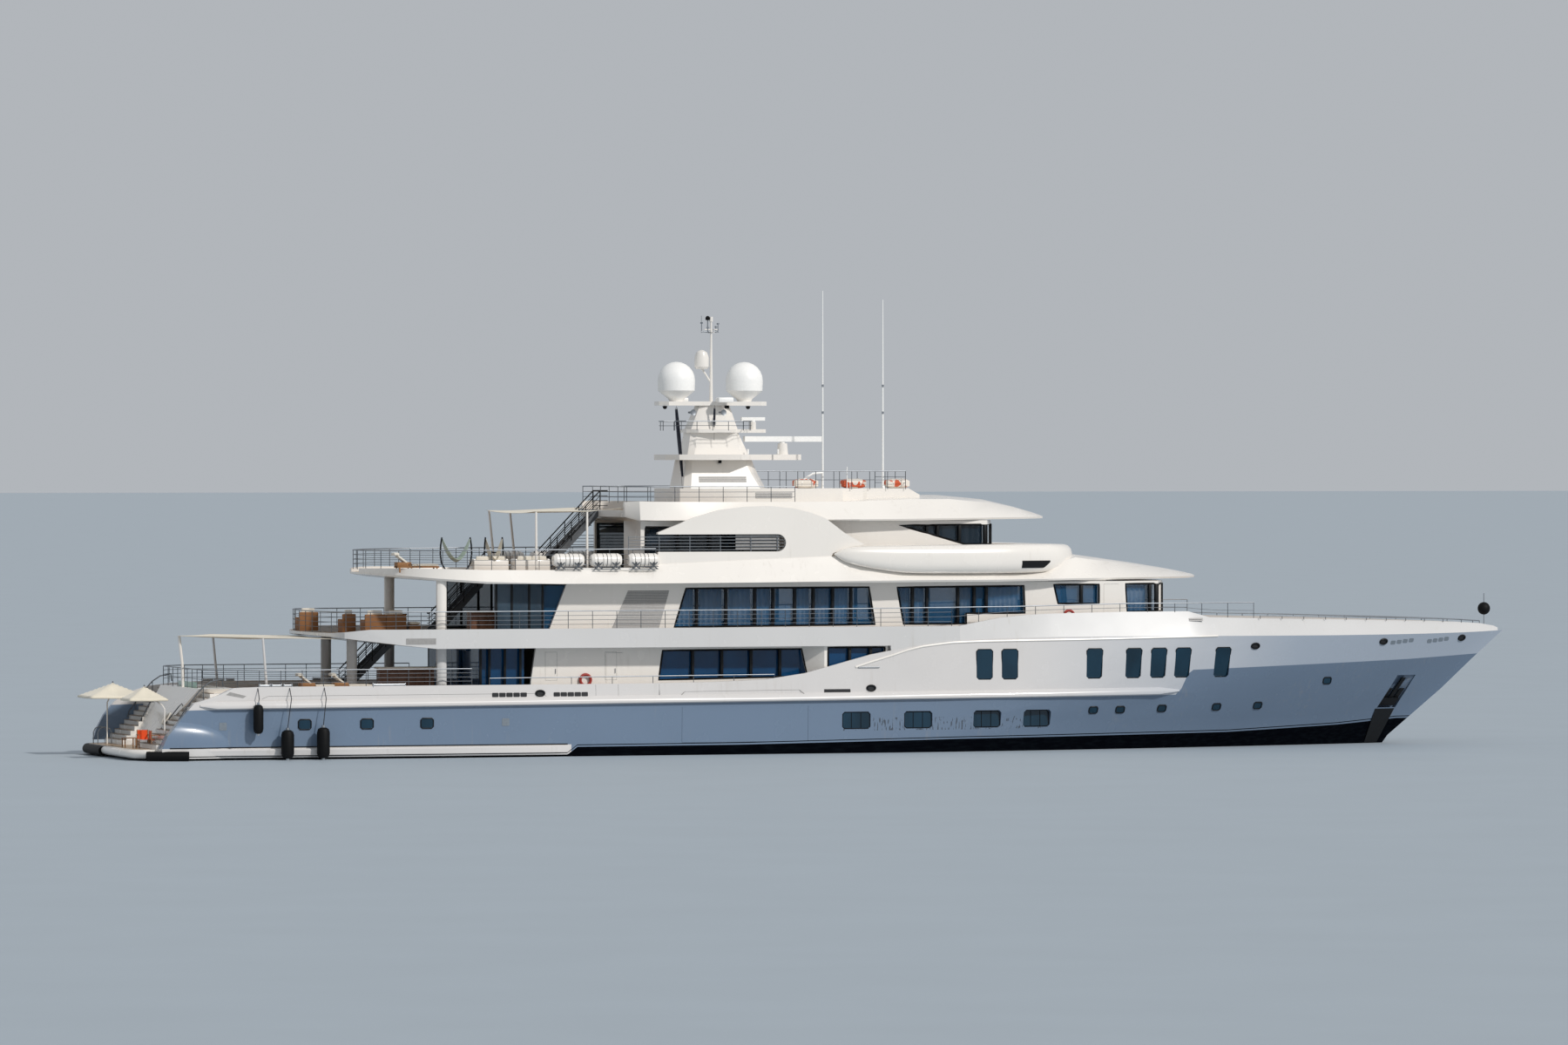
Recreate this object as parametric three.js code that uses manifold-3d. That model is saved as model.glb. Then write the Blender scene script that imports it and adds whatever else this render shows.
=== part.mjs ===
// A 74 m displacement motor yacht as a half-size model: a steel hull with a swim platform and transom
// stairs, three decks of superstructure with hollow, windowed houses, a radar mast, and the running gear.
// Every size is in metres of the full-size yacht. The root group turns them into millimetres of the model.
// +X is forward, +Y is port and +Z is up. The origin is amidships on the centreline, at the waterline.
import * as THREE from "three";
import { mergeVertices } from "three/addons/utils/BufferGeometryUtils.js";
import Module from "manifold-3d";

const wasm = await Module();
wasm.setup();

// Driving dimensions
const MODEL_SCALE = 1 / 2;
const MM_PER_METRE = 1000 * MODEL_SCALE;
const GAP = 0.0008; // between pieces that rest on each other
const SEAM = 0.012; // round a door that moves
const STARBOARD = -1;
const PORT = 1;

const MAIN_DECK = 2.9;
const POOL_DECK = 3.25;
const UPPER_DECK = 6.0;
const BRIDGE_DECK = 9.1;
const PLATFORM_TOP = 0.55;
const RAIL_Z = 2.8; // the hull's long rub rail
const UPPER_SOFFIT = 5.38; // underside of the upper deck
const BRIDGE_SOFFIT = 8.55;
const ROOF_SOFFIT = 11.65;
const WALL = 0.2;
const GLASS = 0.04;
const BULWARK = 0.22;

// Paints and other finishes: colour, roughness, metalness
const FINISHES = {
  hull_paint: [0xe9ecef, 0.22, 0],
  white_paint: [0xf2efe9, 0.25, 0],
  dark_glass: [0x15232e, 0.06, 0.1],
  steel: [0xc9ccce, 0.2, 1],
  bronze: [0xa0763d, 0.35, 1],
  antenna_white: [0xf4f4f2, 0.4, 0],
  canvas: [0xe9e0cc, 0.9, 0],
  rubber: [0x16171a, 0.7, 0],
};

const yacht = new THREE.Group();
yacht.scale.setScalar(MM_PER_METRE);

// A closed three.js geometry as a solid that can be cut and joined
function solidOf(geometry) {
  const bare = geometry.clone();
  bare.deleteAttribute("normal");
  bare.deleteAttribute("uv");
  const merged = mergeVertices(bare, 1e-5);
  const index = merged.index.array;
  const kept = [];
  for (let i = 0; i < index.length; i += 3) {
    const [a, b, c] = index.slice(i, i + 3);
    if (a !== b && b !== c && a !== c) kept.push(a, b, c);
  }
  const made = new wasm.Manifold(
    new wasm.Mesh({
      numProp: 3,
      vertProperties: merged.attributes.position.array,
      triVerts: new Uint32Array(kept),
    }),
  );
  return made;
}

function geometryOf(solid) {
  const mesh = solid.getMesh();
  return new THREE.BufferGeometry()
    .setAttribute("position", new THREE.BufferAttribute(mesh.vertProperties, 3))
    .setIndex(new THREE.BufferAttribute(mesh.triVerts, 1));
}

// Adds a named piece; a port copy of a starboard piece is mirrored by its scale
function addPiece(name, finish, solid, side = STARBOARD) {
  const [color, roughness, metalness] = FINISHES[finish];
  const material = new THREE.MeshStandardMaterial({ color, roughness, metalness });
  const piece = new THREE.Mesh(geometryOf(solid), material);
  piece.name = name;
  if (side === PORT) piece.scale.set(1, -1, 1);
  yacht.add(piece);
}

function join(solids) {
  return solids.reduce((all, one) => all.add(one));
}

function cut(solid, cutters) {
  return cutters.reduce((left, one) => left.subtract(one), solid);
}

// Bases that lay an extruded outline in a plane: across the ship, flat, or fore and aft
const PLANES = {
  xz: [[1, 0, 0], [0, 0, 1], [0, -1, 0]],
  xy: [[1, 0, 0], [0, 1, 0], [0, 0, 1]],
  yz: [[0, 1, 0], [0, 0, 1], [1, 0, 0]],
};

// An outline, given as points or a THREE.Shape, extruded from one place to another along the plane's normal
function slab(plane, outline, from, to, segments = 6) {
  const shape = Array.isArray(outline)
    ? new THREE.Shape(outline.map(([a, b]) => new THREE.Vector2(a, b)))
    : outline;
  const geometry = new THREE.ExtrudeGeometry(shape, {
    depth: to - from,
    bevelEnabled: false,
    curveSegments: segments,
  });
  const [a, b, c] = PLANES[plane].map((axis) => new THREE.Vector3(...axis));
  geometry.applyMatrix4(new THREE.Matrix4().makeBasis(a, b, c));
  const along = plane === "xz" ? to : from;
  const shift = plane === "xz" ? [0, along, 0] : plane === "xy" ? [0, 0, along] : [along, 0, 0];
  geometry.translate(...shift);
  return solidOf(geometry);
}

function block(x0, x1, y0, y1, z0, z1) {
  const geometry = new THREE.BoxGeometry(x1 - x0, y1 - y0, z1 - z0);
  geometry.translate((x0 + x1) / 2, (y0 + y1) / 2, (z0 + z1) / 2);
  return solidOf(geometry);
}

// A rod between two points
function rod(from, to, radius, sides = 10, endRadius = radius) {
  const [a, b] = [new THREE.Vector3(...from), new THREE.Vector3(...to)];
  const axis = b.clone().sub(a);
  const geometry = new THREE.CylinderGeometry(endRadius, radius, axis.length(), sides);
  const turn = new THREE.Quaternion().setFromUnitVectors(
    new THREE.Vector3(0, 1, 0),
    axis.clone().normalize(),
  );
  geometry.applyQuaternion(turn);
  geometry.translate(...a.add(b).multiplyScalar(0.5).toArray());
  return solidOf(geometry);
}

// Closed rings of points, each with the same count, skinned one to the next. Both ends are closed, flat
// across the ring or, for the mirrored rings of a hull, by strips from side to side.
function loft(rings, strips = false) {
  const count = rings[0].length;
  const at = (ring, point) => ring * count + (point % count);
  const faces = [];
  rings.slice(1).forEach((_, r) => {
    for (let p = 0; p < count; p += 1) {
      faces.push([at(r, p), at(r, p + 1), at(r + 1, p + 1)]);
      faces.push([at(r, p), at(r + 1, p + 1), at(r + 1, p)]);
    }
  });
  [0, rings.length - 1].forEach((r) => {
    const cap = strips ? stripsAcross(count) : flatCap(rings[r]);
    cap.forEach(([a, b, c]) => {
      faces.push(r === 0 ? [at(r, a), at(r, c), at(r, b)] : [at(r, a), at(r, b), at(r, c)]);
    });
  });
  const geometry = new THREE.BufferGeometry().setFromPoints(
    rings.flat().map((point) => new THREE.Vector3(...point)),
  );
  geometry.setIndex(faces.flat());
  return facingOut(geometry);
}

function stripsAcross(count) {
  const faces = [];
  for (let p = 0; p < count / 2 - 1; p += 1) {
    const q = count - 1 - p;
    faces.push([p, p + 1, q - 1], [p, q - 1, q]);
  }
  return faces;
}

// Triangles of a flat ring, turned the way that the ring runs
function flatCap(ring) {
  const spread = [0, 1, 2].map((k) => {
    const values = ring.map((point) => point[k]);
    return Math.max(...values) - Math.min(...values);
  });
  const thin = spread.indexOf(Math.min(...spread));
  const [u, v] = [0, 1, 2].filter((k) => k !== thin);
  const flat = ring.map((point) => new THREE.Vector2(point[u], point[v]));
  const faces = THREE.ShapeUtils.triangulateShape(flat, []);
  const turned = THREE.ShapeUtils.area(flat) < 0;
  const faceArea = THREE.ShapeUtils.area(faces[0].map((k) => flat[k]));
  return faceArea < 0 === turned ? faces : faces.map(([a, b, c]) => [a, c, b]);
}

function facingOut(geometry) {
  const place = geometry.attributes.position;
  const index = geometry.index.array;
  const [a, b, c] = [new THREE.Vector3(), new THREE.Vector3(), new THREE.Vector3()];
  let volume = 0;
  for (let i = 0; i < index.length; i += 3) {
    a.fromBufferAttribute(place, index[i]);
    b.fromBufferAttribute(place, index[i + 1]);
    c.fromBufferAttribute(place, index[i + 2]);
    volume += a.dot(b.cross(c));
  }
  if (volume < 0) {
    for (let i = 0; i < index.length; i += 3) {
      [index[i], index[i + 1]] = [index[i + 1], index[i]];
    }
  }
  return solidOf(geometry);
}

// A value read off a table of [x, value] rows, straight between them
function readOff(table, x) {
  if (x <= table[0][0]) return table[0][1];
  for (let i = 1; i < table.length; i += 1) {
    const [x0, v0] = table[i - 1];
    const [x1, v1] = table[i];
    if (x <= x1) return v0 + ((v1 - v0) * (x - x0)) / (x1 - x0);
  }
  return table[table.length - 1][1];
}

// Hull form. The sheer is the bright line that runs along the aft bulwark, sweeps up amidships and on to
// the bow.
const SHEER = [
  [-32.6, 3.53], [-31.2, 3.58], [-28, 3.58], [-24, 3.58], [-18, 3.58], [-12, 3.59], [-8, 3.63],
  [-5.25, 3.74], [-3.2, 4.03], [-1.6, 4.45], [0.26, 4.94], [2.57, 5.36], [4.9, 5.6], [7.2, 5.7],
  [10, 5.75], [14, 5.76], [18, 5.74], [22, 5.72], [26, 5.7], [29.5, 5.7], [32, 5.71], [34, 5.73],
  [35.6, 5.76], [36.5, 5.79], [37.07, 5.82],
];
// Columns: height, stern end, stem end, half-breadth, entry length, entry power, start of the run, breadth
// lost aft
const WATERLINES = [
  [-3.85, -10, 22, 2.6, 20, 1.4, 0, 0.75],
  [-3.4, -14, 26, 4.4, 23, 1.45, -2, 0.75],
  [-2.4, -20, 28.6, 5.35, 26, 1.5, -4, 0.7],
  [-1.3, -27.5, 29.6, 5.75, 28, 1.55, -6, 0.38],
  [-0.5, -34.6, 29.9, 5.88, 29, 1.6, -14, 0.12],
  [0.4, -36.3, 30.6, 5.93, 29, 1.65, -18, 0.03],
  [1.6, -35.6, 32.1, 5.97, 28.5, 1.8, -18, 0.025],
  [RAIL_Z, -34.6, 33.6, 6.0, 27, 2.0, -18, 0.02],
];
const SHOULDER = [0, -33.4, 35.3, 5.98, 26.5, 2.15, -18, 0.02];
const SHEER_LINE = [0, -32.6, 37.07, 5.95, 26, 2.3, -18, 0.015];

function halfBreadth(line, x) {
  const [, stern, stem, half, entry, power, runStart, lost] = line;
  const ahead = THREE.MathUtils.clamp((stem - x) / entry, 0, 1);
  const astern = THREE.MathUtils.clamp((runStart - x) / (runStart - stern), 0, 1);
  const full = half * (1 - (1 - ahead) ** power) * (1 - lost * astern ** 2);
  return Math.max(full, 0.05);
}

const sheerHeight = (x) => readOff(SHEER, x);
const SHEER_EDGE = SHEER.map(([x]) => [x, halfBreadth(SHEER_LINE, x)]);
const sheerBreadth = (x) => readOff(SHEER_EDGE, x);

// One level of the hull as a ring: starboard from stern to stem, then port back again
function hullRing(line, heightAt) {
  const [, stern, stem] = line;
  const [first, last] = [SHEER[0][0], SHEER[SHEER.length - 1][0]];
  const side = SHEER.map(([x0]) => {
    const x = stern + ((x0 - first) / (last - first)) * (stem - stern);
    return [x, -halfBreadth(line, x), heightAt(x0)];
  });
  return [...side, ...side.map(([x, y, z]) => [x, -y, z]).reverse()];
}

function bareHull() {
  const levels = WATERLINES.map((line) => hullRing(line, () => line[0]));
  const shoulder = hullRing(SHOULDER, (x) => (RAIL_Z + sheerHeight(x)) / 2);
  const sheer = hullRing(SHEER_LINE, sheerHeight);
  return loft([...levels, shoulder, sheer], true);
}

// The hull's half-breadth at any place on its side, straight between the two nearest waterlines
function sideAt(x, z) {
  const upper = WATERLINES.findIndex((line) => line[0] >= z);
  if (upper < 0) {
    const share = (z - RAIL_Z) / (sheerHeight(x) - RAIL_Z);
    return THREE.MathUtils.lerp(halfBreadth(WATERLINES[7], x), sheerBreadth(x), share);
  }
  const [low, high] = [WATERLINES[upper - 1], WATERLINES[upper]];
  const share = (z - low[0]) / (high[0] - low[0]);
  return THREE.MathUtils.lerp(halfBreadth(low, x), halfBreadth(high, x), share);
}

// A rail that follows the hull's side. Its section is a list of [outward, up] points.
function sideRail(side, xs, z, section) {
  const rings = xs.map((x) =>
    section(x).map(([out, up]) => [x, side * (sideAt(x, z(x) + up) + out), z(x) + up]),
  );
  return loft(rings);
}

const RUB_RAIL = { aft: -34.3, fore: 17.1, out: 0.24, half: 0.2, sunk: 0.15 };

function rubRail(side) {
  const { aft, fore, out, half, sunk } = RUB_RAIL;
  const xs = [aft, aft + 0.8, -30, -26, -22, -18, -6, 4, 10, 13, fore - 1.2, fore];
  const rise = (x) => 2.68 + (0.28 * (x - aft)) / (fore - aft);
  return sideRail(side, xs, rise, (x) => {
    const tip = x === aft || x === fore ? 0.25 : 1;
    const round = [[0.7, -1], [0.95, -0.75], [1, -0.35], [0.85, 0.2], [0.5, 0.7], [0.1, 1]];
    const face = round.map(([a, b]) => [out * a * tip, half * b * tip]);
    return [[-sunk, -half * tip], ...face, [-sunk, half * tip]];
  });
}

// Bulge along each quarter, just above the water, in line with the swim platform
const SPONSON = { aft: -36.15, fore: -15.5, low: 0.12, out: 0.32, sunk: 0.3 };

function sponson(side) {
  const { aft, fore, low, out, sunk } = SPONSON;
  const xs = [aft, -35.2, -32, -28, -24, -20, fore - 1.2, fore];
  return sideRail(side, xs, () => low, (x) => {
    const full = x === fore ? 0.05 : out;
    const tube = [[full * 0.8, 0], [full, 0.12], [full * 0.95, 0.36], [full * 0.7, 0.43]];
    return [[-sunk, 0.02], ...tube, [-sunk, 0.43]];
  });
}

// Main deck: the open space inside the bulwarks, from the transom to the forward end of the side decks
const WELL_FORE = 1.3;
const WELL_AFT = -31.9;

function well(fromX, toX, floor, inset) {
  const xs = SHEER.map(([x]) => x).filter((x) => x > fromX && x < toX);
  const side = [fromX, ...xs, toX].map((x) => [x, -(sheerBreadth(x) - inset)]);
  const outline = [...side, ...side.map(([x, y]) => [x, -y]).reverse()];
  return slab("xy", outline, floor, 8);
}

// Stern: the wings stand either side of the space for the stairs and the transom block
const WING_INNER = 5.45;
const STERN_SPACE = [[-38, PLATFORM_TOP - 0.27], [WELL_AFT, PLATFORM_TOP - 0.27], [WELL_AFT, 6], [-38, 6]];

// The blister at the foot of each quarter, cut off along the stern's rake
const BLISTER = { x: -35.6, y: 5.72, z: 0.7, length: 2.9, out: 0.48, height: 1.25 };
const BLISTER_SIDE = [
  [-36.28, 0.1], [-32, 0.1], [-32, 2.6], [-34.6, 2.6], [-35.3, 1.95], [-36.0, 1.2], [-36.28, 0.6],
];

function blister(side) {
  const { x, y, z, length, out, height } = BLISTER;
  const ball = new THREE.SphereGeometry(1, 28, 16).scale(length, out, height).translate(x, side * y, z);
  return solidOf(ball).intersect(slab("xz", BLISTER_SIDE, -8, 8));
}

// The port wing stands higher than the starboard one and shields the stairs
const WING_SHIELD = [
  [-32.5, 0.7], [-37.0, 0.7], [-36.85, 1.2], [-36.45, 1.95], [-35.9, 2.6], [-35.1, 3.08], [-34.2, 3.36],
  [-33.0, 3.5], [-32.5, 3.5],
];

// Poles that carry the awnings: foot and head, fused to what they stand on
const AWNING_POLE = 0.07;
const AFT_POLES = [[-30.6, -30.82, -4.6], [-30.79, -31.06, 4.6]]; // x of foot and head, y

function aftPole([x, headX, y]) {
  return rod([x, y, POOL_DECK - 0.1], [headX, y, 5.94], AWNING_POLE, 10, AWNING_POLE * 0.8);
}

// Shell door in each side for the tender garage: fore and aft ends, bottom and top
const GARAGE = { aft: -9.67, fore: -3.05, low: 0.62, high: 2.4, deep: 0.9, thick: 0.2 };
const THRUSTER = { face: -0.22, hub: 0.2 };
const TUNNEL = { x: 23.6, z: -2.1, radius: 0.55 };
const PROP = { x: -28.4, y: 2.7, z: -2.6, radius: 1.1, hub: 0.78 };
const SHAFT = { radius: 0.13, fore: -13.2 };
const RUDDER = { x: -30.4, y: 2.7, top: -1.4, low: -3.4, stock: 0.125 };
const FIN = { x: -1.5, y: 4.95, z: -2.75, slope: 38, span: 1.7, gap: 0.22, stock: 0.14 };
const PIN_CLEARANCE = 0.0018;
const PIN_SIDES = 24;

// Windows in the hull: fore and aft edges at the forward cabins, in pairs and rows
const TALL_WINDOWS = [5.87, 7.22, 11.8, 13.96, 15.35, 16.72, 19.0];
const TALL = { wide: 0.87, low: 3.62, high: 5.14 };
const LOW_WINDOWS = [-1.26, 2.02, 5.73, 8.47];
const LOW = { wide: 1.5, low: 1.2, high: 2.08 };
const RECESS = 0.07;

function windowRecess(x, wide, low, high) {
  const y = Math.min(sideAt(x, low), sideAt(x + wide, low)) - RECESS;
  const bevel = 0.12;
  const outline = [
    [x + bevel, low], [x + wide - bevel, low], [x + wide, low + bevel], [x + wide, high - bevel],
    [x + wide - bevel, high], [x + bevel, high], [x, high - bevel], [x, low + bevel],
  ];
  return slab("xz", outline, -y - 1.2, -y);
}

// Anchor pocket: a slanted recess in each side of the bow
const ANCHOR = { low: 1.85, high: 3.55, lowX: 29.6, highX: 30.5, wide: 1.2, backLow: 0.28, backHigh: 1.15 };

// The flat back of the pocket leans out as it rises
function pocketPoint(side, x, z, out) {
  const { low, high, lowX, highX, backLow, backHigh } = ANCHOR;
  const share = (z - low) / (high - low);
  const y = THREE.MathUtils.lerp(backLow, backHigh, share) + out;
  return [THREE.MathUtils.lerp(lowX, highX, share) + x, side * y, z];
}

function pocketRing(side, z, [x0, x1], [out0, out1]) {
  return [[x0, out0], [x1, out0], [x1, out1], [x0, out1]].map(([x, out]) => pocketPoint(side, x, z, out));
}

function anchorPocket(side) {
  const { low, high, wide } = ANCHOR;
  return loft([low, high].map((z) => pocketRing(side, z, [0, wide], [0, 3])));
}

function mirrored(makeStarboard) {
  return [makeStarboard(STARBOARD), makeStarboard(PORT)];
}

const sided = (side, y0, y1) => (side === STARBOARD ? [-y1, -y0] : [y0, y1]);

function garageSpace(side, seam, hingeGap, deep) {
  const { aft, fore, low, high } = GARAGE;
  const [y0, y1] = sided(side, sideAt(-6, 1.5) - deep, 7);
  return block(aft + seam, fore - seam, y0, y1, low + seam, high - hingeGap);
}

function finFrame(side) {
  const slope = THREE.MathUtils.degToRad(FIN.slope);
  const out = [0, side * Math.cos(slope), -Math.sin(slope)];
  const root = [FIN.x, side * FIN.y, FIN.z];
  const along = (distance) => root.map((value, k) => value + out[k] * distance);
  return { out, along };
}

function buildHull() {
  const skegOutline = [[-30.5, -1.0], [-26, -3.0], [-12, -3.83], [-4, -3.83], [-4, -3.3], [-26, -0.9]];
  const skeg = slab("xz", skegOutline, -0.22, 0.22);
  const bulb = new THREE.SphereGeometry(1, 16, 10).scale(4.2, 0.95, 1.15).translate(27.9, 0, -2.15);
  const shield = slab("xz", WING_SHIELD, WING_INNER, WING_INNER + 0.28);
  const sides = [rubRail, sponson, blister].flatMap((make) => mirrored(make));
  const body = join([bareHull(), skeg, solidOf(bulb), shield, ...sides]);
  const cutters = [
    slab("xz", STERN_SPACE, -WING_INNER, WING_INNER),
    well(WELL_AFT - 0.01, -22.5, POOL_DECK, BULWARK),
    well(-22.51, WELL_FORE, MAIN_DECK, BULWARK),
    rod([TUNNEL.x, -8, TUNNEL.z], [TUNNEL.x, 8, TUNNEL.z], TUNNEL.radius, 20),
  ];
  [STARBOARD, PORT].forEach((side) => {
    cutters.push(garageSpace(side, 0, 0, GARAGE.deep));
    cutters.push(anchorPocket(side));
    const shaftY = side * PROP.y;
    cutters.push(rod([-20, shaftY, PROP.z], [SHAFT.fore + 0.05, shaftY, PROP.z], SHAFT.radius + GAP, 12));
    cutters.push(bracketLeg(side, GAP));
    const stock = RUDDER.stock + PIN_CLEARANCE;
    cutters.push(rod([RUDDER.x, side * RUDDER.y, -3], [RUDDER.x, side * RUDDER.y, -0.2], stock, PIN_SIDES));
    const { along } = finFrame(side);
    cutters.push(rod(along(-0.9), along(0.6), FIN.stock + PIN_CLEARANCE, PIN_SIDES));
  });
  TALL_WINDOWS.forEach((x) => cutters.push(windowRecess(x, TALL.wide, TALL.low, TALL.high)));
  LOW_WINDOWS.forEach((x) => cutters.push(windowRecess(x, LOW.wide, LOW.low, LOW.high)));
  const starboardOnly = cutters.length - TALL_WINDOWS.length - LOW_WINDOWS.length;
  const windows = cutters.slice(starboardOnly).map((one) => one.scale([1, -1, 1]));
  const gearLeg = rod([TUNNEL.x, 0, TUNNEL.z + 0.7], [TUNNEL.x, 0, TUNNEL.z], 0.09, 10);
  const gearPod = rod([TUNNEL.x, THRUSTER.face + GAP, TUNNEL.z], [TUNNEL.x, 0.2, TUNNEL.z], 0.14, 12);
  return join([cut(body, [...cutters, ...windows]), gearLeg, gearPod, ...AFT_POLES.map(aftPole)]);
}

// Running gear
function bracketLeg(side, grown) {
  const half = 0.07 + grown;
  const [aft, fore, head] = [-27.6 - grown, -26.9 + grown, -0.9 + grown];
  const outline = [[aft, -2.6], [fore, -2.6], [fore, head], [aft + 0.1, head]];
  return slab("xz", outline, side * PROP.y - half, side * PROP.y + half);
}

function buildShaft(side) {
  const y = side * PROP.y;
  const tube = rod([PROP.x + PROP.hub / 2 + GAP, y, PROP.z], [SHAFT.fore, y, PROP.z], SHAFT.radius, 12);
  const barrel = rod([-27.75, y, PROP.z], [-26.75, y, PROP.z], 0.24, 14);
  return join([tube, barrel, bracketLeg(side, 0)]);
}

// A blade of thin sections along a radius, each turned more towards the shaft at the root
function blade(root, tip, chord, thick, turns) {
  const steps = [0, 0.25, 0.5, 0.75, 1];
  const widths = [0.55, 0.9, 1, 0.85, 0.3];
  const rings = steps.map((share, k) => {
    const radius = THREE.MathUtils.lerp(root, tip, share);
    const pitch = THREE.MathUtils.degToRad(THREE.MathUtils.lerp(turns[0], turns[1], share));
    const half = (chord * widths[k]) / 2;
    const depth = (thick * (1.25 - share)) / 2;
    return [[-half, 0], [0, -depth], [half, 0], [0, depth]].map(([c, t]) => [
      c * Math.sin(pitch) + t * Math.cos(pitch),
      c * Math.cos(pitch) - t * Math.sin(pitch),
      radius,
    ]);
  });
  return geometryOf(loft(rings));
}

// A propeller about the X axis, with its hub running from aft to fore of its own origin
function propeller(radius, hub, blades, chord, hubLength) {
  const shape = blade(hub * 0.6, radius, chord, 0.09 * radius, [24, 62]);
  const parts = [rod([-hubLength / 2, 0, 0], [hubLength / 2, 0, 0], hub * 0.75, 14, hub)];
  for (let k = 0; k < blades; k += 1) {
    parts.push(solidOf(shape.clone().rotateX((k * 2 * Math.PI) / blades)));
  }
  return geometryOf(join(parts));
}

function buildPropeller(side) {
  const geometry = propeller(PROP.radius, 0.27, 5, 0.75, PROP.hub);
  geometry.translate(PROP.x, side * PROP.y, PROP.z);
  return solidOf(geometry);
}

function buildThruster() {
  const { face, hub } = THRUSTER;
  const geometry = propeller(TUNNEL.radius - 0.04, 0.13, 4, 0.3, hub);
  geometry.rotateZ(Math.PI / 2).translate(TUNNEL.x, face - hub / 2, TUNNEL.z);
  return solidOf(geometry);
}

function buildRudder(side) {
  const y = side * RUDDER.y;
  const section = (z, chord) => [
    [RUDDER.x + chord * 0.32, y, z], [RUDDER.x, y - 0.15, z], [RUDDER.x - chord * 0.68, y - 0.02, z],
    [RUDDER.x - chord * 0.68, y + 0.02, z], [RUDDER.x, y + 0.15, z],
  ];
  const foil = loft([section(RUDDER.low, 1.35), section(RUDDER.top, 1.75)]);
  return join([foil, rod([RUDDER.x, y, -1.6], [RUDDER.x, y, -0.4], RUDDER.stock, PIN_SIDES)]);
}

function buildFin(side) {
  const { out, along } = finFrame(side);
  const flat = [0, -out[2] * side, out[1] * side];
  const section = (distance, chord, thick) => {
    const centre = along(distance);
    const place = (dx, dt) => [centre[0] + dx, centre[1] + flat[1] * dt, centre[2] + flat[2] * dt];
    return [place(chord * 0.35, 0), place(0, -thick), place(-chord * 0.65, 0), place(0, thick)];
  };
  const foil = loft([section(FIN.gap, 2.1, 0.16), section(FIN.gap + FIN.span, 1.5, 0.09)]);
  return join([foil, rod(along(-0.8), along(FIN.gap + 0.4), FIN.stock, PIN_SIDES)]);
}

// Stern pieces. The transom's face widens as it rises, and the stairs beside it narrow.
const TRANSOM = { footX: -36.0, topX: -33.9, top: 3.45, footHalf: 1.75, topHalf: 4.0 };
const STERN_STAIRS = { foot: -36.4, steps: 12, tread: 0.245 };
const TRANSOM_DOOR = { half: 1.2, low: 0.78, high: 2.85, thick: 0.14 };
const POOL = { aft: -33.55, fore: -32.05, half: 1.9, floor: 2.35 };

const riseShare = (z) => (z - PLATFORM_TOP) / (TRANSOM.top - PLATFORM_TOP);
const slopeX = (z) => THREE.MathUtils.lerp(TRANSOM.footX, TRANSOM.topX, riseShare(z));
const transomHalf = (z) => THREE.MathUtils.lerp(TRANSOM.footHalf, TRANSOM.topHalf, riseShare(z));

function slopedPanel(low, high, half, from, to) {
  const [aft, fore] = [slopeX(low), slopeX(high)];
  const outline = [[aft + from, low], [aft + to, low], [fore + to, high], [fore + from, high]];
  return slab("xz", outline, -half, half);
}

// Steps in each quarter, from the platform up to the pool deck
function sternStairs(side) {
  const { foot, steps, tread } = STERN_STAIRS;
  const rise = (POOL_DECK - PLATFORM_TOP) / steps;
  const blocks = [];
  for (let k = 0; k < steps; k += 1) {
    const [y0, y1] = sided(side, transomHalf(PLATFORM_TOP + k * rise) - 0.1, WING_INNER - GAP);
    blocks.push(
      block(foot + k * tread, WELL_AFT - GAP, y0, y1, PLATFORM_TOP + GAP, PLATFORM_TOP + (k + 1) * rise),
    );
  }
  return join(blocks);
}

// The parasol over the starboard stairs hangs from a mast that stands on them
const HUB_FOOT = 3.36;
const STAIR_MAST = [
  [-35.72, -4.35, 1.0], [-35.72, -4.35, 2.5], [-35.8, -4.1, 2.7], [-36.46, -3.2, 3.24],
  [-36.46, -3.2, HUB_FOOT - GAP],
];
const STERN_POLE = [[-33.72, 0, 3.3], [-33.76, 0, 4.6], [-33.92, 0, 5.96]];

function bentPole(points, radius) {
  const joints = points.slice(1, -1).map(([x, y, z]) => {
    const ball = new THREE.SphereGeometry(radius, 10, 6).translate(x, y, z);
    return solidOf(ball);
  });
  return join([...points.slice(1).map((point, k) => rod(points[k], point, radius)), ...joints]);
}

function buildTransom() {
  const foot = PLATFORM_TOP + GAP;
  const fore = WELL_AFT - GAP;
  const level = (z) => {
    const [x, half] = [slopeX(z), transomHalf(z)];
    return [[x, -half, z], [fore, -half, z], [fore, half, z], [x, half, z]];
  };
  const centre = loft([level(foot), level(TRANSOM.top)]);
  const { half, low, high, thick } = TRANSOM_DOOR;
  const body = cut(join([centre, ...mirrored(sternStairs)]), [
    slopedPanel(low, high, half, -1, thick + 0.5),
    block(POOL.aft, POOL.fore, -POOL.half, POOL.half, POOL.floor, 5),
  ]);
  return join([body, bentPole(STERN_POLE, AWNING_POLE), bentPole(STAIR_MAST, 0.035)]);
}

function buildTransomDoor() {
  const { half, low, high, thick } = TRANSOM_DOOR;
  return slopedPanel(low + SEAM, high - GAP, half - SEAM, 0, thick);
}

const PLATFORM = { aft: -37.45, fore: -36.32, low: 0.12, half: 5.36 };
const PLATFORM_MAST = [
  [-36.75, 3.5, 0.4], [-36.75, 3.5, 2.6], [-36.64, 2.75, 3.24], [-36.64, 2.75, HUB_FOOT - GAP],
];

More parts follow.
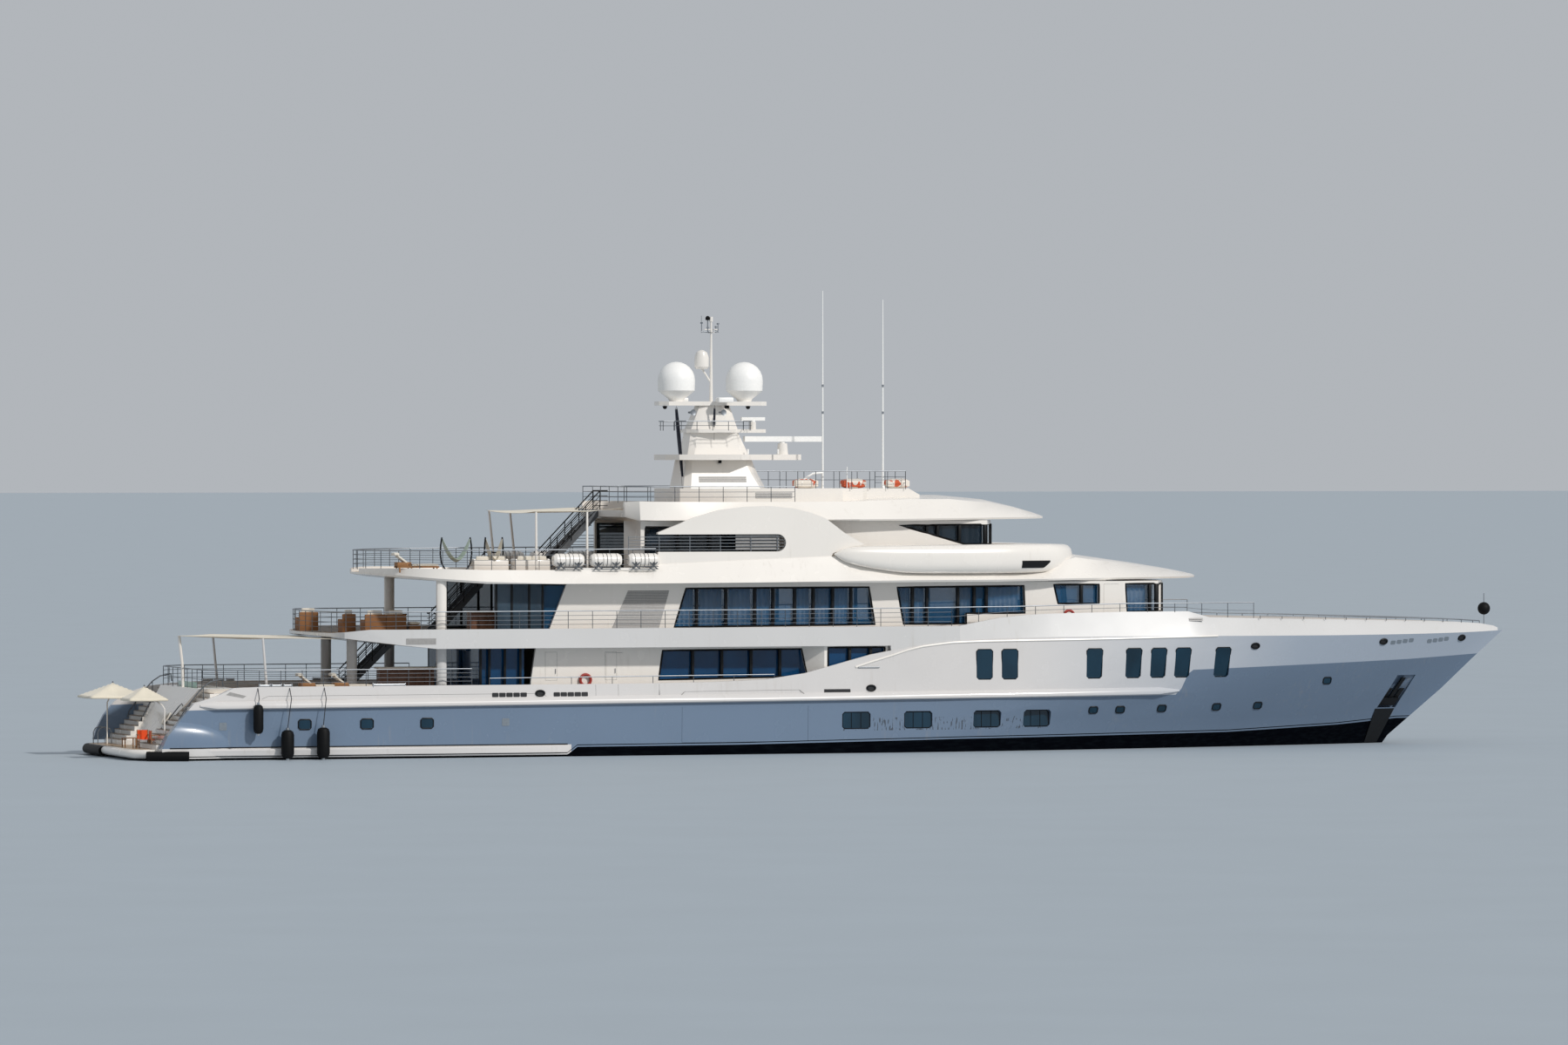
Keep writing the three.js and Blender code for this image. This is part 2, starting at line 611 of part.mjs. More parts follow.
function buildPlatform() {
  const { aft, fore, low, half } = PLATFORM;
  const corner = 0.9;
  const turn = [[corner, 0], [0.5 * corner, 0.13 * corner], [0.13 * corner, 0.5 * corner], [0, corner]];
  const port = turn.map(([x, y]) => [aft + x, half - y]);
  const starboard = port.map(([x, y]) => [x, -y]).reverse();
  const deck = slab("xy", [[fore, -half], [fore, half], ...port, ...starboard], low, PLATFORM_TOP);
  const innerHalf = WING_INNER - GAP;
  const foot = STERN_SPACE[0][1] + GAP;
  const under = block(fore - 0.1, WELL_AFT - GAP, -innerHalf, innerHalf, foot, PLATFORM_TOP);
  return join([deck, under, bentPole(PLATFORM_MAST, 0.035)]);
}

// Forecastle: the raised bulwark and the foredeck inside it, standing on the sheer line
const FORECASTLE_AFT = 5.0;
// Columns: x, height of the bulwark's top, how far it leans in
const FORE_BULWARK = [
  [5.0, 6.34, 0.12], [7.2, 6.74, 0.22], [8.7, 6.88, 0.26], [10, 6.93, 0.3], [14, 7.0, 0.34],
  [17.5, 7.0, 0.38], [18.7, 6.69, 0.34], [22, 6.6, 0.4], [26, 6.52, 0.44], [29.5, 6.43, 0.48],
  [32, 6.36, 0.5], [34, 6.29, 0.42], [35.6, 6.19, 0.26], [36.5, 6.05, 0.1], [36.75, 5.95, 0.04],
];
const FOREDECK = 5.95;

function buildForecastle() {
  const [aft, fore] = [FORE_BULWARK[0][0], FORE_BULWARK[FORE_BULWARK.length - 1][0]];
  const stations = [...SHEER.map(([x]) => x), ...FORE_BULWARK.map(([x]) => x)]
    .filter((x) => x >= aft && x <= fore)
    .sort((a, b) => a - b)
    .filter((x, k, all) => x !== all[k - 1]);
  const leanAt = (x) => readOff(FORE_BULWARK.map(([px, , lean]) => [px, lean]), x);
  const rings = stations.map((x) => {
    const low = sheerHeight(x) + GAP;
    const y = sheerBreadth(x);
    const upper = Math.max(y - leanAt(x), 0.04);
    const top = readOff(FORE_BULWARK, x);
    return [[x, -y, low], [x, -upper, top], [x, upper, top], [x, y, low]];
  });
  const body = loft(rings);
  const inner = stations.filter((x) => x > 7 && x < 35).map((x) => [
    x,
    -Math.max(sheerBreadth(x) - leanAt(x) - 0.12, 0.1),
  ]);
  const open = slab("xy", [...inner, ...inner.map(([x, y]) => [x, -y]).reverse()], FOREDECK, 9);
  const sideDeck = [4.9, 7.3].map((x) => [x, -(sheerBreadth(x) - 0.4)]);
  const link = slab("xy", [...sideDeck, ...sideDeck.map(([x, y]) => [x, -y]).reverse()], UPPER_DECK, 9);
  return cut(body, [open, link]);
}

// A house's plan: starboard points from aft to fore, mirrored to port
function planOutline(side, inset = 0) {
  const starboard = side.map(([x, y]) => [x, -(y - inset)]);
  return [...starboard, ...starboard.map(([x, y]) => [x, -y]).reverse()];
}

// Walls with nothing inside, open at the top and bottom
function walls(side, low, high, thick = WALL) {
  const outer = slab("xy", planOutline(side), low, high);
  const core = side.map(([x, y], k) => {
    const ends = k === 0 ? thick : k === side.length - 1 ? -thick : 0;
    return [x + ends, y - thick];
  });
  return cut(outer, [slab("xy", planOutline(core), low - 1, high + 1)]);
}

// Cuts one outline through both sides of a house, or through one alone
function throughBoth(outline, halfFrom = 2, halfTo = 8) {
  return [slab("xz", outline, -halfTo, -halfFrom), slab("xz", outline, halfFrom, halfTo)];
}

// Main deck house
const MAIN_HOUSE = [[-17.4, 4.75], [-3.0, 4.75], [-2.1, 5.66], [WELL_FORE - 0.02, 5.66]];
const MAIN_WINDOW = [[-10.3, 5.19], [-3.0, 5.22], [-2.77, 3.85], [-10.5, 3.73]];
const SIDE_WINDOW = [[-1.9, 3.3], [1.1, 3.3], [1.1, 5.3], [-1.9, 5.3]];
const MAIN_DOOR = { fore: -12.35, aft: -13.25, low: MAIN_DECK + 0.06, high: 5.1 };
const HOUSE_FOOT = MAIN_DECK + GAP;
const HOUSE_HEAD = UPPER_SOFFIT - GAP;

// A doorway, or the leaf inside it: a leaf lies close to its hinge, which is at its forward edge
function doorway({ aft, fore, low, high }, seam = 0, hingeGap = 0) {
  const [left, right, foot, head] = [aft + seam, fore - hingeGap, low + seam, high - seam];
  return [[left, foot], [right, foot], [right, head], [left, head]];
}

function buildMainHouse() {
  const aftOpen = block(-18, -17.1, -4.4, 4.4, MAIN_DECK - 1, 6);
  const slant = [[-17.6, 2], [-17.4, 2], [-16.8, 6], [-17.6, 6]];
  return cut(walls(MAIN_HOUSE, HOUSE_FOOT, HOUSE_HEAD), [
    aftOpen,
    slab("xz", slant, -6, 6),
    ...throughBoth(MAIN_WINDOW),
    ...throughBoth(SIDE_WINDOW),
    ...throughBoth(doorway(MAIN_DOOR)),
  ]);
}

// A hollow band of glass against the inside of a house's walls
function glazing(side, low, high) {
  return walls(side.map(([x, y]) => [x, y - WALL - GAP]), low, high, GLASS);
}

// The open doorway in the middle of a glass end wall
const AFT_DOORWAY = { half: 1.0, high: 2.2 };

function aftDoorway(x, floor, thick = GLASS) {
  const { half, high } = AFT_DOORWAY;
  return block(x - 0.1, x + thick + GLASS, -half, half, floor, floor + high);
}

function buildMainGlazing() {
  const [, , diagonal, [fore, half]] = MAIN_HOUSE;
  const side = [[-11.2, 4.75], MAIN_HOUSE[1], diagonal, [fore - WALL - GAP, half]];
  const band = glazing(side, 3.05, 5.3);
  return cut(band, [block(-11.4, -11.0, -4.4, 4.4, 2, 6)]);
}

// The saloon's glass end: a wall across the deck and a pane along each side
const SALOON = { aft: -19.8, half: 4.6, door: 1.3, thick: 0.08, track: 5.2 };

function buildSaloonScreen() {
  const { aft, half, door, thick, track } = SALOON;
  const shell = cut(block(aft, -17.46, -half, half, HOUSE_FOOT, HOUSE_HEAD), [
    block(aft + thick, -16, -(half - thick), half - thick, 2, 6),
    block(aft - 1, aft + 1, -door, door, MAIN_DECK - 1, 5.15),
  ]);
  const sill = block(aft, aft + thick, -door - 0.1, door + 0.1, HOUSE_FOOT, MAIN_DECK + 0.04);
  const head = block(aft - 0.13, aft + thick, -2 * door - 0.1, 2 * door + 0.1, track + GAP, HOUSE_HEAD);
  return join([shell, sill, head]);
}

function buildSaloonDoor(side) {
  const [y0, y1] = sided(side, 0.01, SALOON.door + 0.08);
  return block(SALOON.aft - 0.1, SALOON.aft - 0.03, y0, y1, MAIN_DECK + SEAM, SALOON.track);
}

function buildLeaf(door, half) {
  return slab("xz", doorway(door, SEAM, GAP), -half, -(half - WALL));
}

const FLIGHTS = {
  main_deck_stair: { x: -25.3, y: 1.4, run: 2.9, low: POOL_DECK, high: UPPER_DECK, half: 0.55 },
  upper_deck_stair: { x: -20.6, y: 1.4, run: 3.0, low: UPPER_DECK + 0.02, high: BRIDGE_DECK, half: 0.55 },
  bridge_deck_stair: { x: -15.0, y: 1.4, run: 3.1, low: BRIDGE_DECK, high: 12.2, half: 0.55 },
};

function stairwell({ x, y, run, high, half }) {
  return block(x + 0.3, x + run + 0.14, y - half - 0.08, y + half + 0.08, high - 1.2, high + 0.5);
}

// Upper deck: the slab that roofs the main deck, with its fascia and the columns below its aft end
const UPPER_AFT = -27.6;
const COLUMNS = [[-25.74, 2.5], [-21.8, 4.9]]; // x, half-spacing
const UPPER_EDGE = [
  [UPPER_AFT, 1.2], [-27.5, 2.6], [-27.2, 4.2], [-26.8, 5.1], [-26.1, 5.5], [-24, 5.85], [-22, 5.94],
];

const upperDeckHalf = (x) => Math.min(readOff(UPPER_EDGE, x), sheerBreadth(x));

function buildUpperDeck() {
  const xs = [...UPPER_EDGE.map(([x]) => x), -18, -12, -6, -3, 0, 2.5, FORECASTLE_AFT - GAP];
  const side = xs.map((x) => [x, upperDeckHalf(x)]);
  const plan = slab("xy", planOutline(side), 4.5, UPPER_DECK + 0.34);
  const sheerTop = SHEER.filter(([x]) => x > 1.5 && x < FORECASTLE_AFT);
  const fore = FORECASTLE_AFT;
  const under = [
    [UPPER_AFT - 1, 6.05], [UPPER_AFT, 6.02], [-26.6, 5.88], [-24.1, 5.57], [-22.3, UPPER_SOFFIT],
    [1.32, UPPER_SOFFIT], [1.34, sheerHeight(1.34) + GAP], ...sheerTop.map(([x, z]) => [x, z + GAP]),
    [fore, sheerHeight(fore) + GAP],
  ];
  const profile = [...under, [fore, 6.34], [-26.5, 6.34], [UPPER_AFT, 6.2], [UPPER_AFT - 1, 6.2]];
  const body = plan.intersect(slab("xz", profile, -7, 7));
  const floor = xs.slice(1).map((x) => [x, upperDeckHalf(x) - 0.3]);
  const open = slab("xy", planOutline(floor), UPPER_DECK + 0.02, 9);
  const aftTop = [[UPPER_AFT - 1, 6.16], [-27.2, 6.16], [-25.4, 6.36], [-25.4, 9], [UPPER_AFT - 1, 9]];
  const aftFloor = slab("xz", aftTop, -9, 9);
  const columns = COLUMNS.flatMap(([x, y]) => [column(x, -y, -22.5), column(x, y, -22.5)]);
  return join([cut(body, [open, aftFloor, stairwell(FLIGHTS.main_deck_stair)]), ...columns]);
}

// A flat-sided column from the main deck, or the pool deck aft of it, up into the upper deck
function column(x, y, poolFore) {
  const foot = (x < poolFore ? POOL_DECK : MAIN_DECK) + GAP;
  return slab("xy", ellipse(x, y, 0.27, 0.2), foot, 5.9);
}

function ellipse(x, y, a, b, points = 12) {
  return Array.from({ length: points }, (_, k) => {
    const angle = (k * 2 * Math.PI) / points;
    return [x + a * Math.cos(angle), y + b * Math.sin(angle)];
  });
}

// Upper deck house
const UPPER_HOUSE = [[-16.3, 4.6], [14.3, 4.6], [16.4, 3.95], [17.2, 2.4], [17.45, 0.8]];
const UPPER_WINDOWS = [
  [[-9.64, 6.36], [0.93, 6.42], [0.61, 8.3], [-9.03, 8.28]],
  [[2.46, 6.43], [5.8, 6.43], [5.8, 6.95], [8.95, 6.95], [8.89, 8.33], [2.12, 8.28]],
  [[10.74, 7.42], [12.95, 7.4], [12.95, 8.38], [10.51, 8.38]],
  [[14.5, 6.98], [17.0, 6.98], [17.0, 8.4], [14.4, 8.4]],
];
const UPPER_DOOR = { aft: 13.2, fore: 14.02, low: UPPER_DECK + 0.09, high: 8.4 };
const UPPER_HEAD = BRIDGE_SOFFIT - GAP;
const UPPER_FOOT = UPPER_DECK + 0.02 + GAP;

const UPPER_SPLIT = 14.2; // the rounded front is a piece of its own

// Both sides of a cut across the ship: the part aft of a place and the part forward of it
function splitAt(solid, x) {
  const aft = solid.intersect(block(-40, x - GAP / 2, -9, 9, -9, 30));
  const fore = solid.intersect(block(x + GAP / 2, 40, -9, 9, -9, 30));
  return [aft, fore];
}

const UPPER_GLASS_HEAD = 8.45;
const UPPER_LINTEL = { aft: -15.1, fore: -14.9, low: 8.46 };

// Walls with no aft return: a lintel over the way in holds the sides together
function buildUpperHouse() {
  const { aft, fore, low } = UPPER_LINTEL;
  const slant = [[-16.6, 5.9], [-16.3, 5.9], [-15.1, 8.9], [-16.6, 8.9]];
  const inner = UPPER_HOUSE[0][1] - WALL;
  const lintel = block(aft, fore, -inner - 0.1, inner + 0.1, low, UPPER_HEAD);
  const sides = cut(walls(UPPER_HOUSE, UPPER_FOOT, UPPER_HEAD), [
    ...UPPER_WINDOWS.flatMap((outline) => throughBoth(outline, 3)),
    ...throughBoth(doorway(UPPER_DOOR), 3),
    slab("xz", slant, -6, 6),
    block(-17, -15.6, -inner, inner, 5, 9),
    block(17, 18, -2.2, 2.2, 6.95, 8.4),
  ]);
  return splitAt(join([sides, lintel]), UPPER_SPLIT);
}

// The glass: a pane along each side, the bay round the front, and a screen that closes the saloon's aft end
const UPPER_SCREEN = { x: -16.5, half: 4.4 };

function buildUpperGlazing() {
  const side = [[UPPER_SCREEN.x - 1, 4.6], [14.2, 4.6], [16.15, 3.95], [16.95, 2.4], [17.2, 0.8]];
  const doors = throughBoth([[13.1, 5], [14.12, 5], [14.12, 8.42], [13.1, 8.42]], 3);
  const [panes, bay] = splitAt(cut(glazing(side, UPPER_FOOT, UPPER_GLASS_HEAD), doors), UPPER_SPLIT);
  const starboard = panes.intersect(block(UPPER_SCREEN.x + GLASS + GAP, 40, -9, 0, 5, 9));
  return [starboard, bay];
}

function buildUpperScreen() {
  const { x, half } = UPPER_SCREEN;
  const screen = block(x, x + GLASS, -half, half, UPPER_FOOT, UPPER_GLASS_HEAD);
  return cut(screen, [aftDoorway(x, UPPER_DECK)]);
}

// Decks that crown outwards are lofted along the ship. Columns: x, edge half-breadth, edge height, bulwark
// half-breadth, bulwark top, floor height
const BRIDGE_SECTIONS = [
  [-24.9, 1.0, 9.13, 0.95, 9.3, 9.12], [-24.6, 1.9, 9.1, 1.82, 9.31, 9.1],
  [-24.2, 2.75, 9.05, 2.65, 9.32, 9.1], [-23.6, 3.7, 8.98, 3.57, 9.33, 9.1],
  [-22.9, 4.5, 8.91, 4.33, 9.33, 9.1], [-22.1, 5.2, 8.84, 5.0, 9.32, 9.1],
  [-21.0, 5.62, 8.77, 5.38, 9.3, 9.1], [-19.7, 5.8, 8.68, 5.52, 9.26, 9.1],
  [-16, 5.92, 8.56, 5.55, 9.24, 9.1], [-11.2, 5.94, 8.56, 5.35, 9.25, 9.1],
  [-10.8, 5.94, 8.56, 5.3, 9.5, 9.1], [-6, 5.94, 8.58, 5.3, 9.7, 9.1],
  [-1.4, 5.92, 8.62, 5.3, 9.88, 9.1], [0.5, 5.88, 8.64, 5.2, 9.42, 9.1], [3.5, 5.78, 8.66, 5.1, 9.12, 9.1],
  [7, 5.56, 8.66, 4.9, 9.12, 9.1], [10, 5.2, 8.68, 4.4, 9.13, 9.1],
];

function deckRing([x, edge, low, bulwark, top, floor], soffit, inward) {
  const under = Math.max(soffit, low - 0.1);
  const inner = bulwark - inward;
  const side = [[x, -edge, low], [x, -bulwark, top], [x, -inner, top], [x, -(inner - 0.04), floor]];
  const mirroredSide = side.map(([px, y, z]) => [px, -y, z]).reverse();
  return [[x, -(edge - 0.06), under], ...side, ...mirroredSide, [x, edge - 0.06, under]];
}

// Columns: x, half-breadth of the edge, edge height, half-breadth and height of the shoulder, crown height
const BROW_SECTIONS = [
  [10, 5.2, 8.68, 4.4, 9.13, 9.135], [10.9, 5.05, 8.69, 4.2, 9.5, 9.7], [12, 4.85, 8.7, 3.7, 9.75, 9.98],
  [14, 4.3, 8.71, 3.1, 9.5, 9.72], [16, 3.55, 8.72, 2.4, 9.25, 9.45], [17.8, 2.6, 8.73, 1.7, 9.05, 9.18],
  [19, 1.6, 8.74, 1.0, 8.9, 8.97], [19.65, 0.6, 8.76, 0.4, 8.8, 8.84],
];

function browRing([x, edge, low, shoulder, shoulderTop, crown], soffit) {
  const under = [x, -(edge - 0.04), Math.max(low - 0.09, soffit)];
  const side = [under, [x, -edge, low], [x, -shoulder, shoulderTop], [x, -shoulder * 0.3, crown]];
  return [...side, ...side.map(([px, y, z]) => [px, -y, z]).reverse()];
}

// Poles of the bridge deck's awning, as photographed: x of foot and head, y
const BRIDGE_POLES = [
  [-16.7, -16.72, -4.2], [-14.07, -14.07, -4.2], [-16.43, -16.75, 4.2], [-15.33, -15.65, 4.2],
];

function buildBridgeDeck() {
  const deck = loft(BRIDGE_SECTIONS.map((row) => deckRing(row, BRIDGE_SOFFIT, 0.22)));
  const brow = loft(BROW_SECTIONS.map((row) => browRing(row, BRIDGE_SOFFIT)));
  const columns = [-1, 1].map((side) =>
    slab("xy", ellipse(-21.8, side * 4.9, 0.27, 0.2), UPPER_DECK + 0.02 + GAP, 9),
  );
  const stairless = cut(deck, [stairwell(FLIGHTS.upper_deck_stair)]);
  const awningPoles = BRIDGE_POLES.map(([x, headX, y]) =>
    rod([x, y, BRIDGE_DECK - 0.1], [headX, y, 12.12], AWNING_POLE, 10, 0.055),
  );
  return join([stairless, brow, ...columns, buildBridgeWing(), ...mirrored(buildRafts), ...awningPoles]);
}

// Bridge deck house: the sky lounge aft and the wheelhouse forward, behind the arched side panels
const BRIDGE_HOUSE = [[-9.4, 4.1], [0.5, 4.1], [4, 4.0], [7.3, 3.5], [7.96, 2.2], [8.1, 0.8]];
const LOUNGE_WINDOWS = [
  [-11.0, 9.25], [-9.55, 9.25], [-9.55, 9.9], [-4.2, 9.9], [-4.2, 11.3], [-11.0, 11.4],
];
const WHEELHOUSE_WINDOW = [[2.41, 11.41], [6.09, 10.43], [7.85, 10.43], [7.85, 11.44]];
const BRIDGE_FOOT = BRIDGE_DECK + GAP;
const BRIDGE_HEAD = ROOF_SOFFIT - GAP;
const BRIDGE_GLASS = { low: 9.2, high: 11.5, aft: -11.15, split: 2.2 };

// The side walls run on aft of the end wall, as screens, and the starboard one turns in beside the stair.
// The glass passes through slots in the end wall.
function buildBridgeHouse() {
  const [[aft, half]] = BRIDGE_HOUSE;
  const { low, high } = BRIDGE_GLASS;
  const screen = (side) => {
    const [y0, y1] = sided(side, half - WALL, half);
    return block(-11.25, aft + 0.01, y0, y1, BRIDGE_FOOT, BRIDGE_HEAD);
  };
  const endPanel = block(-11.25, -11.155, -half + 0.05, -1.2, BRIDGE_FOOT, BRIDGE_HEAD);
  const slot = (side) => {
    const [y0, y1] = sided(side, half - WALL - GLASS - 3 * GAP, half - WALL);
    return block(aft - 0.1, aft + WALL + 0.1, y0, y1, low - GAP, high + GAP);
  };
  return cut(join([walls(BRIDGE_HOUSE, BRIDGE_FOOT, BRIDGE_HEAD), ...mirrored(screen), endPanel]), [
    ...throughBoth(LOUNGE_WINDOWS, 3),
    ...throughBoth(WHEELHOUSE_WINDOW, 2.3),
    block(7.5, 9, -2.1, 2.1, 10.43, 11.44),
    ...mirrored(slot),
    aftDoorway(aft, BRIDGE_DECK, WALL),
  ]);
}

// A pane along each side, and the bay round the wheelhouse's front
function buildBridgeGlazing() {
  const { low, high, aft, split } = BRIDGE_GLASS;
  const side = [[aft - 1, 4.1], [0.5, 4.1], [4, 4.0], [7.1, 3.5], [7.72, 2.2], [7.85, 0.8]];
  const [panes, bay] = splitAt(glazing(side, low, high), split);
  const starboard = panes.intersect(block(aft, 9, -9, 0, 9, 12));
  return [starboard, bay];
}

// Arched side panels, with a long slot that is open at its aft end
const ARCH = { inner: 5.0, outer: 5.28, slotLow: 10.12, slotHigh: 10.99, slotEnd: -4.43 };
const ARCH_TOP = [
  [-10.71, 11.08], [-8.8, 11.83], [-7.49, 12.2], [-6.18, 12.36], [-4.86, 12.4], [-3.55, 12.27],
  [-2.67, 12.06], [-1.88, 11.77], [-0.91, 11.05], [0.15, 10.45],
];

function buildArch() {
  const { inner, outer, slotLow, slotHigh, slotEnd } = ARCH;
  const shape = new THREE.Shape();
  const foot = BRIDGE_SECTIONS.map(([x, , , , top]) => [x, top + GAP]);
  shape.moveTo(-10.7, readOff(foot, -10.7));
  shape.lineTo(-10.7, slotLow);
  shape.lineTo(slotEnd, slotLow);
  const slotHalf = (slotHigh - slotLow) / 2;
  shape.absarc(slotEnd, slotLow + slotHalf, slotHalf, -Math.PI / 2, Math.PI / 2, false);
  shape.lineTo(-10.7, slotHigh);
  ARCH_TOP.forEach(([x, z]) => shape.lineTo(x, z));
  shape.lineTo(-0.6, 10.33);
  shape.lineTo(-1.5, 10.03);
  shape.lineTo(-1.6, readOff(foot, -1.6));
  shape.lineTo(-6, readOff(foot, -6));
  return slab("xz", shape, -outer, -inner, 8);
}

// Bridge wing: the rounded bulwark that wraps round the front of the wheelhouse
// Columns: x and half-breadth of its centreline, half-thickness, bottom, top
const WING_PATH = [
  [-1.5, 5.42, 0.05, 9.95, 10.0], [-0.6, 5.44, 0.3, 9.5, 10.3], [2, 5.4, 0.42, 9.2, 10.36],
  [5, 5.3, 0.48, 9.16, 10.38], [8, 5.0, 0.5, 9.16, 10.4], [10, 4.3, 0.52, 9.16, 10.4],
  [11.2, 3.1, 0.52, 9.16, 10.38], [11.8, 1.6, 0.52, 9.18, 10.36], [11.95, 0, 0.52, 9.18, 10.36],
];

function wingRing([x, y, half, low, top], k, path) {
  const [before, after] = [path[Math.max(k - 1, 0)], path[Math.min(k + 1, path.length - 1)]];
  const run = new THREE.Vector2(after[0] - before[0], after[1] - before[1]).normalize();
  const [nx, ny] = [run.y, -run.x];
  const bend = ny > 0 ? -1 : 1;
  const height = top - low;
  const section = [[-0.8, 0], [0.35, 0], [1, 0.3], [1, 0.62], [0.55, 0.95], [0.1, 1], [-0.8, 1]];
  return section.map(([out, up]) => {
    const offset = -bend * out * half;
    return [x + nx * offset, y + ny * offset, low + up * height];
  });
}

function buildBridgeWing() {
  const port = WING_PATH;
  const starboard = WING_PATH.slice(0, -1).map(([x, y, ...rest]) => [x, -y, ...rest]).reverse();
  const path = [...port, ...starboard];
  const rings = path.map((row, k) => wingRing(row, k, path));
  return loft(rings);
}

// Sun deck roof. Columns as for the bridge deck.
const ROOF_SECTIONS = [
  [-12.0, 3.9, 11.95, 3.85, 12.6, 12.2], [-11.4, 4.55, 11.7, 4.4, 12.64, 12.2],
  [-10.6, 4.75, 11.68, 4.5, 12.62, 12.2], [-8, 4.9, 11.68, 4.5, 12.6, 12.2],
  [-3, 4.98, 11.7, 4.4, 12.6, 12.25], [0, 4.95, 11.72, 4.3, 12.62, 12.3],
];
const ROOF_BROW = [
  [0, 4.95, 11.72, 4.3, 12.62, 12.62], [3.0, 4.7, 11.74, 3.6, 12.72, 12.9],
  [5.5, 4.2, 11.76, 2.9, 12.72, 12.92], [8, 3.2, 11.78, 2.1, 12.5, 12.7],
  [9.6, 2.2, 11.79, 1.5, 12.24, 12.36], [10.8, 1.2, 11.8, 0.8, 11.98, 12.05],
  [11.4, 0.45, 11.81, 0.3, 11.84, 11.87],
];

function buildRoof() {
  const aft = loft(ROOF_SECTIONS.map((row) => deckRing(row, ROOF_SOFFIT, 0.25)));
  const brow = loft(ROOF_BROW.map((row) => browRing(row, ROOF_SOFFIT)));
  return join([cut(aft, [stairwell(FLIGHTS.bridge_deck_stair)]), brow, buildCoachRoof()]);
}

// The raised platform on the roof that carries the mast
const COACH_ROOF = { aft: -8.6, fore: 3.5, top: 13.27, half: 2.6, foot: 12.94 };

function buildCoachRoof() {
  const { aft, fore, top, half, foot } = COACH_ROOF;
  const low = 12.1;
  const plan = [[aft, half - 0.4], [aft + 1.5, half], [-0.1, half]];
  const base = slab("xy", planOutline(plan), low, top);
  const under = foot - 0.4;
  const front = [[-0.3, under], [fore + 0.6, under], [fore + 0.6, foot], [fore, top], [-0.3, top]];
  return join([base, slab("xz", front, -half + 0.3, half - 0.3)]);
}

// Mast. Trunks and platforms stand on each other, from the coach roof up.
// Columns: height, aft end, fore end, half-breadth
const LOWER_TRUNK = [[13.27, -8.1, -3.55, 1.5], [14.0, -8.0, -3.95, 1.3], [14.72, -7.9, -4.25, 1.1]];
const UPPER_TRUNK = [
  [14.98, -7.75, -4.4, 0.95], [16.05, -7.55, -4.9, 0.75], [16.28, -7.5, -4.95, 0.72],
  [17.45, -7.0, -5.35, 0.5],
];

function trunk(rows, lift) {
  const ring = ([z, aft, fore, half], k) => {
    const nose = Math.min(half, 0.6);
    const height = z + (k === 0 ? lift : 0);
    const plan = [
      [aft, -half * 0.8], [aft + 0.3, -half], [fore - nose, -half], [fore, -half * 0.35],
      [fore, half * 0.35], [fore - nose, half], [aft + 0.3, half], [aft, half * 0.8],
    ];
    return plan.map(([x, y]) => [x, y, height]);
  };
  return loft(rows.map(ring));
}

function platformPlan(aft, fore, half, noseHalf) {
  const stern = [[aft, half * 0.45], [aft + 0.5, half * 0.85], [aft + 1.4, half]];
  return planOutline([...stern, [(aft + fore) / 2, half], [fore - 1.6, noseHalf], [fore, noseHalf * 0.7]]);
}

const LOWER_PLATFORM = { low: 14.72, high: 14.98, aft: -9.0, fore: -1.6, half: 2.1, nose: 0.55 };
const RADAR_LARGE = { x: -2.47, z: 15.55, half: 2.05 };
const RADAR_SMALL = { x: -4.05, z: 16.62, half: 0.62 };

function buildLowerMast() {
  const { low, high, aft, fore, half, nose } = LOWER_PLATFORM;
  const plate = slab("xy", platformPlan(aft, fore, half, nose), low - 0.02, high);
  const { x, z } = RADAR_LARGE;
  const pedestal = rod([x, 0, high - 0.05], [x, 0, z - GAP], 0.3, 14, 0.24);
  return join([trunk(LOWER_TRUNK, GAP), plate, pedestal]);
}

function buildUpperTrunk() {
  const shaft = trunk(UPPER_TRUNK, GAP);
  const plate = slab("xy", platformPlan(-7.75, -3.45, 1.2, 0.4), 16.08, 16.26);
  const pedestal = rod([RADAR_SMALL.x, 0, 16.2], [RADAR_SMALL.x, 0, RADAR_SMALL.z - GAP], 0.16, 12);
  return join([shaft, plate, pedestal]);
}

const TOP_PLATFORM = { low: 17.45, high: 17.66, aft: -9.15, fore: -3.45, half: 0.8 };
const POLE = { x: -6.27, top: 21.75, radius: 0.09 };

function buildTopPlatform() {
  const { low, high, aft, fore, half } = TOP_PLATFORM;
  const centre = (aft + fore) / 2;
  const ends = [[aft, half * 0.5], [aft + 0.4, half], [fore - 0.4, half], [fore, half * 0.5]];
  const waist = [[centre - 1, 0.62], [centre + 1, 0.62]];
  const outline = planOutline([...ends.slice(0, 2), ...waist, ...ends.slice(2)]);
  const plate = slab("xy", outline, low + GAP, high);
  const pole = rod([POLE.x, 0, high - 0.05], [POLE.x, 0, POLE.top], POLE.radius, 10, 0.05);
  const arm = rod([POLE.x, 0, 18.6], [POLE.x - 0.5, 0, 19.35], 0.05, 8);
  const spreader = rod([POLE.x - 0.35, 0, 21.3], [POLE.x + 0.35, 0, 21.3], 0.03, 6);
  const crossTree = rod([POLE.x, -0.5, 21.15], [POLE.x, 0.5, 21.15], 0.03, 6);
  const lamp = rod([POLE.x, 0, 21.7], [POLE.x, 0, 21.95], 0.09, 10);
  const profile = [
    [0, 19.3], [0.3, 19.3], [0.37, 19.42], [0.37, 19.9], [0.28, 20.15], [0.12, 20.25], [0, 20.28],
  ];
  const dome = lathe(profile, POLE.x - 0.5, 0, 14);
  return join([plate, pole, arm, spreader, crossTree, lamp, dome]);
}

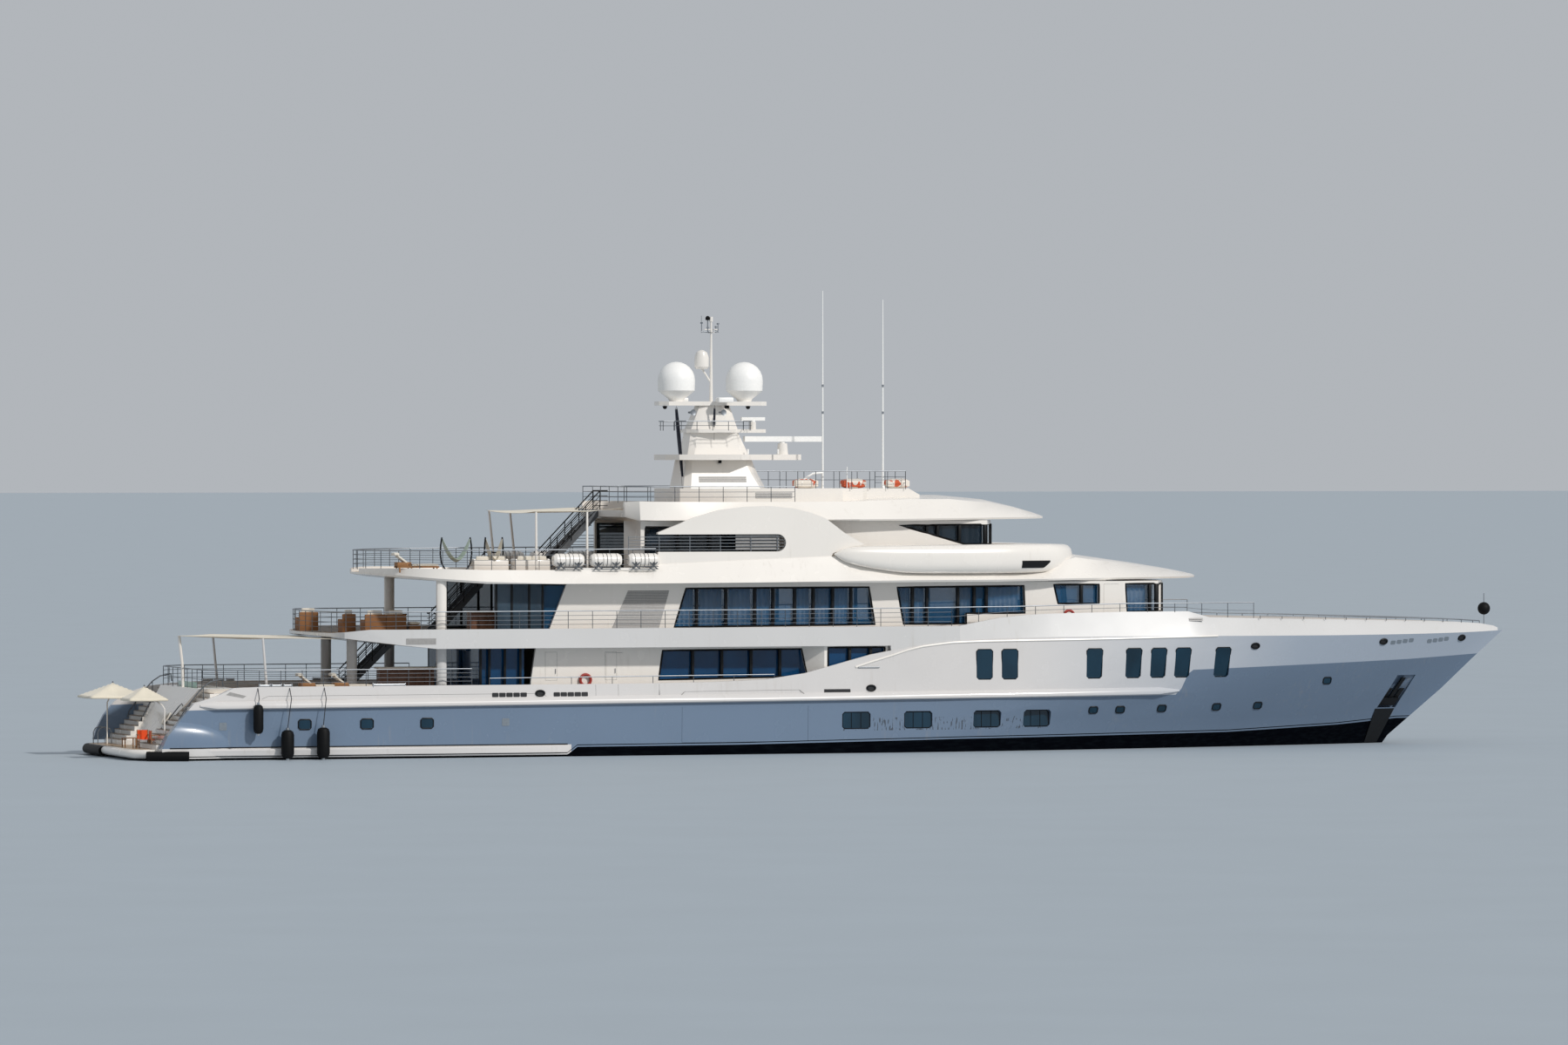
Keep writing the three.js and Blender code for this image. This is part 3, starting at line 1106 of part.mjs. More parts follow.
// A turned shape about a vertical axis, from a profile of [radius, height]
function lathe(profile, x, y, segments) {
  const points = profile.map(([radius, height]) => new THREE.Vector2(radius, height));
  const geometry = new THREE.LatheGeometry(points, segments);
  geometry.rotateX(Math.PI / 2).translate(x, y, 0);
  return facingOut(indexed(geometry));
}

function indexed(geometry) {
  const bare = geometry.clone();
  bare.deleteAttribute("normal");
  bare.deleteAttribute("uv");
  return mergeVertices(bare, 1e-5);
}

const DOME = { radius: 0.95, foot: TOP_PLATFORM.high + GAP, centre: 18.72 };

function buildDome(x) {
  const { radius, foot, centre } = DOME;
  const profile = [[0, foot], [0.35, foot], [0.42, foot + 0.14], [0.8, foot + 0.42], [0.93, foot + 0.55]];
  for (let k = 0; k <= 6; k += 1) {
    const angle = (k / 6) * (Math.PI / 2);
    profile.push([k === 6 ? 0 : radius * Math.cos(angle), centre + radius * Math.sin(angle)]);
  }
  return lathe(profile, x, 0, 24);
}

function buildRadar({ x, z, half }, depth) {
  const bar = block(x - half, x + half, -depth, depth, z + 0.08, z + 0.08 + depth * 1.7);
  const neck = rod([x, 0, z], [x, 0, z + 0.1], 0.13, 12);
  return join([bar, neck]);
}

// Outside stairs between decks: a flight of treads between two strings, up through an opening in the deck
// above
function buildFlight({ x, y, run, low, high, half }) {
  const steps = 11;
  const rise = (high - low) / (steps + 1);
  const tread = run / steps;
  const parts = [-1, 1].map((side) => {
    const head = [[x + run + 0.1, high - 0.16], [x + run + 0.1, high - GAP], [x + run - 0.1, high - GAP]];
    const line = [[x, low + GAP], [x + 0.35, low + GAP], ...head, [x, low + 0.25]];
    const edge = y + side * half;
    return slab("xz", line, edge - 0.03, edge + 0.03);
  });
  for (let k = 1; k <= steps; k += 1) {
    const place = x + (k - 0.6) * tread;
    const height = low + k * rise;
    parts.push(block(place, place + tread * 1.05, y - half, y + half, height - 0.04, height));
  }
  return join(parts);
}

// Liferaft canisters in a row of cradles on each side of the bridge deck
const RAFTS = { xs: [-15.4, -13.45, -11.5], y: 5.35, z: 9.72, radius: 0.34, half: 0.78 };

function buildRafts(side) {
  const { xs, y, z, radius, half } = RAFTS;
  const centre = side * y;
  const parts = [block(xs[0] - 0.6, xs[2] + 0.6, centre - 0.14, centre + 0.14, 9.2, 9.34)];
  xs.forEach((x) => {
    parts.push(rod([x - half, centre, z], [x - half + 0.15, centre, z], radius * 0.75, 16, radius));
    parts.push(rod([x - half + 0.149, centre, z], [x + half - 0.149, centre, z], radius, 16));
    parts.push(rod([x + half - 0.15, centre, z], [x + half, centre, z], radius, 16, radius * 0.75));
    [-0.42, 0.42].forEach((shift) => {
      parts.push(block(x + shift - 0.05, x + shift + 0.05, centre - 0.12, centre + 0.12, 9.3, z));
    });
  });
  return join(parts);
}

function buildAnchor() {
  const { low, high } = ANCHOR;
  const part = (z0, z1, span, out) => {
    return loft([low + z0, low + z1].map((z) => pocketRing(STARBOARD, z, span, out)));
  };
  const shank = part(0.3, high - low - 0.15, [0.5, 0.7], [0.06, 0.26]);
  const crown = part(0.1, 0.5, [0.15, 1.05], [GAP, 0.34]);
  const flukes = [[0.15, 0.38], [0.82, 1.05]].map((span) => part(0.4, 1.0, span, [0.04, 0.2]));
  return join([shank, crown, ...flukes]);
}

// Awnings: taut sheets over the poles' heads, as the points round their lower face
const SHEET = 0.03;
const AFT_AWNING = [
  [-34.0, -0.09, 5.9708], [-30.92, -4.7, 5.9498], [-26.62, -4.6, 5.846], [-27.3, -2.4, 5.88],
  [-27.3, 2.4, 5.88], [-26.62, 4.6, 5.846], [-31.16, 4.7, 5.9494], [-34.0, 0.09, 5.9708],
];
const BRIDGE_AWNING = [
  [-16.75, -0.6, 12.02], [-16.83, -4.3, 12.1326], [-15.3, -3.75, 12.06], [-13.97, -4.3, 12.1326],
  [-12 - GAP, -3.6, 12.3], [-13.55, -0.4, 12.14], [-13.55, 0.4, 12.14], [-12 - GAP, 3.6, 12.3],
  [-15.56, 4.3, 12.1326], [-16.1, 4.0, 12.08], [-16.86, 4.3, 12.1402], [-16.75, 0.6, 12.02],
];

function buildAwning(low) {
  return loft([low, low.map(([x, y, z]) => [x, y, z + SHEET])]);
}

// A square parasol: four slopes up to a point, open below, with a hub that rests on the mast
const PARASOLS = {
  parasol_port: { x: -36.64, y: 2.75, half: 1.46, rim: 2.95, top: 3.62 },
  parasol_starboard: { x: -36.46, y: -3.2, half: 0.97, rim: 2.97, top: 3.6 },
};

function buildParasol({ x, y, half, rim, top }) {
  const cone = (foot, tip, side) => {
    const shape = new THREE.ConeGeometry(side * Math.SQRT2, tip - foot, 4, 1);
    shape.rotateY(Math.PI / 4).rotateX(Math.PI / 2).translate(x, y, (foot + tip) / 2);
    return solidOf(shape);
  };
  const thick = 0.06;
  const drop = 0.1;
  const inner = half - thick;
  const rimBlock = block(x - half, x + half, y - half, y + half, rim - drop, rim);
  const below = block(x - inner, x + inner, y - inner, y + inner, rim - 1, rim);
  const shape = join([cone(rim - GAP, top, half), rimBlock]);
  const canopy = cut(shape, [below, cone(rim - 0.01, top - thick, inner)]);
  return join([canopy, rod([x, y, HUB_FOOT], [x, y, top - thick / 2], 0.08, 12)]);
}

// Fenders that hang along the starboard quarter: x, y, foot, head, radius
const FENDERS = [
  [-31.5, -6.3747, 1.29, 2.74, 0.25],
  [-30.05, -6.4788, 0.06, 1.49, 0.32],
  [-28.25, -6.5016, 0.06, 1.6, 0.32],
];

function buildFender([x, y, foot, head, radius]) {
  const profile = [
    [0, foot], [radius * 0.5, foot + 0.02], [radius * 0.85, foot + 0.1], [radius, foot + 0.26],
    [radius, head - 0.26], [radius * 0.85, head - 0.1], [radius * 0.5, head - 0.02], [0, head],
  ];
  return lathe(profile, x, y, 18);
}

// The tall whip antenna on the coach roof
const WHIP = { x: -0.98, y: -2, foot: COACH_ROOF.top + GAP, head: 23.26 };

function buildWhip() {
  const { x, y, foot, head } = WHIP;
  return rod([x, y, foot], [x, y, head], 0.055, 8, 0.02);
}

// The yacht
addPiece("hull", "hull_paint", buildHull());
addPiece("swim_platform", "white_paint", buildPlatform());
addPiece("transom", "white_paint", buildTransom());
addPiece("transom_door", "white_paint", buildTransomDoor());
addPiece("forecastle", "white_paint", buildForecastle());
addPiece("main_deck_house", "white_paint", buildMainHouse());
addPiece("main_deck_glazing", "dark_glass", buildMainGlazing());
addPiece("saloon_screen", "dark_glass", buildSaloonScreen());
addPiece("upper_deck", "white_paint", buildUpperDeck());
const [upperHouse, upperHouseFront] = buildUpperHouse();
addPiece("upper_deck_house", "white_paint", upperHouse);
addPiece("upper_deck_house_front", "white_paint", upperHouseFront);
const [upperGlass, upperGlassFront] = buildUpperGlazing();
addPiece("upper_deck_glazing_front", "dark_glass", upperGlassFront);
addPiece("upper_deck_screen", "dark_glass", buildUpperScreen());
addPiece("bridge_deck", "white_paint", buildBridgeDeck());
addPiece("bridge_house", "white_paint", buildBridgeHouse());
const [loungeGlass, wheelhouseGlass] = buildBridgeGlazing();
addPiece("bridge_glazing_front", "dark_glass", wheelhouseGlass);
addPiece("sun_deck_roof", "white_paint", buildRoof());
addPiece("mast_lower", "white_paint", buildLowerMast());
addPiece("mast_upper_trunk", "white_paint", buildUpperTrunk());
addPiece("mast_top_platform", "white_paint", buildTopPlatform());
addPiece("dome_aft", "antenna_white", buildDome(-8.11));
addPiece("dome_fore", "antenna_white", buildDome(-4.51));
addPiece("radar_large", "antenna_white", buildRadar(RADAR_LARGE, 0.16));
addPiece("radar_small", "antenna_white", buildRadar(RADAR_SMALL, 0.1));
addPiece("bow_thruster", "bronze", buildThruster());
Object.entries(FLIGHTS).forEach(([name, flight]) => addPiece(name, "steel", buildFlight(flight)));

addPiece("awning_aft", "canvas", buildAwning(AFT_AWNING));
addPiece("awning_bridge", "canvas", buildAwning(BRIDGE_AWNING));
Object.entries(PARASOLS).forEach(([name, parasol]) => addPiece(name, "canvas", buildParasol(parasol)));
FENDERS.forEach((fender, k) => addPiece(`fender_${k + 1}`, "rubber", buildFender(fender)));
addPiece("whip_antenna", "antenna_white", buildWhip());

const doorOf = (side) => bareHull().intersect(garageSpace(side, SEAM, GAP, GARAGE.thick));
[["starboard", STARBOARD], ["port", PORT]].forEach(([word, side]) => {
  addPiece(`garage_door_${word}`, "hull_paint", doorOf(STARBOARD), side);
  addPiece(`main_side_door_${word}`, "white_paint", buildLeaf(MAIN_DOOR, 4.75), side);
  addPiece(`upper_side_door_${word}`, "white_paint", buildLeaf(UPPER_DOOR, 4.6), side);
  addPiece(`saloon_door_${word}`, "dark_glass", buildSaloonDoor(STARBOARD), side);
  addPiece(`upper_deck_glazing_${word}`, "dark_glass", upperGlass, side);
  addPiece(`bridge_glazing_${word}`, "dark_glass", loungeGlass, side);
  addPiece(`arch_${word}`, "white_paint", buildArch(), side);
  addPiece(`shaft_${word}`, "steel", buildShaft(STARBOARD), side);
  addPiece(`propeller_${word}`, "bronze", buildPropeller(STARBOARD), side);
  addPiece(`rudder_${word}`, "hull_paint", buildRudder(STARBOARD), side);
  addPiece(`stabiliser_fin_${word}`, "hull_paint", buildFin(STARBOARD), side);
  addPiece(`anchor_${word}`, "steel", buildAnchor(), side);
});

export default yacht;
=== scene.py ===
"""The looks of a half-scale model of a 74 m displacement motor yacht, dressed round its packed construction.

Every table below is in metres of the full-size yacht, in the model's own frame: +X forward, +Y port, +Z up,
with the origin amidships on the waterline. finish_piece scales a piece to the model.
"""

import math

import bmesh
import bpy
from mathutils import Matrix, Vector
from mathutils.bvhtree import BVHTree


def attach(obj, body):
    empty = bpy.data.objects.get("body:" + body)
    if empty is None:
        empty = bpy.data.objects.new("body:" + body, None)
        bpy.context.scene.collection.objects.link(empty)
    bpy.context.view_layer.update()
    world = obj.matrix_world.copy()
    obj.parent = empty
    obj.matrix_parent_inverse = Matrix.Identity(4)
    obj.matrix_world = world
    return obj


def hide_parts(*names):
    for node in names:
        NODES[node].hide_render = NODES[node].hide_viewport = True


bl_info = {
    "name": "Motor yacht dressing",
    "version": (1, 0, 0),
    "blender": (4, 5, 0),
    "location": "View3D > Sidebar > Yacht",
    "description": "Dresses a motor yacht's construction with finishes, glazing, rails, fittings and cloth",
    "category": "Object",
}

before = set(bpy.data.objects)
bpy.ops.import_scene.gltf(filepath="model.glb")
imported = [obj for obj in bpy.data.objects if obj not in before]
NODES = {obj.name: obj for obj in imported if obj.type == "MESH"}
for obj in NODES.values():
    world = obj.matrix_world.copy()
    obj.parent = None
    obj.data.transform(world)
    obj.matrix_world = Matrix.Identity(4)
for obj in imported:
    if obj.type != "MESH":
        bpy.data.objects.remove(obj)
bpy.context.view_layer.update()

MODEL_SCALE = 0.5  # metres of the model for one metre of the yacht
SHELLS = {}  # surfaces of construction nodes, by the nodes' names
FINISHED = {}  # materials that are made, by their names in FINISHES

# Deck heights
MAIN_DECK = 2.9
POOL_DECK = 3.25
UPPER_DECK = 6.02
UPPER_DECK_AFT = 6.16
BRIDGE_DECK = 9.1
SUN_DECK = 12.2
FOREDECK = 5.95
FOREDECK_RAISED = 6.0
PLATFORM_TOP = 0.55

# How the photograph was taken: camera place and lens in the model's metres
CAMERA_PLACE = (-65.2, -196.99, 7.4)
CAMERA_AZIMUTH = math.radians(-18)
CAMERA_TILT = math.radians(90 - 0.4526)
CAMERA_LENS = 187.36


def linear(hex_colour):
    """An sRGB hex colour as linear red, green, blue and alpha."""
    parts = [int(hex_colour[i : i + 2], 16) / 255 for i in (0, 2, 4)]
    return (*(c / 12.92 if c <= 0.04045 else ((c + 0.055) / 1.055) ** 2.4 for c in parts), 1.0)


def size_property(name, description, default):
    return bpy.props.FloatProperty(
        name=name, description=description, default=default, min=0.0, unit="LENGTH"
    )


def colour_property(name, description, hex_colour):
    return bpy.props.FloatVectorProperty(
        name=name, description=description, default=linear(hex_colour), size=4, min=0, max=1, subtype="COLOR"
    )


class YachtSizes(bpy.types.PropertyGroup):
    """Sizes in metres of the full-size yacht."""

    rail_radius: size_property("Rail radius", "Radius of a handrail's top bar", 0.026)
    bar_radius: size_property("Bar radius", "Radius of the bars below a handrail", 0.014)
    post_spacing: size_property("Post spacing", "Distance between two posts of a rail", 1.5)
    plank_width: size_property("Plank width", "Width of a teak plank with its caulking, as drawn", 0.16)
    frame_width: size_property("Window frame", "Radius of the black edge round a window", 0.05)
    curtain_wave: size_property("Curtain wave", "Distance between two folds of a curtain", 0.26)
    seam_width: size_property("Panel seam", "Width of the dark line between two panels", 0.02)


class YachtColours(bpy.types.PropertyGroup):
    """Colours of the main finishes."""

    superstructure: colour_property("Superstructure", "Warm white topcoat above the sheer", "F2EDE6")
    # Painted shade: a greyer copy of the superstructure's white, so that the upper deck's edge and the bow
    # read as shaded
    low_decks: colour_property("Low decks", "Greyer white of the upper deck's edge and the bow", "D4D3D2")
    topsides: colour_property("Topsides", "White topcoat of the hull above the rubbing strake", "DAD7D5")
    lower_side: colour_property("Lower side", "Blue-grey topcoat below the rubbing strake", "6F8299")
    boot_stripe: colour_property("Boot stripe", "Black band above the waterline", "07090E")
    glass: colour_property("Glass", "Blue tint of the windows", "2C6C9C")
    teak: colour_property("Teak", "Weathered deck planks", "A98B66")
    canvas: colour_property("Canvas", "Awnings and parasols", "EFE6D2")
    cushion: colour_property("Cushions", "Cream seat covers", "EDE6D8")


def sizes():
    return bpy.context.scene.yacht_sizes


def colours():
    return bpy.context.scene.yacht_colours


# Materials


def set_input(tree, node, name, value):
    """Gives a node's input a value, or links another node's output to it."""
    if isinstance(value, bpy.types.NodeSocket):
        tree.links.new(value, node.inputs[name])
    else:
        node.inputs[name].default_value = value


def add_node(tree, kind, inputs=None, stops=None, **settings):
    """A node with its settings. An input is a value, or another node's output to link. Stops fill a ramp."""
    node = tree.nodes.new(kind)
    for key, value in settings.items():
        setattr(node, key, value)
    for name, value in (inputs or {}).items():
        set_input(tree, node, name, value)
    if stops:
        elements = node.color_ramp.elements
        while len(elements) < len(stops):
            elements.new(1.0)
        for element, (place, colour) in zip(elements, stops):
            element.position = place
            element.color = colour
    return node


def start_material(name, roughness, **inputs):
    """A new material with only its shader, and its Object coordinates in the model's metres."""
    made = bpy.data.materials.new(name)
    made.use_nodes = True
    tree = made.node_tree
    tree.nodes.clear()
    shader = add_node(tree, "ShaderNodeBsdfPrincipled", {"Roughness": roughness, **inputs})
    add_node(tree, "ShaderNodeOutputMaterial", {"Surface": shader.outputs[0]})
    place = add_node(tree, "ShaderNodeTexCoord").outputs["Object"]
    return made, tree, shader, place


def mixed(tree, share, first, second):
    """Two colours mixed by a share, each a value or an output."""
    return add_node(tree, "ShaderNodeMix", {0: share, 6: first, 7: second}, data_type="RGBA").outputs[2]


def maths(tree, operation, first, second=0.0, third=0.0):
    return add_node(tree, "ShaderNodeMath", {0: first, 1: second, 2: third}, operation=operation).outputs[0]


def product(tree, first, second):
    return maths(tree, "MULTIPLY", first, second)


def split_axes(tree, vector):
    """The x, y and z of a vector's output."""
    return add_node(tree, "ShaderNodeSeparateXYZ", {0: vector}).outputs


def noise(tree, place, grain_m, detail=4.0, stretch=(1, 1, 1)):
    """Noise with grains of that size in the model's metres, drawn out by a stretch."""
    scale = tuple(1 / (grain_m * s) for s in stretch)
    spread = add_node(tree, "ShaderNodeMapping", {"Vector": place, "Scale": scale}).outputs[0]
    return add_node(tree, "ShaderNodeTexNoise", {"Vector": spread, "Scale": 1.0, "Detail": detail}).outputs[0]


def ramp(tree, value, *stops, mode="LINEAR"):
    """A value's place among stops of (value, colour)."""
    node = add_node(tree, "ShaderNodeValToRGB", {"Fac": value}, stops)
    node.color_ramp.interpolation = mode
    return node.outputs[0]


def grey(level):
    return (level, level, level, 1.0)


def add_bump(tree, shader, height, depth_m):
    made = add_node(tree, "ShaderNodeBump", {"Height": height, "Distance": depth_m, "Strength": 1.0})
    set_input(tree, shader, "Normal", made.outputs[0])


def darker(colour, share):
    """A colour at a share of its brightness."""
    return (*(c * share for c in colour[:3]), colour[3])


def shaded_down(tree, colour, share):
    """A colour, or an output that gives one, at a share of its brightness."""
    if not isinstance(colour, bpy.types.NodeSocket):
        return darker(colour, share)
    return mixed(tree, 1 - share, colour, grey(0))


def clouded(tree, pattern, low, high, colour, share):
    """A colour that darkens to a share of itself as a pattern rises from one value to another."""
    cover = ramp(tree, pattern, (low, grey(0)), (high, grey(1)))
    return mixed(tree, cover, colour, shaded_down(tree, colour, share))


def paint_colour(tree, place, colour):
    """A sprayed topcoat's colour: faint clouds, and dirty runs that hang down from ledges and scuppers."""
    clean = clouded(tree, noise(tree, place, 2.4, 3), 0.35, 0.7, colour, 0.95)
    runs = ramp(tree, noise(tree, place, 0.10, 5, (1, 1, 11)), (0.56, grey(0)), (0.74, grey(0.22)))
    patches = ramp(tree, noise(tree, place, 1.3, 2), (0.5, grey(0)), (0.68, grey(1)))
    return mixed(tree, product(tree, runs, patches), clean, linear("A59A88"))


def teak_colour(tree, place, width_m):
    """Teak planks that run fore and aft, with black caulking. Planks are drawn twice as wide as real ones."""
    across = maths(tree, "DIVIDE", split_axes(tree, place)[1], width_m)
    stops = ((0.0, grey(1)), (0.1, grey(0)), (0.9, grey(0)))
    caulk = ramp(tree, maths(tree, "FRACT", across), *stops, mode="CONSTANT")
    number = maths(tree, "FLOOR", across)
    plank = add_node(tree, "ShaderNodeTexWhiteNoise", {"W": number}, noise_dimensions="1D").outputs["Value"]
    grain = ramp(tree, noise(tree, place, 0.03, 6, (14, 1, 1)), (0.3, grey(0.35)), (0.7, grey(0)))
    base = colours().teak[:]
    toned = mixed(tree, plank, darker(base, 0.82), darker(base, 1.12))
    grained = mixed(tree, grain, toned, linear("6E5638"))
    return mixed(tree, caulk, grained, linear("2A241E")), caulk


DECK_SLACK = 0.02  # how far a face may lie from its deck's height
LEVEL_FACING = 0.985  # the upward part of a level face's normal, at least


def deck_share(tree, place, levels):
    """One where a surface faces up at a deck's height, else zero."""
    height = split_axes(tree, place)[2]
    facing = add_node(tree, "ShaderNodeNewGeometry").outputs["True Normal"]
    up = maths(tree, "GREATER_THAN", split_axes(tree, facing)[2], LEVEL_FACING)
    total = None
    for level in levels:
        near = maths(tree, "COMPARE", height, level * MODEL_SCALE, DECK_SLACK * MODEL_SCALE)
        total = near if total is None else maths(tree, "MAXIMUM", total, near)
    return product(tree, up, total)


PAINT_COAT = 0.35
PAINT_ROUGHNESS = (0.2, 0.32)
TEAK_ROUGHNESS = 0.72
CAULK_DEPTH_M = 0.002


def painted(name, colour, levels=(), hull=False):
    """Sprayed two-part topcoat, polished: a clear gloss over an even colour, with teak laid on its decks."""
    inputs = {"IOR": 1.5, "Coat Weight": PAINT_COAT, "Coat Roughness": 0.08}
    made, tree, shader, place = start_material(name, 0.24, **inputs)
    shade = paint_colour(tree, place, colour)
    if hull:
        shade, matt = hull_bands(tree, place, shade)
        gloss = product(tree, maths(tree, "SUBTRACT", 1.0, matt), PAINT_COAT)
        set_input(tree, shader, "Coat Weight", gloss)
        set_input(tree, shader, "Specular IOR Level", gloss)
    smooth, rubbed = PAINT_ROUGHNESS
    wear = {"Value": noise(tree, place, 0.5, 3), "To Min": smooth, "To Max": rubbed}
    rough = add_node(tree, "ShaderNodeMapRange", wear).outputs[0]
    if levels:
        share = deck_share(tree, place, levels)
        teak, caulk = teak_colour(tree, place, sizes().plank_width * MODEL_SCALE)
        shade = mixed(tree, share, shade, teak)
        rough = maths(tree, "MAXIMUM", rough, product(tree, share, TEAK_ROUGHNESS))
        add_bump(tree, shader, product(tree, product(tree, caulk, share), -1.0), CAULK_DEPTH_M)
    set_input(tree, shader, "Base Color", shade)
    set_input(tree, shader, "Roughness", rough)
    return made


# Columns: place along the ship, height of the boot stripe's top edge
BOOT_STRIPE = (
    (-38, 0.16), (-15.5, 0.16), (-15.2, 0.54), (-6.6, 0.56), (4.9, 0.72), (20.5, 0.83), (27.2, 1.08),
    (31, 1.35),
)


# Columns: place along the ship, height where the white bulwark meets the blue-grey side
SIDE_SPLIT = ((-38, 2.36), (-34.3, 2.46), (17.1, 2.74), (17.6, 4.0), (31, 4.38), (38, 4.7))
# Columns: aft end, fore end and middle height of the scuffs that fenders have left
SCUFFS = ((-1.2, 9.6, 1.45),)
SCUFF_HALF_HEIGHT = 0.32
# Between these places along the ship, the blue-grey side darkens with painted shade and the white above it
# turns to a painted blue-grey shade, where the bow's flare turns away from the light
SIDE_PAINTED_SHADE = (-5, 26)
SHOULDER_PAINTED_SHADE = (8, 24)
# The white sponson along each quarter
SPONSON_FORE = -15.4
SPONSON_TOP = 0.6


def along_ship(tree, split, aft, fore):
    """Zero aft of a place along the ship, rising to one at a place further forward."""
    ends = {"From Min": aft * MODEL_SCALE, "From Max": fore * MODEL_SCALE}
    return add_node(tree, "ShaderNodeMapRange", {"Value": split[0], **ends}).outputs[0]


def height_above(tree, split, table):
    """How far a place is above a line along the ship, in the model's metres."""
    first, last = table[0][0], table[-1][0]
    stops = [((x - first) / (last - first), grey(height * MODEL_SCALE)) for x, height in table]
    return maths(tree, "SUBTRACT", split[2], ramp(tree, along_ship(tree, split, first, last), *stops))


def scuffed(tree, place, split, shade):
    """Short black strokes up and down the side, where fenders have rubbed the paint."""
    strokes = noise(tree, place, 0.045, 3, (1, 1, 5))
    marks = ramp(tree, strokes, (0.57, grey(0)), (0.62, grey(0.85)))
    for x0, x1, z in SCUFFS:
        middle, reach = (x0 + x1) / 2 * MODEL_SCALE, (x1 - x0) / 2 * MODEL_SCALE
        along = maths(tree, "COMPARE", split[0], middle, reach)
        high = maths(tree, "COMPARE", split[2], z * MODEL_SCALE, SCUFF_HALF_HEIGHT * MODEL_SCALE)
        shade = mixed(tree, product(tree, product(tree, along, high), marks), shade, linear("3A4048"))
    return shade


def hull_bands(tree, place, shade):
    """A blue-grey side below the white, both with painted shade towards the bow, and a black band with a thin
    line over it, and where these are.
    """
    split = split_axes(tree, place)
    base = colours().lower_side[:]
    # Painted shade: the blue-grey side darkens towards the bow
    side = mixed(tree, along_ship(tree, split, *SIDE_PAINTED_SHADE), base, darker(base, 0.82))
    side = scuffed(tree, place, split, paint_colour(tree, place, side))
    # Painted shade: the white above the side turns blue-grey towards the bow
    shade = mixed(tree, along_ship(tree, split, *SHOULDER_PAINTED_SHADE), shade, linear("A7B1BE"))
    bulwark = ramp(tree, height_above(tree, split, SIDE_SPLIT), (0.0, grey(0)), (0.012, grey(1)))
    aft = maths(tree, "LESS_THAN", split[0], SPONSON_FORE * MODEL_SCALE)
    low = maths(tree, "LESS_THAN", split[2], SPONSON_TOP * MODEL_SCALE)
    shade = mixed(tree, maths(tree, "MAXIMUM", bulwark, product(tree, aft, low)), side, shade)
    above = height_above(tree, split, BOOT_STRIPE)
    band = maths(tree, "LESS_THAN", above, -0.07 * MODEL_SCALE)
    line = maths(tree, "COMPARE", above, 0.03 * MODEL_SCALE, 0.022 * MODEL_SCALE)
    dark = maths(tree, "MAXIMUM", band, line)
    wet = ramp(tree, noise(tree, place, 0.06, 4, (6, 1, 1)), (0.45, grey(0)), (0.75, grey(0.5)))
    black = mixed(tree, wet, colours().boot_stripe[:], linear("151A1F"))
    return mixed(tree, dark, shade, black), dark


def tinted_glass(name, colour, alpha):
    """Toughened float glass, tinted: hard mirror gloss, and a faint view of what is behind it."""
    inputs = {"IOR": 1.45, "Specular IOR Level": 0.35, "Alpha": alpha}
    made, tree, shader, place = start_material(name, 0.05, **inputs)
    cloud = noise(tree, place, 0.9, 3, (1, 1, 2))
    set_input(tree, shader, "Base Color", clouded(tree, cloud, 0.3, 0.7, colour, 0.55))
    return made


def metal(name, colour, roughness):
    """Bare metal, polished or ground: bright, with soft streaks from the wheel."""
    made, tree, shader, place = start_material(name, roughness, Metallic=1.0)
    streak = noise(tree, place, 0.02, 4, (8, 1, 1))
    set_input(tree, shader, "Base Color", clouded(tree, streak, 0.3, 0.7, colour, 0.78))
    add_bump(tree, shader, streak, 0.0004)
    return made


def plain(name, colour, roughness, spot=0.85, grain_m=0.05, specular=0.5):
    """Moulded, painted or woven stuff: an even colour with fine mottling and a slight tooth."""
    made, tree, shader, place = start_material(name, roughness, **{"Specular IOR Level": specular})
    mottle = noise(tree, place, grain_m, 5)
    set_input(tree, shader, "Base Color", clouded(tree, mottle, 0.35, 0.7, colour, spot))
    add_bump(tree, shader, mottle, 0.0006)
    return made


def woven(name, colour, thread_m, sheen=0.3):
    """Cloth: crossing sets of threads, drawn about four times as coarse as real ones so that they show."""
    made, tree, shader, place = start_material(name, 0.85, **{"Sheen Weight": sheen})
    turns = 2 * math.pi / thread_m
    waves = [maths(tree, "SINE", product(tree, axis, turns)) for axis in split_axes(tree, place)]
    weave = product(tree, maths(tree, "ADD", waves[0], waves[1]), waves[2])
    cloud = noise(tree, place, 0.6, 3)
    set_input(tree, shader, "Base Color", clouded(tree, cloud, 0.3, 0.75, colour, 0.86))
    add_bump(tree, shader, weave, 0.0004)
    return made


def patched(name, colour, second, patch_m):
    """Coated cloth in two colours, in broad patches like the panels of a folded cover."""
    made, tree, shader, place = start_material(name, 0.7)
    panels = ramp(tree, noise(tree, place, patch_m, 1), (0.52, grey(0)), (0.55, grey(1)))
    set_input(tree, shader, "Base Color", mixed(tree, panels, colour, linear(second)))
    return made


HIGH_DECKS = (UPPER_DECK, UPPER_DECK_AFT, BRIDGE_DECK, SUN_DECK, FOREDECK, FOREDECK_RAISED)
LOW_DECKS = (UPPER_DECK, UPPER_DECK_AFT, FOREDECK, FOREDECK_RAISED)

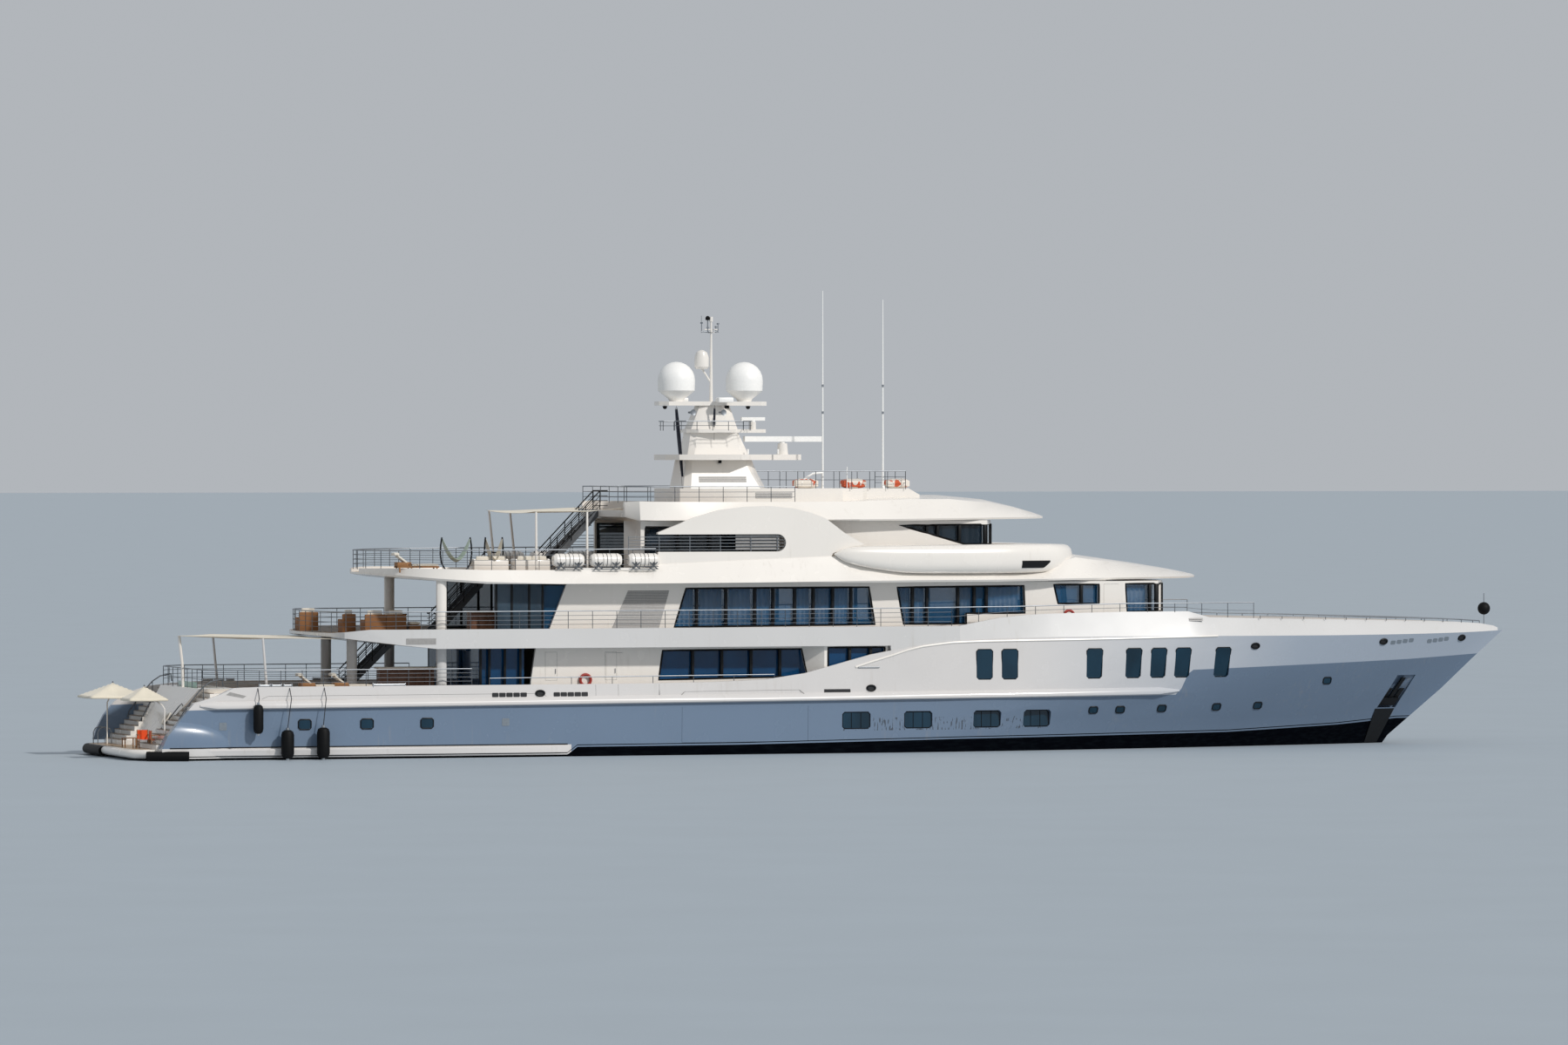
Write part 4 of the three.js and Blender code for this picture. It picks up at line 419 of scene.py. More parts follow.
# Columns: what makes it, its name, a colour's name in the panel or its hex, and the rest that its maker takes
FINISHES = {
    "superstructure": (painted, "white_polyurethane_topcoat", "superstructure"),
    "upper_decks": (painted, "white_topcoat_with_teak_decks", "superstructure", HIGH_DECKS),
    # Painted shade: the white topcoat greyed, for the upper deck's edge and the bow
    "low_decks": (painted, "grey_white_topcoat_with_teak_decks", "low_decks", LOW_DECKS),
    "hull": (painted, "pearl_grey_hull_topcoat", "topsides", (MAIN_DECK, POOL_DECK), True),
    "platform": (painted, "white_topcoat_with_teak_platform", "superstructure", (PLATFORM_TOP,)),
    "window_glass": (tinted_glass, "blue_tinted_window_glass", "glass", 0.38),
    "deep_glass": (tinted_glass, "deep_blue_saloon_glass", "104A78", 0.9),
    "bridge_glass": (tinted_glass, "dark_wheelhouse_glass", "1E3242", 0.62),
    "port_glass": (tinted_glass, "deep_tinted_port_glass", "173A4E", 1.0),
    "green_glass": (tinted_glass, "pale_green_pool_glass", "BFE3D3", 0.92),
    "smoked_glass": (tinted_glass, "blue_grey_screen_glass", "4A6072", 0.6),
    "stainless": (metal, "polished_stainless_steel", "C9CDD1", 0.24),
    "rail_steel": (metal, "weathered_stainless_handrail", "9EA3A9", 0.5),
    "dark_steel": (metal, "dull_stainless_posts", "777B80", 0.55),
    "bronze": (metal, "cast_propeller_bronze", "B08A4A", 0.3),
    "radome": (plain, "moulded_fibreglass_radome", "FCFBF8", 0.38, 0.95),
    "black_frame": (plain, "black_anodised_window_frame", "121417", 0.45, 0.85, 0.05, 0.25),
    # Used both for real dark panel joints and as painted shade inside the hull's openings
    "dark_joints_and_opening_shade": (plain, "unlit_opening_behind_a_vent", "202226", 0.7),
    "black_rubber": (plain, "black_fender_rubber", "08090B", 0.6, 0.85, 0.05, 0.2),
    "grey_cover": (plain, "grey_painted_port_cover", "7C8690", 0.5),
    "grey_louvre": (plain, "grey_painted_louvre", "A19F9D", 0.45),
    "lifebuoy_red": (plain, "red_lifebuoy_cover", "A83227", 0.55),
    "teak_joinery": (plain, "oiled_teak_joinery", "9C6E42", 0.55, 0.72, 0.04),
    "weathered_teak": (plain, "weathered_teak_treads", "85786A", 0.7, 0.75, 0.04),
    "teak_bar": (plain, "stained_teak_bar_front", "6B4630", 0.45, 0.75),
    "stone_top": (plain, "pale_stone_counter", "DCD5C8", 0.3, 0.9, 0.03),
    "curtain": (woven, "pale_blue_grey_curtain", "DDE6EE", 0.008),
    "canvas": (woven, "cream_awning_canvas", "canvas", 0.008),
    "cushion": (woven, "cream_acrylic_seat_cover", "cushion", 0.006),
    "orange_canvas": (woven, "orange_chair_canvas", "F4551A", 0.006),
    "green_canvas": (woven, "pale_green_hammock_cloth", "C9D8C6", 0.006),
    "wicker": (woven, "brown_woven_wicker", "8F633E", 0.02, 0.1),
    "flag_cloth": (woven, "dark_blue_bunting", "1C2740", 0.008),
    "rope": (woven, "dark_braided_rope", "2B2F36", 0.01, 0.1),
    "orange_cover": (patched, "orange_and_white_cover", "EDE4D8", "CF5A33", 0.24),
}


def finish(name):
    """A material of the table, made once."""
    if name not in FINISHED:
        make, material, colour, *rest = FINISHES[name]
        panel = colours()
        shade = getattr(panel, colour)[:] if colour in panel.bl_rna.properties else linear(colour)
        FINISHED[name] = make(material, shade, *rest)
    return FINISHED[name]


# What fittings sit on


def shell(nodes):
    """The surface of some construction nodes in the yacht's metres, for finding what a fitting sits on."""
    if nodes not in SHELLS:
        points, polygons = [], []
        for name in nodes:
            mesh = NODES[name].data
            first = len(points)
            points += [v.co / MODEL_SCALE for v in mesh.vertices]
            polygons += [[first + k for k in p.vertices] for p in mesh.polygons]
        SHELLS[nodes] = BVHTree.FromPolygons(points, polygons)
    return SHELLS[nodes]


CLEAR_OF_SHIP = 20  # a distance from the centreline that is well outside the hull


def on_side(nodes, x, z):
    """The point on the starboard side of some nodes, at a place. A lone node is given by its name."""
    nodes = (nodes,) if isinstance(nodes, str) else nodes
    hit = shell(nodes).ray_cast(Vector((x, -CLEAR_OF_SHIP, z)), Vector((0, 1, 0)))[0]
    if hit is None:
        raise RuntimeError(f"{nodes} have no side at x {x}, z {z}")
    return hit


HULL_SIDE = ("hull", "forecastle", "transom")


# Shapes, in the yacht's metres


def add_box(bm, x, y, z, edge=0.0):
    """A block between two ends along each axis, with its edges rounded."""
    made = bmesh.ops.create_cube(bm, size=1)["verts"]
    bmesh.ops.scale(bm, verts=made, vec=[high - low for low, high in (x, y, z)])
    bmesh.ops.translate(bm, verts=made, vec=[(low + high) / 2 for low, high in (x, y, z)])
    if edge:
        edges = list({e for v in made for e in v.link_edges})
        bmesh.ops.bevel(bm, geom=edges, offset=edge, segments=2, profile=0.5, affect="EDGES", material=-1)


def add_rod(bm, start, end, radius, sides=10, end_radius=None):
    """A rod or a cone between two points."""
    start, end = Vector(start), Vector(end)
    axis = end - start
    turn = axis.to_track_quat("Z", "Y").to_matrix().to_4x4()
    bmesh.ops.create_cone(
        bm,
        cap_ends=True,
        segments=sides,
        radius1=radius,
        radius2=radius if end_radius is None else end_radius,
        depth=axis.length,
        matrix=Matrix.Translation((start + end) / 2) @ turn,
    )


def mesh_of(bm, name):
    """A bmesh's shape as a mesh. It frees the bmesh."""
    mesh = bpy.data.meshes.new(name)
    bm.to_mesh(mesh)
    bm.free()
    return mesh


def add_object(name, data):
    """A new object in the scene."""
    made = bpy.data.objects.new(name, data)
    bpy.context.scene.collection.objects.link(made)
    return made


def add_mesh_of(bm, other, matrix=None):
    """Adds another bmesh's shape, moved by a matrix, and frees it."""
    if matrix is not None:
        bmesh.ops.transform(other, matrix=matrix, verts=other.verts)
    mesh = mesh_of(other, "part")
    bm.from_mesh(mesh)
    bpy.data.meshes.remove(mesh)


def add_turned(bm, profile, place, sides=20, axis=(0, 0, 1)):
    """A turned shape from a profile of (radius, distance along the axis), standing at a place."""
    turned = bmesh.new()
    verts = [turned.verts.new((radius, 0, along)) for radius, along in profile]
    edges = [turned.edges.new(pair) for pair in zip(verts, verts[1:])]
    turning = {"cent": (0, 0, 0), "axis": (0, 0, 1), "angle": 2 * math.pi, "steps": sides}
    bmesh.ops.spin(turned, geom=verts + edges, use_merge=True, **turning)
    bmesh.ops.remove_doubles(turned, verts=turned.verts, dist=1e-5)
    turn = Vector(axis).to_track_quat("Z", "Y").to_matrix().to_4x4()
    add_mesh_of(bm, turned, Matrix.Translation(place) @ turn)


def add_tubes(bm, paths, radius, sides=8, closed=False):
    """Round tubes along paths of points."""
    curve = bpy.data.curves.new("tubes", "CURVE")
    curve.dimensions = "3D"
    curve.bevel_depth = radius
    curve.bevel_resolution = max(sides // 2 - 2, 0)
    curve.use_fill_caps = not closed
    for path in paths:
        line = curve.splines.new("POLY")
        line.points.add(len(path) - 1)
        line.use_cyclic_u = closed
        for point, place in zip(line.points, path):
            point.co = (*place, 1)
    holder = bpy.data.objects.new("tubes", curve)
    mesh = bpy.data.meshes.new_from_object(holder)
    bm.from_mesh(mesh)
    bpy.data.objects.remove(holder)
    bpy.data.curves.remove(curve)
    bpy.data.meshes.remove(mesh)


def add_pipe(bm, path, radius, sides=8, closed=False):
    """One round tube along a path of points."""
    add_tubes(bm, [path], radius, sides, closed)


def circle(count):
    """The angles of points evenly round a circle."""
    return [2 * math.pi * k / count for k in range(count)]


def ring_path(centre, across, up, count=24):
    """Points round an oval, from its centre and its two half-axes."""
    centre, across, up = Vector(centre), Vector(across), Vector(up)
    return [centre + across * math.cos(t) + up * math.sin(t) for t in circle(count)]


def around(middle, half):
    """The two ends of a stretch, from its middle and half its length."""
    return (middle - half, middle + half)


def shapes(count):
    """New shapes to add to."""
    return [bmesh.new() for _ in range(count)]


def only(kind, geom):
    """The vertices, the edges or the faces among what an operator gives back."""
    return [each for each in geom if isinstance(each, kind)]


def add_port_copy(bm):
    """Mirrors all that is there to the port side."""
    copied = bmesh.ops.duplicate(bm, geom=bm.verts[:] + bm.edges[:] + bm.faces[:])["geom"]
    bmesh.ops.scale(bm, verts=only(bmesh.types.BMVert, copied), vec=(1, -1, 1))
    bmesh.ops.reverse_faces(bm, faces=only(bmesh.types.BMFace, copied))


def finish_piece(bm, name, material, both=False, angle=35):
    """Makes a bmesh in the yacht's metres a piece of the model, with a mirrored copy where both is set."""
    if both:
        add_port_copy(bm)
    bmesh.ops.recalc_face_normals(bm, faces=bm.faces)
    bmesh.ops.scale(bm, verts=bm.verts, vec=(MODEL_SCALE,) * 3)
    mesh = mesh_of(bm, name)
    mesh.shade_smooth()
    mesh.set_sharp_from_angle(angle=math.radians(angle))
    mesh.materials.append(finish(material))
    piece = add_object(name, mesh)
    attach(piece, "ship")
    return piece


def thicken(piece, thickness_m):
    """Gives a sheet its thickness."""
    piece.modifiers.new("thickness", "SOLIDIFY").thickness = thickness_m


def between(first, last, share):
    """A value between two."""
    return first + (last - first) * share


def read_off(table, x):
    """A value read off rows of (x, value), straight between them."""
    if x <= table[0][0]:
        return table[0][1]
    for (x0, v0), (x1, v1) in zip(table, table[1:]):
        if x <= x1:
            return between(v0, v1, (x - x0) / (x1 - x0))
    return table[-1][1]


def sides_of(outline):
    """Each side of a closed outline, as its two ends."""
    return zip(outline, outline[1:] + outline[:1])


def spaced(path, step):
    """Points along a path of (x, y), about a step apart, with its two ends."""
    points = [Vector(p) for p in path]
    lengths = [(b - a).length for a, b in zip(points, points[1:])]
    count = max(round(sum(lengths) / step), 1)
    places = []
    for k in range(count + 1):
        left = sum(lengths) * k / count
        for a, b, length in zip(points, points[1:], lengths):
            if left <= length + 1e-9:
                places.append(a.lerp(b, min(left / length, 1)))
                break
            left -= length
        else:
            places.append(points[-1])
    return places


# Glazing

# Plans of the houses: (x, half-breadth) from aft to fore
MAIN_HOUSE = ((-17.4, 4.75), (-3.0, 4.75), (-2.1, 5.66), (1.28, 5.66))
UPPER_HOUSE = ((-16.3, 4.6), (14.3, 4.6), (16.4, 3.95), (17.2, 2.4), (17.45, 0.8))
BRIDGE_HOUSE = ((-11.25, 4.1), (0.5, 4.1), (4, 4.0), (7.3, 3.5), (7.96, 2.2), (8.1, 0.8))

# Windows in both sides of a house: plan, outline of (x, z), the bars' places, the curtains' ends
WINDOWS = {
    "main": (
        MAIN_HOUSE,
        ((-10.5, 3.73), (-2.77, 3.85), (-3.0, 5.22), (-10.3, 5.19)),
        (-8.72, -7.19, -5.66, -4.14),
        ((-10.1, -8.9), (-8.5, -7.4), (-6.9, -5.9), (-5.4, -4.3)),
    ),
    "main_side": (MAIN_HOUSE, ((-1.9, 3.62), (1.1, 4.9), (1.1, 5.3), (-1.9, 5.3)), (-0.75, 0.35), ()),
    "upper_aft": (
        UPPER_HOUSE,
        ((-9.64, 6.36), (0.93, 6.42), (0.61, 8.3), (-9.03, 8.28)),
        (-8.46, -6.92, -5.41, -4.44, -3.3, -2.32, -1.3, -0.32),
        (
            (-9.3, -8.55), (-8.2, -7.05), (-6.7, -5.55), (-5.2, -4.5), (-3.2, -2.45), (-2.2, -1.4),
            (-1.1, -0.4),
        ),
    ),
    "upper_fore": (
        UPPER_HOUSE,
        ((2.46, 6.43), (5.8, 6.43), (5.8, 6.95), (8.95, 6.95), (8.89, 8.33), (2.12, 8.28)),
        (2.95, 3.72, 5.37, 6.25, 6.9),
        ((2.4, 2.9), (3.05, 3.65), (5.45, 6.15), (7.0, 8.7)),
    ),
    "cabin": (UPPER_HOUSE, ((10.74, 7.42), (12.95, 7.4), (12.95, 8.38), (10.51, 8.38)), (12.01,), ()),
    "cabin_fore": (
        UPPER_HOUSE,
        ((14.5, 6.98), (17.0, 6.98), (17.0, 8.4), (14.4, 8.4)),
        (15.9, 16.3),
        ((14.6, 15.7),),
    ),
    "wheelhouse": (
        BRIDGE_HOUSE,
        ((6.09, 10.43), (7.85, 10.43), (7.85, 11.44), (2.41, 11.41)),
        (3.93, 4.52, 5.76, 7.2),
        (),
    ),
    "lounge": (
        BRIDGE_HOUSE,
        ((-11.0, 9.9), (-4.2, 9.9), (-4.2, 11.3), (-11.0, 11.3)),
        (-9.3, -7.6, -5.9),
        (),
    ),
}
# Windows across a house's front: plan points of (x, y) from starboard to port, low and high edge, the bars
FRONTS = {
    "upper": (((17.27, -2.2), (17.47, -0.8), (17.47, 0.8), (17.27, 2.2)), 6.95, 8.4, (-1.1, 0, 1.1)),
    "bridge": (((8.0, -2.1), (8.12, -0.8), (8.12, 0.8), (8.0, 2.1)), 10.43, 11.44, (-1.2, -0.4, 0.4, 1.2)),
}


FRAME_STEPS = 6  # points along each side of a window's edge
BAR_HALF = 0.07  # half-width of an upright bar
CURTAIN_INSET = 0.42  # from the wall's face to the middle of the curtains
CURTAIN_DEPTH = 0.05  # half-depth of their waves
CURTAIN_OVERLAP = 0.05  # how far they reach past the window, above and below
WAVE_POINTS = 8


def span_at(outline, x):
    """The lowest and highest point of an outline of (x, z) at a place."""
    heights = []
    for (x0, z0), (x1, z1) in sides_of(outline):
        if min(x0, x1) <= x <= max(x0, x1) and x0 != x1:
            heights.append(between(z0, z1, (x - x0) / (x1 - x0)))
    return min(heights), max(heights)


def round_outline(outline, plan):
    """A closed path round a window, laid on the wall of its house."""
    path = []
    for (x0, z0), (x1, z1) in sides_of(outline):
        for k in range(FRAME_STEPS):
            x = between(x0, x1, k / FRAME_STEPS)
            path.append((x, -read_off(plan, x), between(z0, z1, k / FRAME_STEPS)))
    return path


def add_frames(bm):
    """Black edges and upright bars of every window in the houses."""
    width = sizes().frame_width
    for plan, outline, bars, _ in WINDOWS.values():
        add_pipe(bm, round_outline(outline, plan), width, 4, closed=True)
        for x in bars:
            half = read_off(plan, x)
            add_box(bm, around(x, BAR_HALF), (-half - 0.012, -half + 0.19), span_at(outline, x), 0.01)
    add_port_copy(bm)
    front = bmesh.new()
    for plan, low, high, bars in FRONTS.values():
        path = [(x, y, low) for x, y in plan] + [(x, y, high) for x, y in reversed(plan)]
        add_pipe(front, path, width, 4, closed=True)
        face = plan[1][0]
        for y in bars:
            add_box(front, (face - 0.15, face + 0.01), around(y, 0.06), (low, high), 0.01)
    add_mesh_of(bm, front)


def curtain(name, plan, outline, spans):
    """Curtains behind one window: waves of pale cloth that hang from ceiling to sill."""
    bm = bmesh.new()
    width = 0.0
    for x0, x1 in spans:
        low, high = span_at(outline, (x0 + x1) / 2)
        height = high - low + 2 * CURTAIN_OVERLAP
        steps = max(round((x1 - x0) / sizes().curtain_wave), 1) * WAVE_POINTS
        line = []
        for k in range(steps + 1):
            x = between(x0, x1, k / steps)
            wave = CURTAIN_DEPTH * math.cos(2 * math.pi * k / WAVE_POINTS)
            line.append(bm.verts.new((x, -(read_off(plan, x) - CURTAIN_INSET + wave), low - CURTAIN_OVERLAP)))
        edges = [bm.edges.new(pair) for pair in zip(line, line[1:])]
        width += sum(e.calc_length() for e in edges)
        drawn = bmesh.ops.extrude_edge_only(bm, edges=edges)["geom"]
        bmesh.ops.translate(bm, verts=only(bmesh.types.BMVert, drawn), vec=(0, 0, height))
    piece = finish_piece(bm, name, "curtain", angle=80)
    thicken(piece, 0.002)
    return piece, width * MODEL_SCALE, height * MODEL_SCALE


SMOOTH_ANGLE = math.radians(28)
JOIN_DISTANCE_M = 0.0004


def soft_faces():
    """A modifier tree that joins a node's loose triangles and shades its round stretches smooth."""
    tree = bpy.data.node_groups.new("soft_faces", "GeometryNodeTree")

    def step(kind, inputs, **settings):
        return add_node(tree, kind, inputs, **settings).outputs[0]

    for way in ("INPUT", "OUTPUT"):
        tree.interface.new_socket("Geometry", in_out=way, socket_type="NodeSocketGeometry")
    shape = step("NodeGroupInput", {})
    shape = step("GeometryNodeRemoveAttribute", {"Geometry": shape, "Name": "custom_normal"})
    shape = step("GeometryNodeMergeByDistance", {"Geometry": shape, "Distance": JOIN_DISTANCE_M})
    shape = step("GeometryNodeSetShadeSmooth", {"Geometry": shape, "Shade Smooth": True}, domain="FACE")
    angle = step("GeometryNodeInputMeshEdgeAngle", {})
    sharp = step("FunctionNodeCompare", {"A": angle, "B": SMOOTH_ANGLE}, operation="GREATER_THAN")
    creased = {"Geometry": shape, "Selection": sharp, "Shade Smooth": False}
    add_node(tree, "NodeGroupOutput", {0: step("GeometryNodeSetShadeSmooth", creased, domain="EDGE")})
    return tree


# Finishes of the construction nodes, by the first part of their names
NODE_FINISHES = {
    "hull": "hull",
    "garage": "hull",
    "rudder": "hull",
    "stabiliser": "hull",
    "swim": "platform",
    "transom": "platform",
    # Painted shade: these nodes take a greyed copy of the white topcoat
    "forecastle": "low_decks",
    "upper_deck": "low_decks",
    "bridge_deck": "upper_decks",
    "sun_deck_roof": "upper_decks",
    "dome": "radome",
    "radar": "radome",
    "bow_thruster": "bronze",
    "propeller": "bronze",
    "shaft": "stainless",
    # Painted shade: the anchor takes the black frame finish, standing for the shade of its pocket
    "anchor": "black_frame",
    "saloon": "deep_glass",
    "main_deck_stair": "dark_steel",
    "upper_deck_stair": "dark_steel",
    "bridge_deck_stair": "dark_steel",
    "upper_deck_screen": "window_glass",
    "fender": "black_rubber",
    "awning": "canvas",
    "parasol": "canvas",
    "whip": "radome",
}


def node_finish(name):
    """The finish of a construction node: glazing and houses by a word in the name, others by its start."""
    if "bridge_glazing" in name:
        return "bridge_glass"
    if "main_deck_glazing" in name:
        return "deep_glass"
    if "glazing" in name:
        return "window_glass"
    if "_house" in name:
        return "superstructure"
    found = [key for key in NODE_FINISHES if name.startswith(key)]
    return NODE_FINISHES[max(found, key=len)] if found else "superstructure"


class YACHT_OT_stage(bpy.types.Operator):
    """Sets the camera, the floor at the waterline and the studio light"""

    bl_idname = "yacht.stage"
    bl_label = "Stage"

    def execute(self, context):
        scene = context.scene
        camera = add_object("camera", bpy.data.cameras.new("camera"))
        camera.data.lens = CAMERA_LENS
        camera.data.clip_end = 5000
        camera.location = CAMERA_PLACE
        camera.rotation_euler = (CAMERA_TILT, 0, CAMERA_AZIMUTH)
        scene.camera = camera
        bm = bmesh.new()
        bmesh.ops.create_grid(bm, x_segments=1, y_segments=1, size=1500)
        floor = add_object("floor", mesh_of(bm, "floor"))
        floor.data.materials.append(plain("pale_studio_floor", linear("A9B4BD"), 0.6, 0.97, 3.0))
        sun = add_object("sun", bpy.data.lights.new("sun", "SUN"))
        sun.data.energy = 2.2
        sun.data.angle = math.radians(3)
        sun.data.color = (1.0, 0.965, 0.92)
        toward = Vector((0.38, -0.72, 0.58))
        sun.rotation_euler = toward.to_track_quat("Z", "Y").to_euler()
        world = bpy.data.worlds.new("studio")
        world.use_nodes = True
        background = world.node_tree.nodes["Background"]
        background.inputs["Color"].default_value = linear("DCE1E7")
        background.inputs["Strength"].default_value = 0.62
        scene.world = world
        scene.view_settings.view_transform = "Standard"
        return {"FINISHED"}


class YACHT_OT_finishes(bpy.types.Operator):
    """Gives each node of the construction its real material's finish, and soft shading where it is round"""

    bl_idname = "yacht.finishes"
    bl_label = "Finishes"

    def execute(self, context):
        tree = soft_faces()
        for name, node in NODES.items():
            node.data.materials.clear()
            node.data.materials.append(finish(node_finish(name)))
            node.modifiers.new("soft_faces", "NODES").node_group = tree
        return {"FINISHED"}


def add_loft(bm, sections):
    """A body drawn through loops of points, one after the other, and closed at its two ends."""
    made = bmesh.new()
    loops = []
    for section in sections:
        verts = [made.verts.new(p) for p in section]
        loops.append([made.edges.new(pair) for pair in sides_of(verts)])
    for first, second in zip(loops, loops[1:]):
        bmesh.ops.bridge_loops(made, edges=first + second)
    bmesh.ops.holes_fill(made, edges=loops[0] + loops[-1])
    bmesh.ops.recalc_face_normals(made, faces=made.faces)
    add_mesh_of(bm, made)


SKIN_SUNK = 0.02  # how far a thin plate reaches into what it lies on
SKIN_PROUD = 0.012


def add_skin(bm, node, outline, proud=SKIN_PROUD):
    """A thin plate that follows a node's starboard side, and stands a little proud of it."""
    hits = [on_side(node, x, z) for x, z in outline]
    add_loft(bm, [[hit + Vector((0, shift, 0)) for hit in hits] for shift in (SKIN_SUNK, -proud)])


STRIP_STEP = 0.8
STRIP_SUNK = 0.03


def add_strip(bm, node, path, width, proud):
    """A flat bar that lies along a path on a node's starboard side."""
    corners = ((STRIP_SUNK, -1), (-proud, -1), (-proud, 1), (STRIP_SUNK, 1))
    sections = []
    for place in spaced(path, STRIP_STEP):
        middle = on_side(node, *place)
        sections.append([middle + Vector((0, y, side * width / 2)) for y, side in corners])
    add_loft(bm, sections)


def eight_sided(x, z, w, h, c):
    """An upright oblong as points of (x, z): its middle, half-width, half-height and cut corners."""
    right = ((w - c, -h), (w, -h + c), (w, h - c), (w - c, h))
    corners = ((-w + c, -h), *right, (-w + c, h), (-w, h - c), (-w, -h + c))
    return [(x + a, z + b) for a, b in corners]


def oval(x, z, half_width, half_height):
    """An oval as points of (x, z)."""
    return [(x + half_width * math.cos(t), z + half_height * math.sin(t)) for t in circle(14)]


class YACHT_OT_windows(bpy.types.Operator):
    """Frames, bars and curtains of the windows in the houses"""

    bl_idname = "yacht.windows"
    bl_label = "House windows"

    def execute(self, context):
        bm = bmesh.new()
        add_frames(bm)
        finish_piece(bm, "window_frames", "black_frame")
        for key, (plan, outline, _, spans) in WINDOWS.items():
            if spans:
                piece, width, height = curtain(f"curtains_{key}", plan, outline, spans)
        return {"FINISHED"}


# Openings of the hull, each as points or ends along its side

# Aft edges of the tall windows and of the low ones
TALL_WINDOWS = (5.87, 7.22, 11.8, 13.96, 15.35, 16.72, 19.0)
LOW_WINDOWS = (-1.26, 2.02, 5.73, 8.47)
# From a window's aft edge to its middle, the middle's height, half-width, half-height, cut corners
TALL_SHAPE = (0.435, 4.4, 0.43, 0.75, 0.1)
LOW_SHAPE = (0.75, 1.64, 0.71, 0.4, 0.1)
# Of the upright bars in a low window: places from its aft edge, and heights
LOW_BARS = (0.5, 1.0)
LOW_BAR_HEIGHTS = (1.26, 1.64, 2.02)
# Ports. Columns: middles, then half-width, half-height and cut corners of the pane and of the rim
PORTS = (
    (((-29.04, 1.72), (-25.89, 1.72), (-22.83, 1.72)), (0.29, 0.22, 0.08), (0.32, 0.25, 0.09)),
    (
        ((12.33, 2.02), (13.86, 2.02), (16.27, 2.05), (19.5, 2.08), (21.98, 2.11), (25.98, 3.34)),
        (0.22, 0.15, 0.06),
        (0.24, 0.17, 0.07),
    ),
)
BLANKED_PORTS = ((-33.15, 1.66), (-18.8, 1.74))
BLANK_SHAPE = (0.19, 0.19, 0.04)
# Fairleads: middles, then half-width and half-height of the opening and of the rim
FAIRLEADS = ((-17.03, 3.15), (0.26, 3.26), (21.27, 5.2), (29.1, 5.33), (34.3, 5.45))
FAIRLEAD_OPENING = (0.2, 0.11)
FAIRLEAD_RIM = (0.22, 0.13)
# Rows of vents. Columns: ends, foot, head, how many, half-width, cut corners, rise from one to the next
# The aft rows are drawn as dark plates of painted shade; the bow's rows as light slots
VENT_ROWS = ((-19.52, -17.7, 2.98, 3.19, 5, 0.165, 0.03, 0), (-16.35, -14.55, 2.98, 3.19, 5, 0.165, 0.03, 0))
BOW_VENT_ROWS = (
    (29.55, 31.1, 5.22, 5.42, 4, 0.15, 0.04, 0.035),
    (31.95, 33.45, 5.26, 5.46, 4, 0.15, 0.04, 0.035),
)
# A dark plate of painted shade for the freeing slot's opening
FREEING_SLOT = ((-2.22, 3.06), (-0.84, 3.06), (-0.84, 3.22), (-2.22, 3.22))


def add_vents(bm, rows):
    """Rows of short slots in the hull's side."""
    for x0, x1, low, high, count, half, corner, rise in rows:
        for k in range(count):
            x = between(x0, x1, (k + 0.5) / count)
            z = (low + high) / 2 + rise * (k + 0.5 - count / 2)
            add_skin(bm, "hull", eight_sided(x, z, half, (high - low) / 2, corner))


def rim(outline):
    """An outline laid on the hull's side, just proud of it."""
    return [on_side(HULL_SIDE, x, z) + Vector((0, -0.02, 0)) for x, z in outline]


class YACHT_OT_hull_glazing(bpy.types.Operator):
    """Panes, portholes, fairleads and vents in the hull's sides"""

    bl_idname = "yacht.hull_glazing"
    bl_label = "Hull windows and ports"

    def execute(self, context):
        panes, edges, rims, dark, blanks = shapes(5)
        for places, (along, height, *shape) in ((TALL_WINDOWS, TALL_SHAPE), (LOW_WINDOWS, LOW_SHAPE)):
            for x in places:
                outline = eight_sided(x + along, height, *shape)
                add_skin(panes, "hull", outline, 0.03)
                add_pipe(edges, rim(outline), 0.028, 4, closed=True)
        for x in LOW_WINDOWS:
            for along in LOW_BARS:
                add_pipe(edges, rim([(x + along, z) for z in LOW_BAR_HEIGHTS]), 0.03, 4)
        for middles, pane, edge in PORTS:
            for x, z in middles:
                add_skin(panes, "hull", eight_sided(x, z, *pane))
                add_pipe(rims, rim(eight_sided(x, z, *edge)), 0.03, 6, closed=True)
        for x, z in BLANKED_PORTS:
            add_skin(blanks, "hull", eight_sided(x, z, *BLANK_SHAPE))
        for x, z in FAIRLEADS:
            # Painted shade: a dark plate for the shade inside each fairlead's opening
            add_skin(dark, HULL_SIDE, oval(x, z, *FAIRLEAD_OPENING))
            add_pipe(rims, rim(oval(x, z, *FAIRLEAD_RIM)), 0.05, 6, closed=True)
        # Painted shade: dark plates for the shade inside the aft vents' slots
        add_vents(dark, VENT_ROWS)
        add_vents(blanks, BOW_VENT_ROWS)
        # Painted shade: a dark plate for the shade inside the freeing slot
        add_skin(dark, "hull", FREEING_SLOT)
        finish_piece(panes, "hull_panes", "port_glass", both=True)
        finish_piece(edges, "hull_pane_edges", "black_frame", both=True)
        finish_piece(rims, "porthole_rims", "black_frame", both=True)
        # Painted shade: the dark plates in the fairleads, vents and freeing slot
        finish_piece(dark, "hull_vents", "dark_joints_and_opening_shade", both=True)
        finish_piece(blanks, "blanked_ports", "grey_cover", both=True)
        return {"FINISHED"}


# The moulding that rises from the side to the shoulder of the fore part. Columns: x, height
MOULDING = (
    (-0.55, 4.31), (0.11, 4.52), (1.4, 4.89), (2.19, 5.14), (2.97, 5.32), (4.57, 5.51), (6.13, 5.56),
    (7.75, 5.58), (11.73, 5.62), (15.49, 5.68), (19.1, 5.74),
)
MOULDING_STEP = 0.4
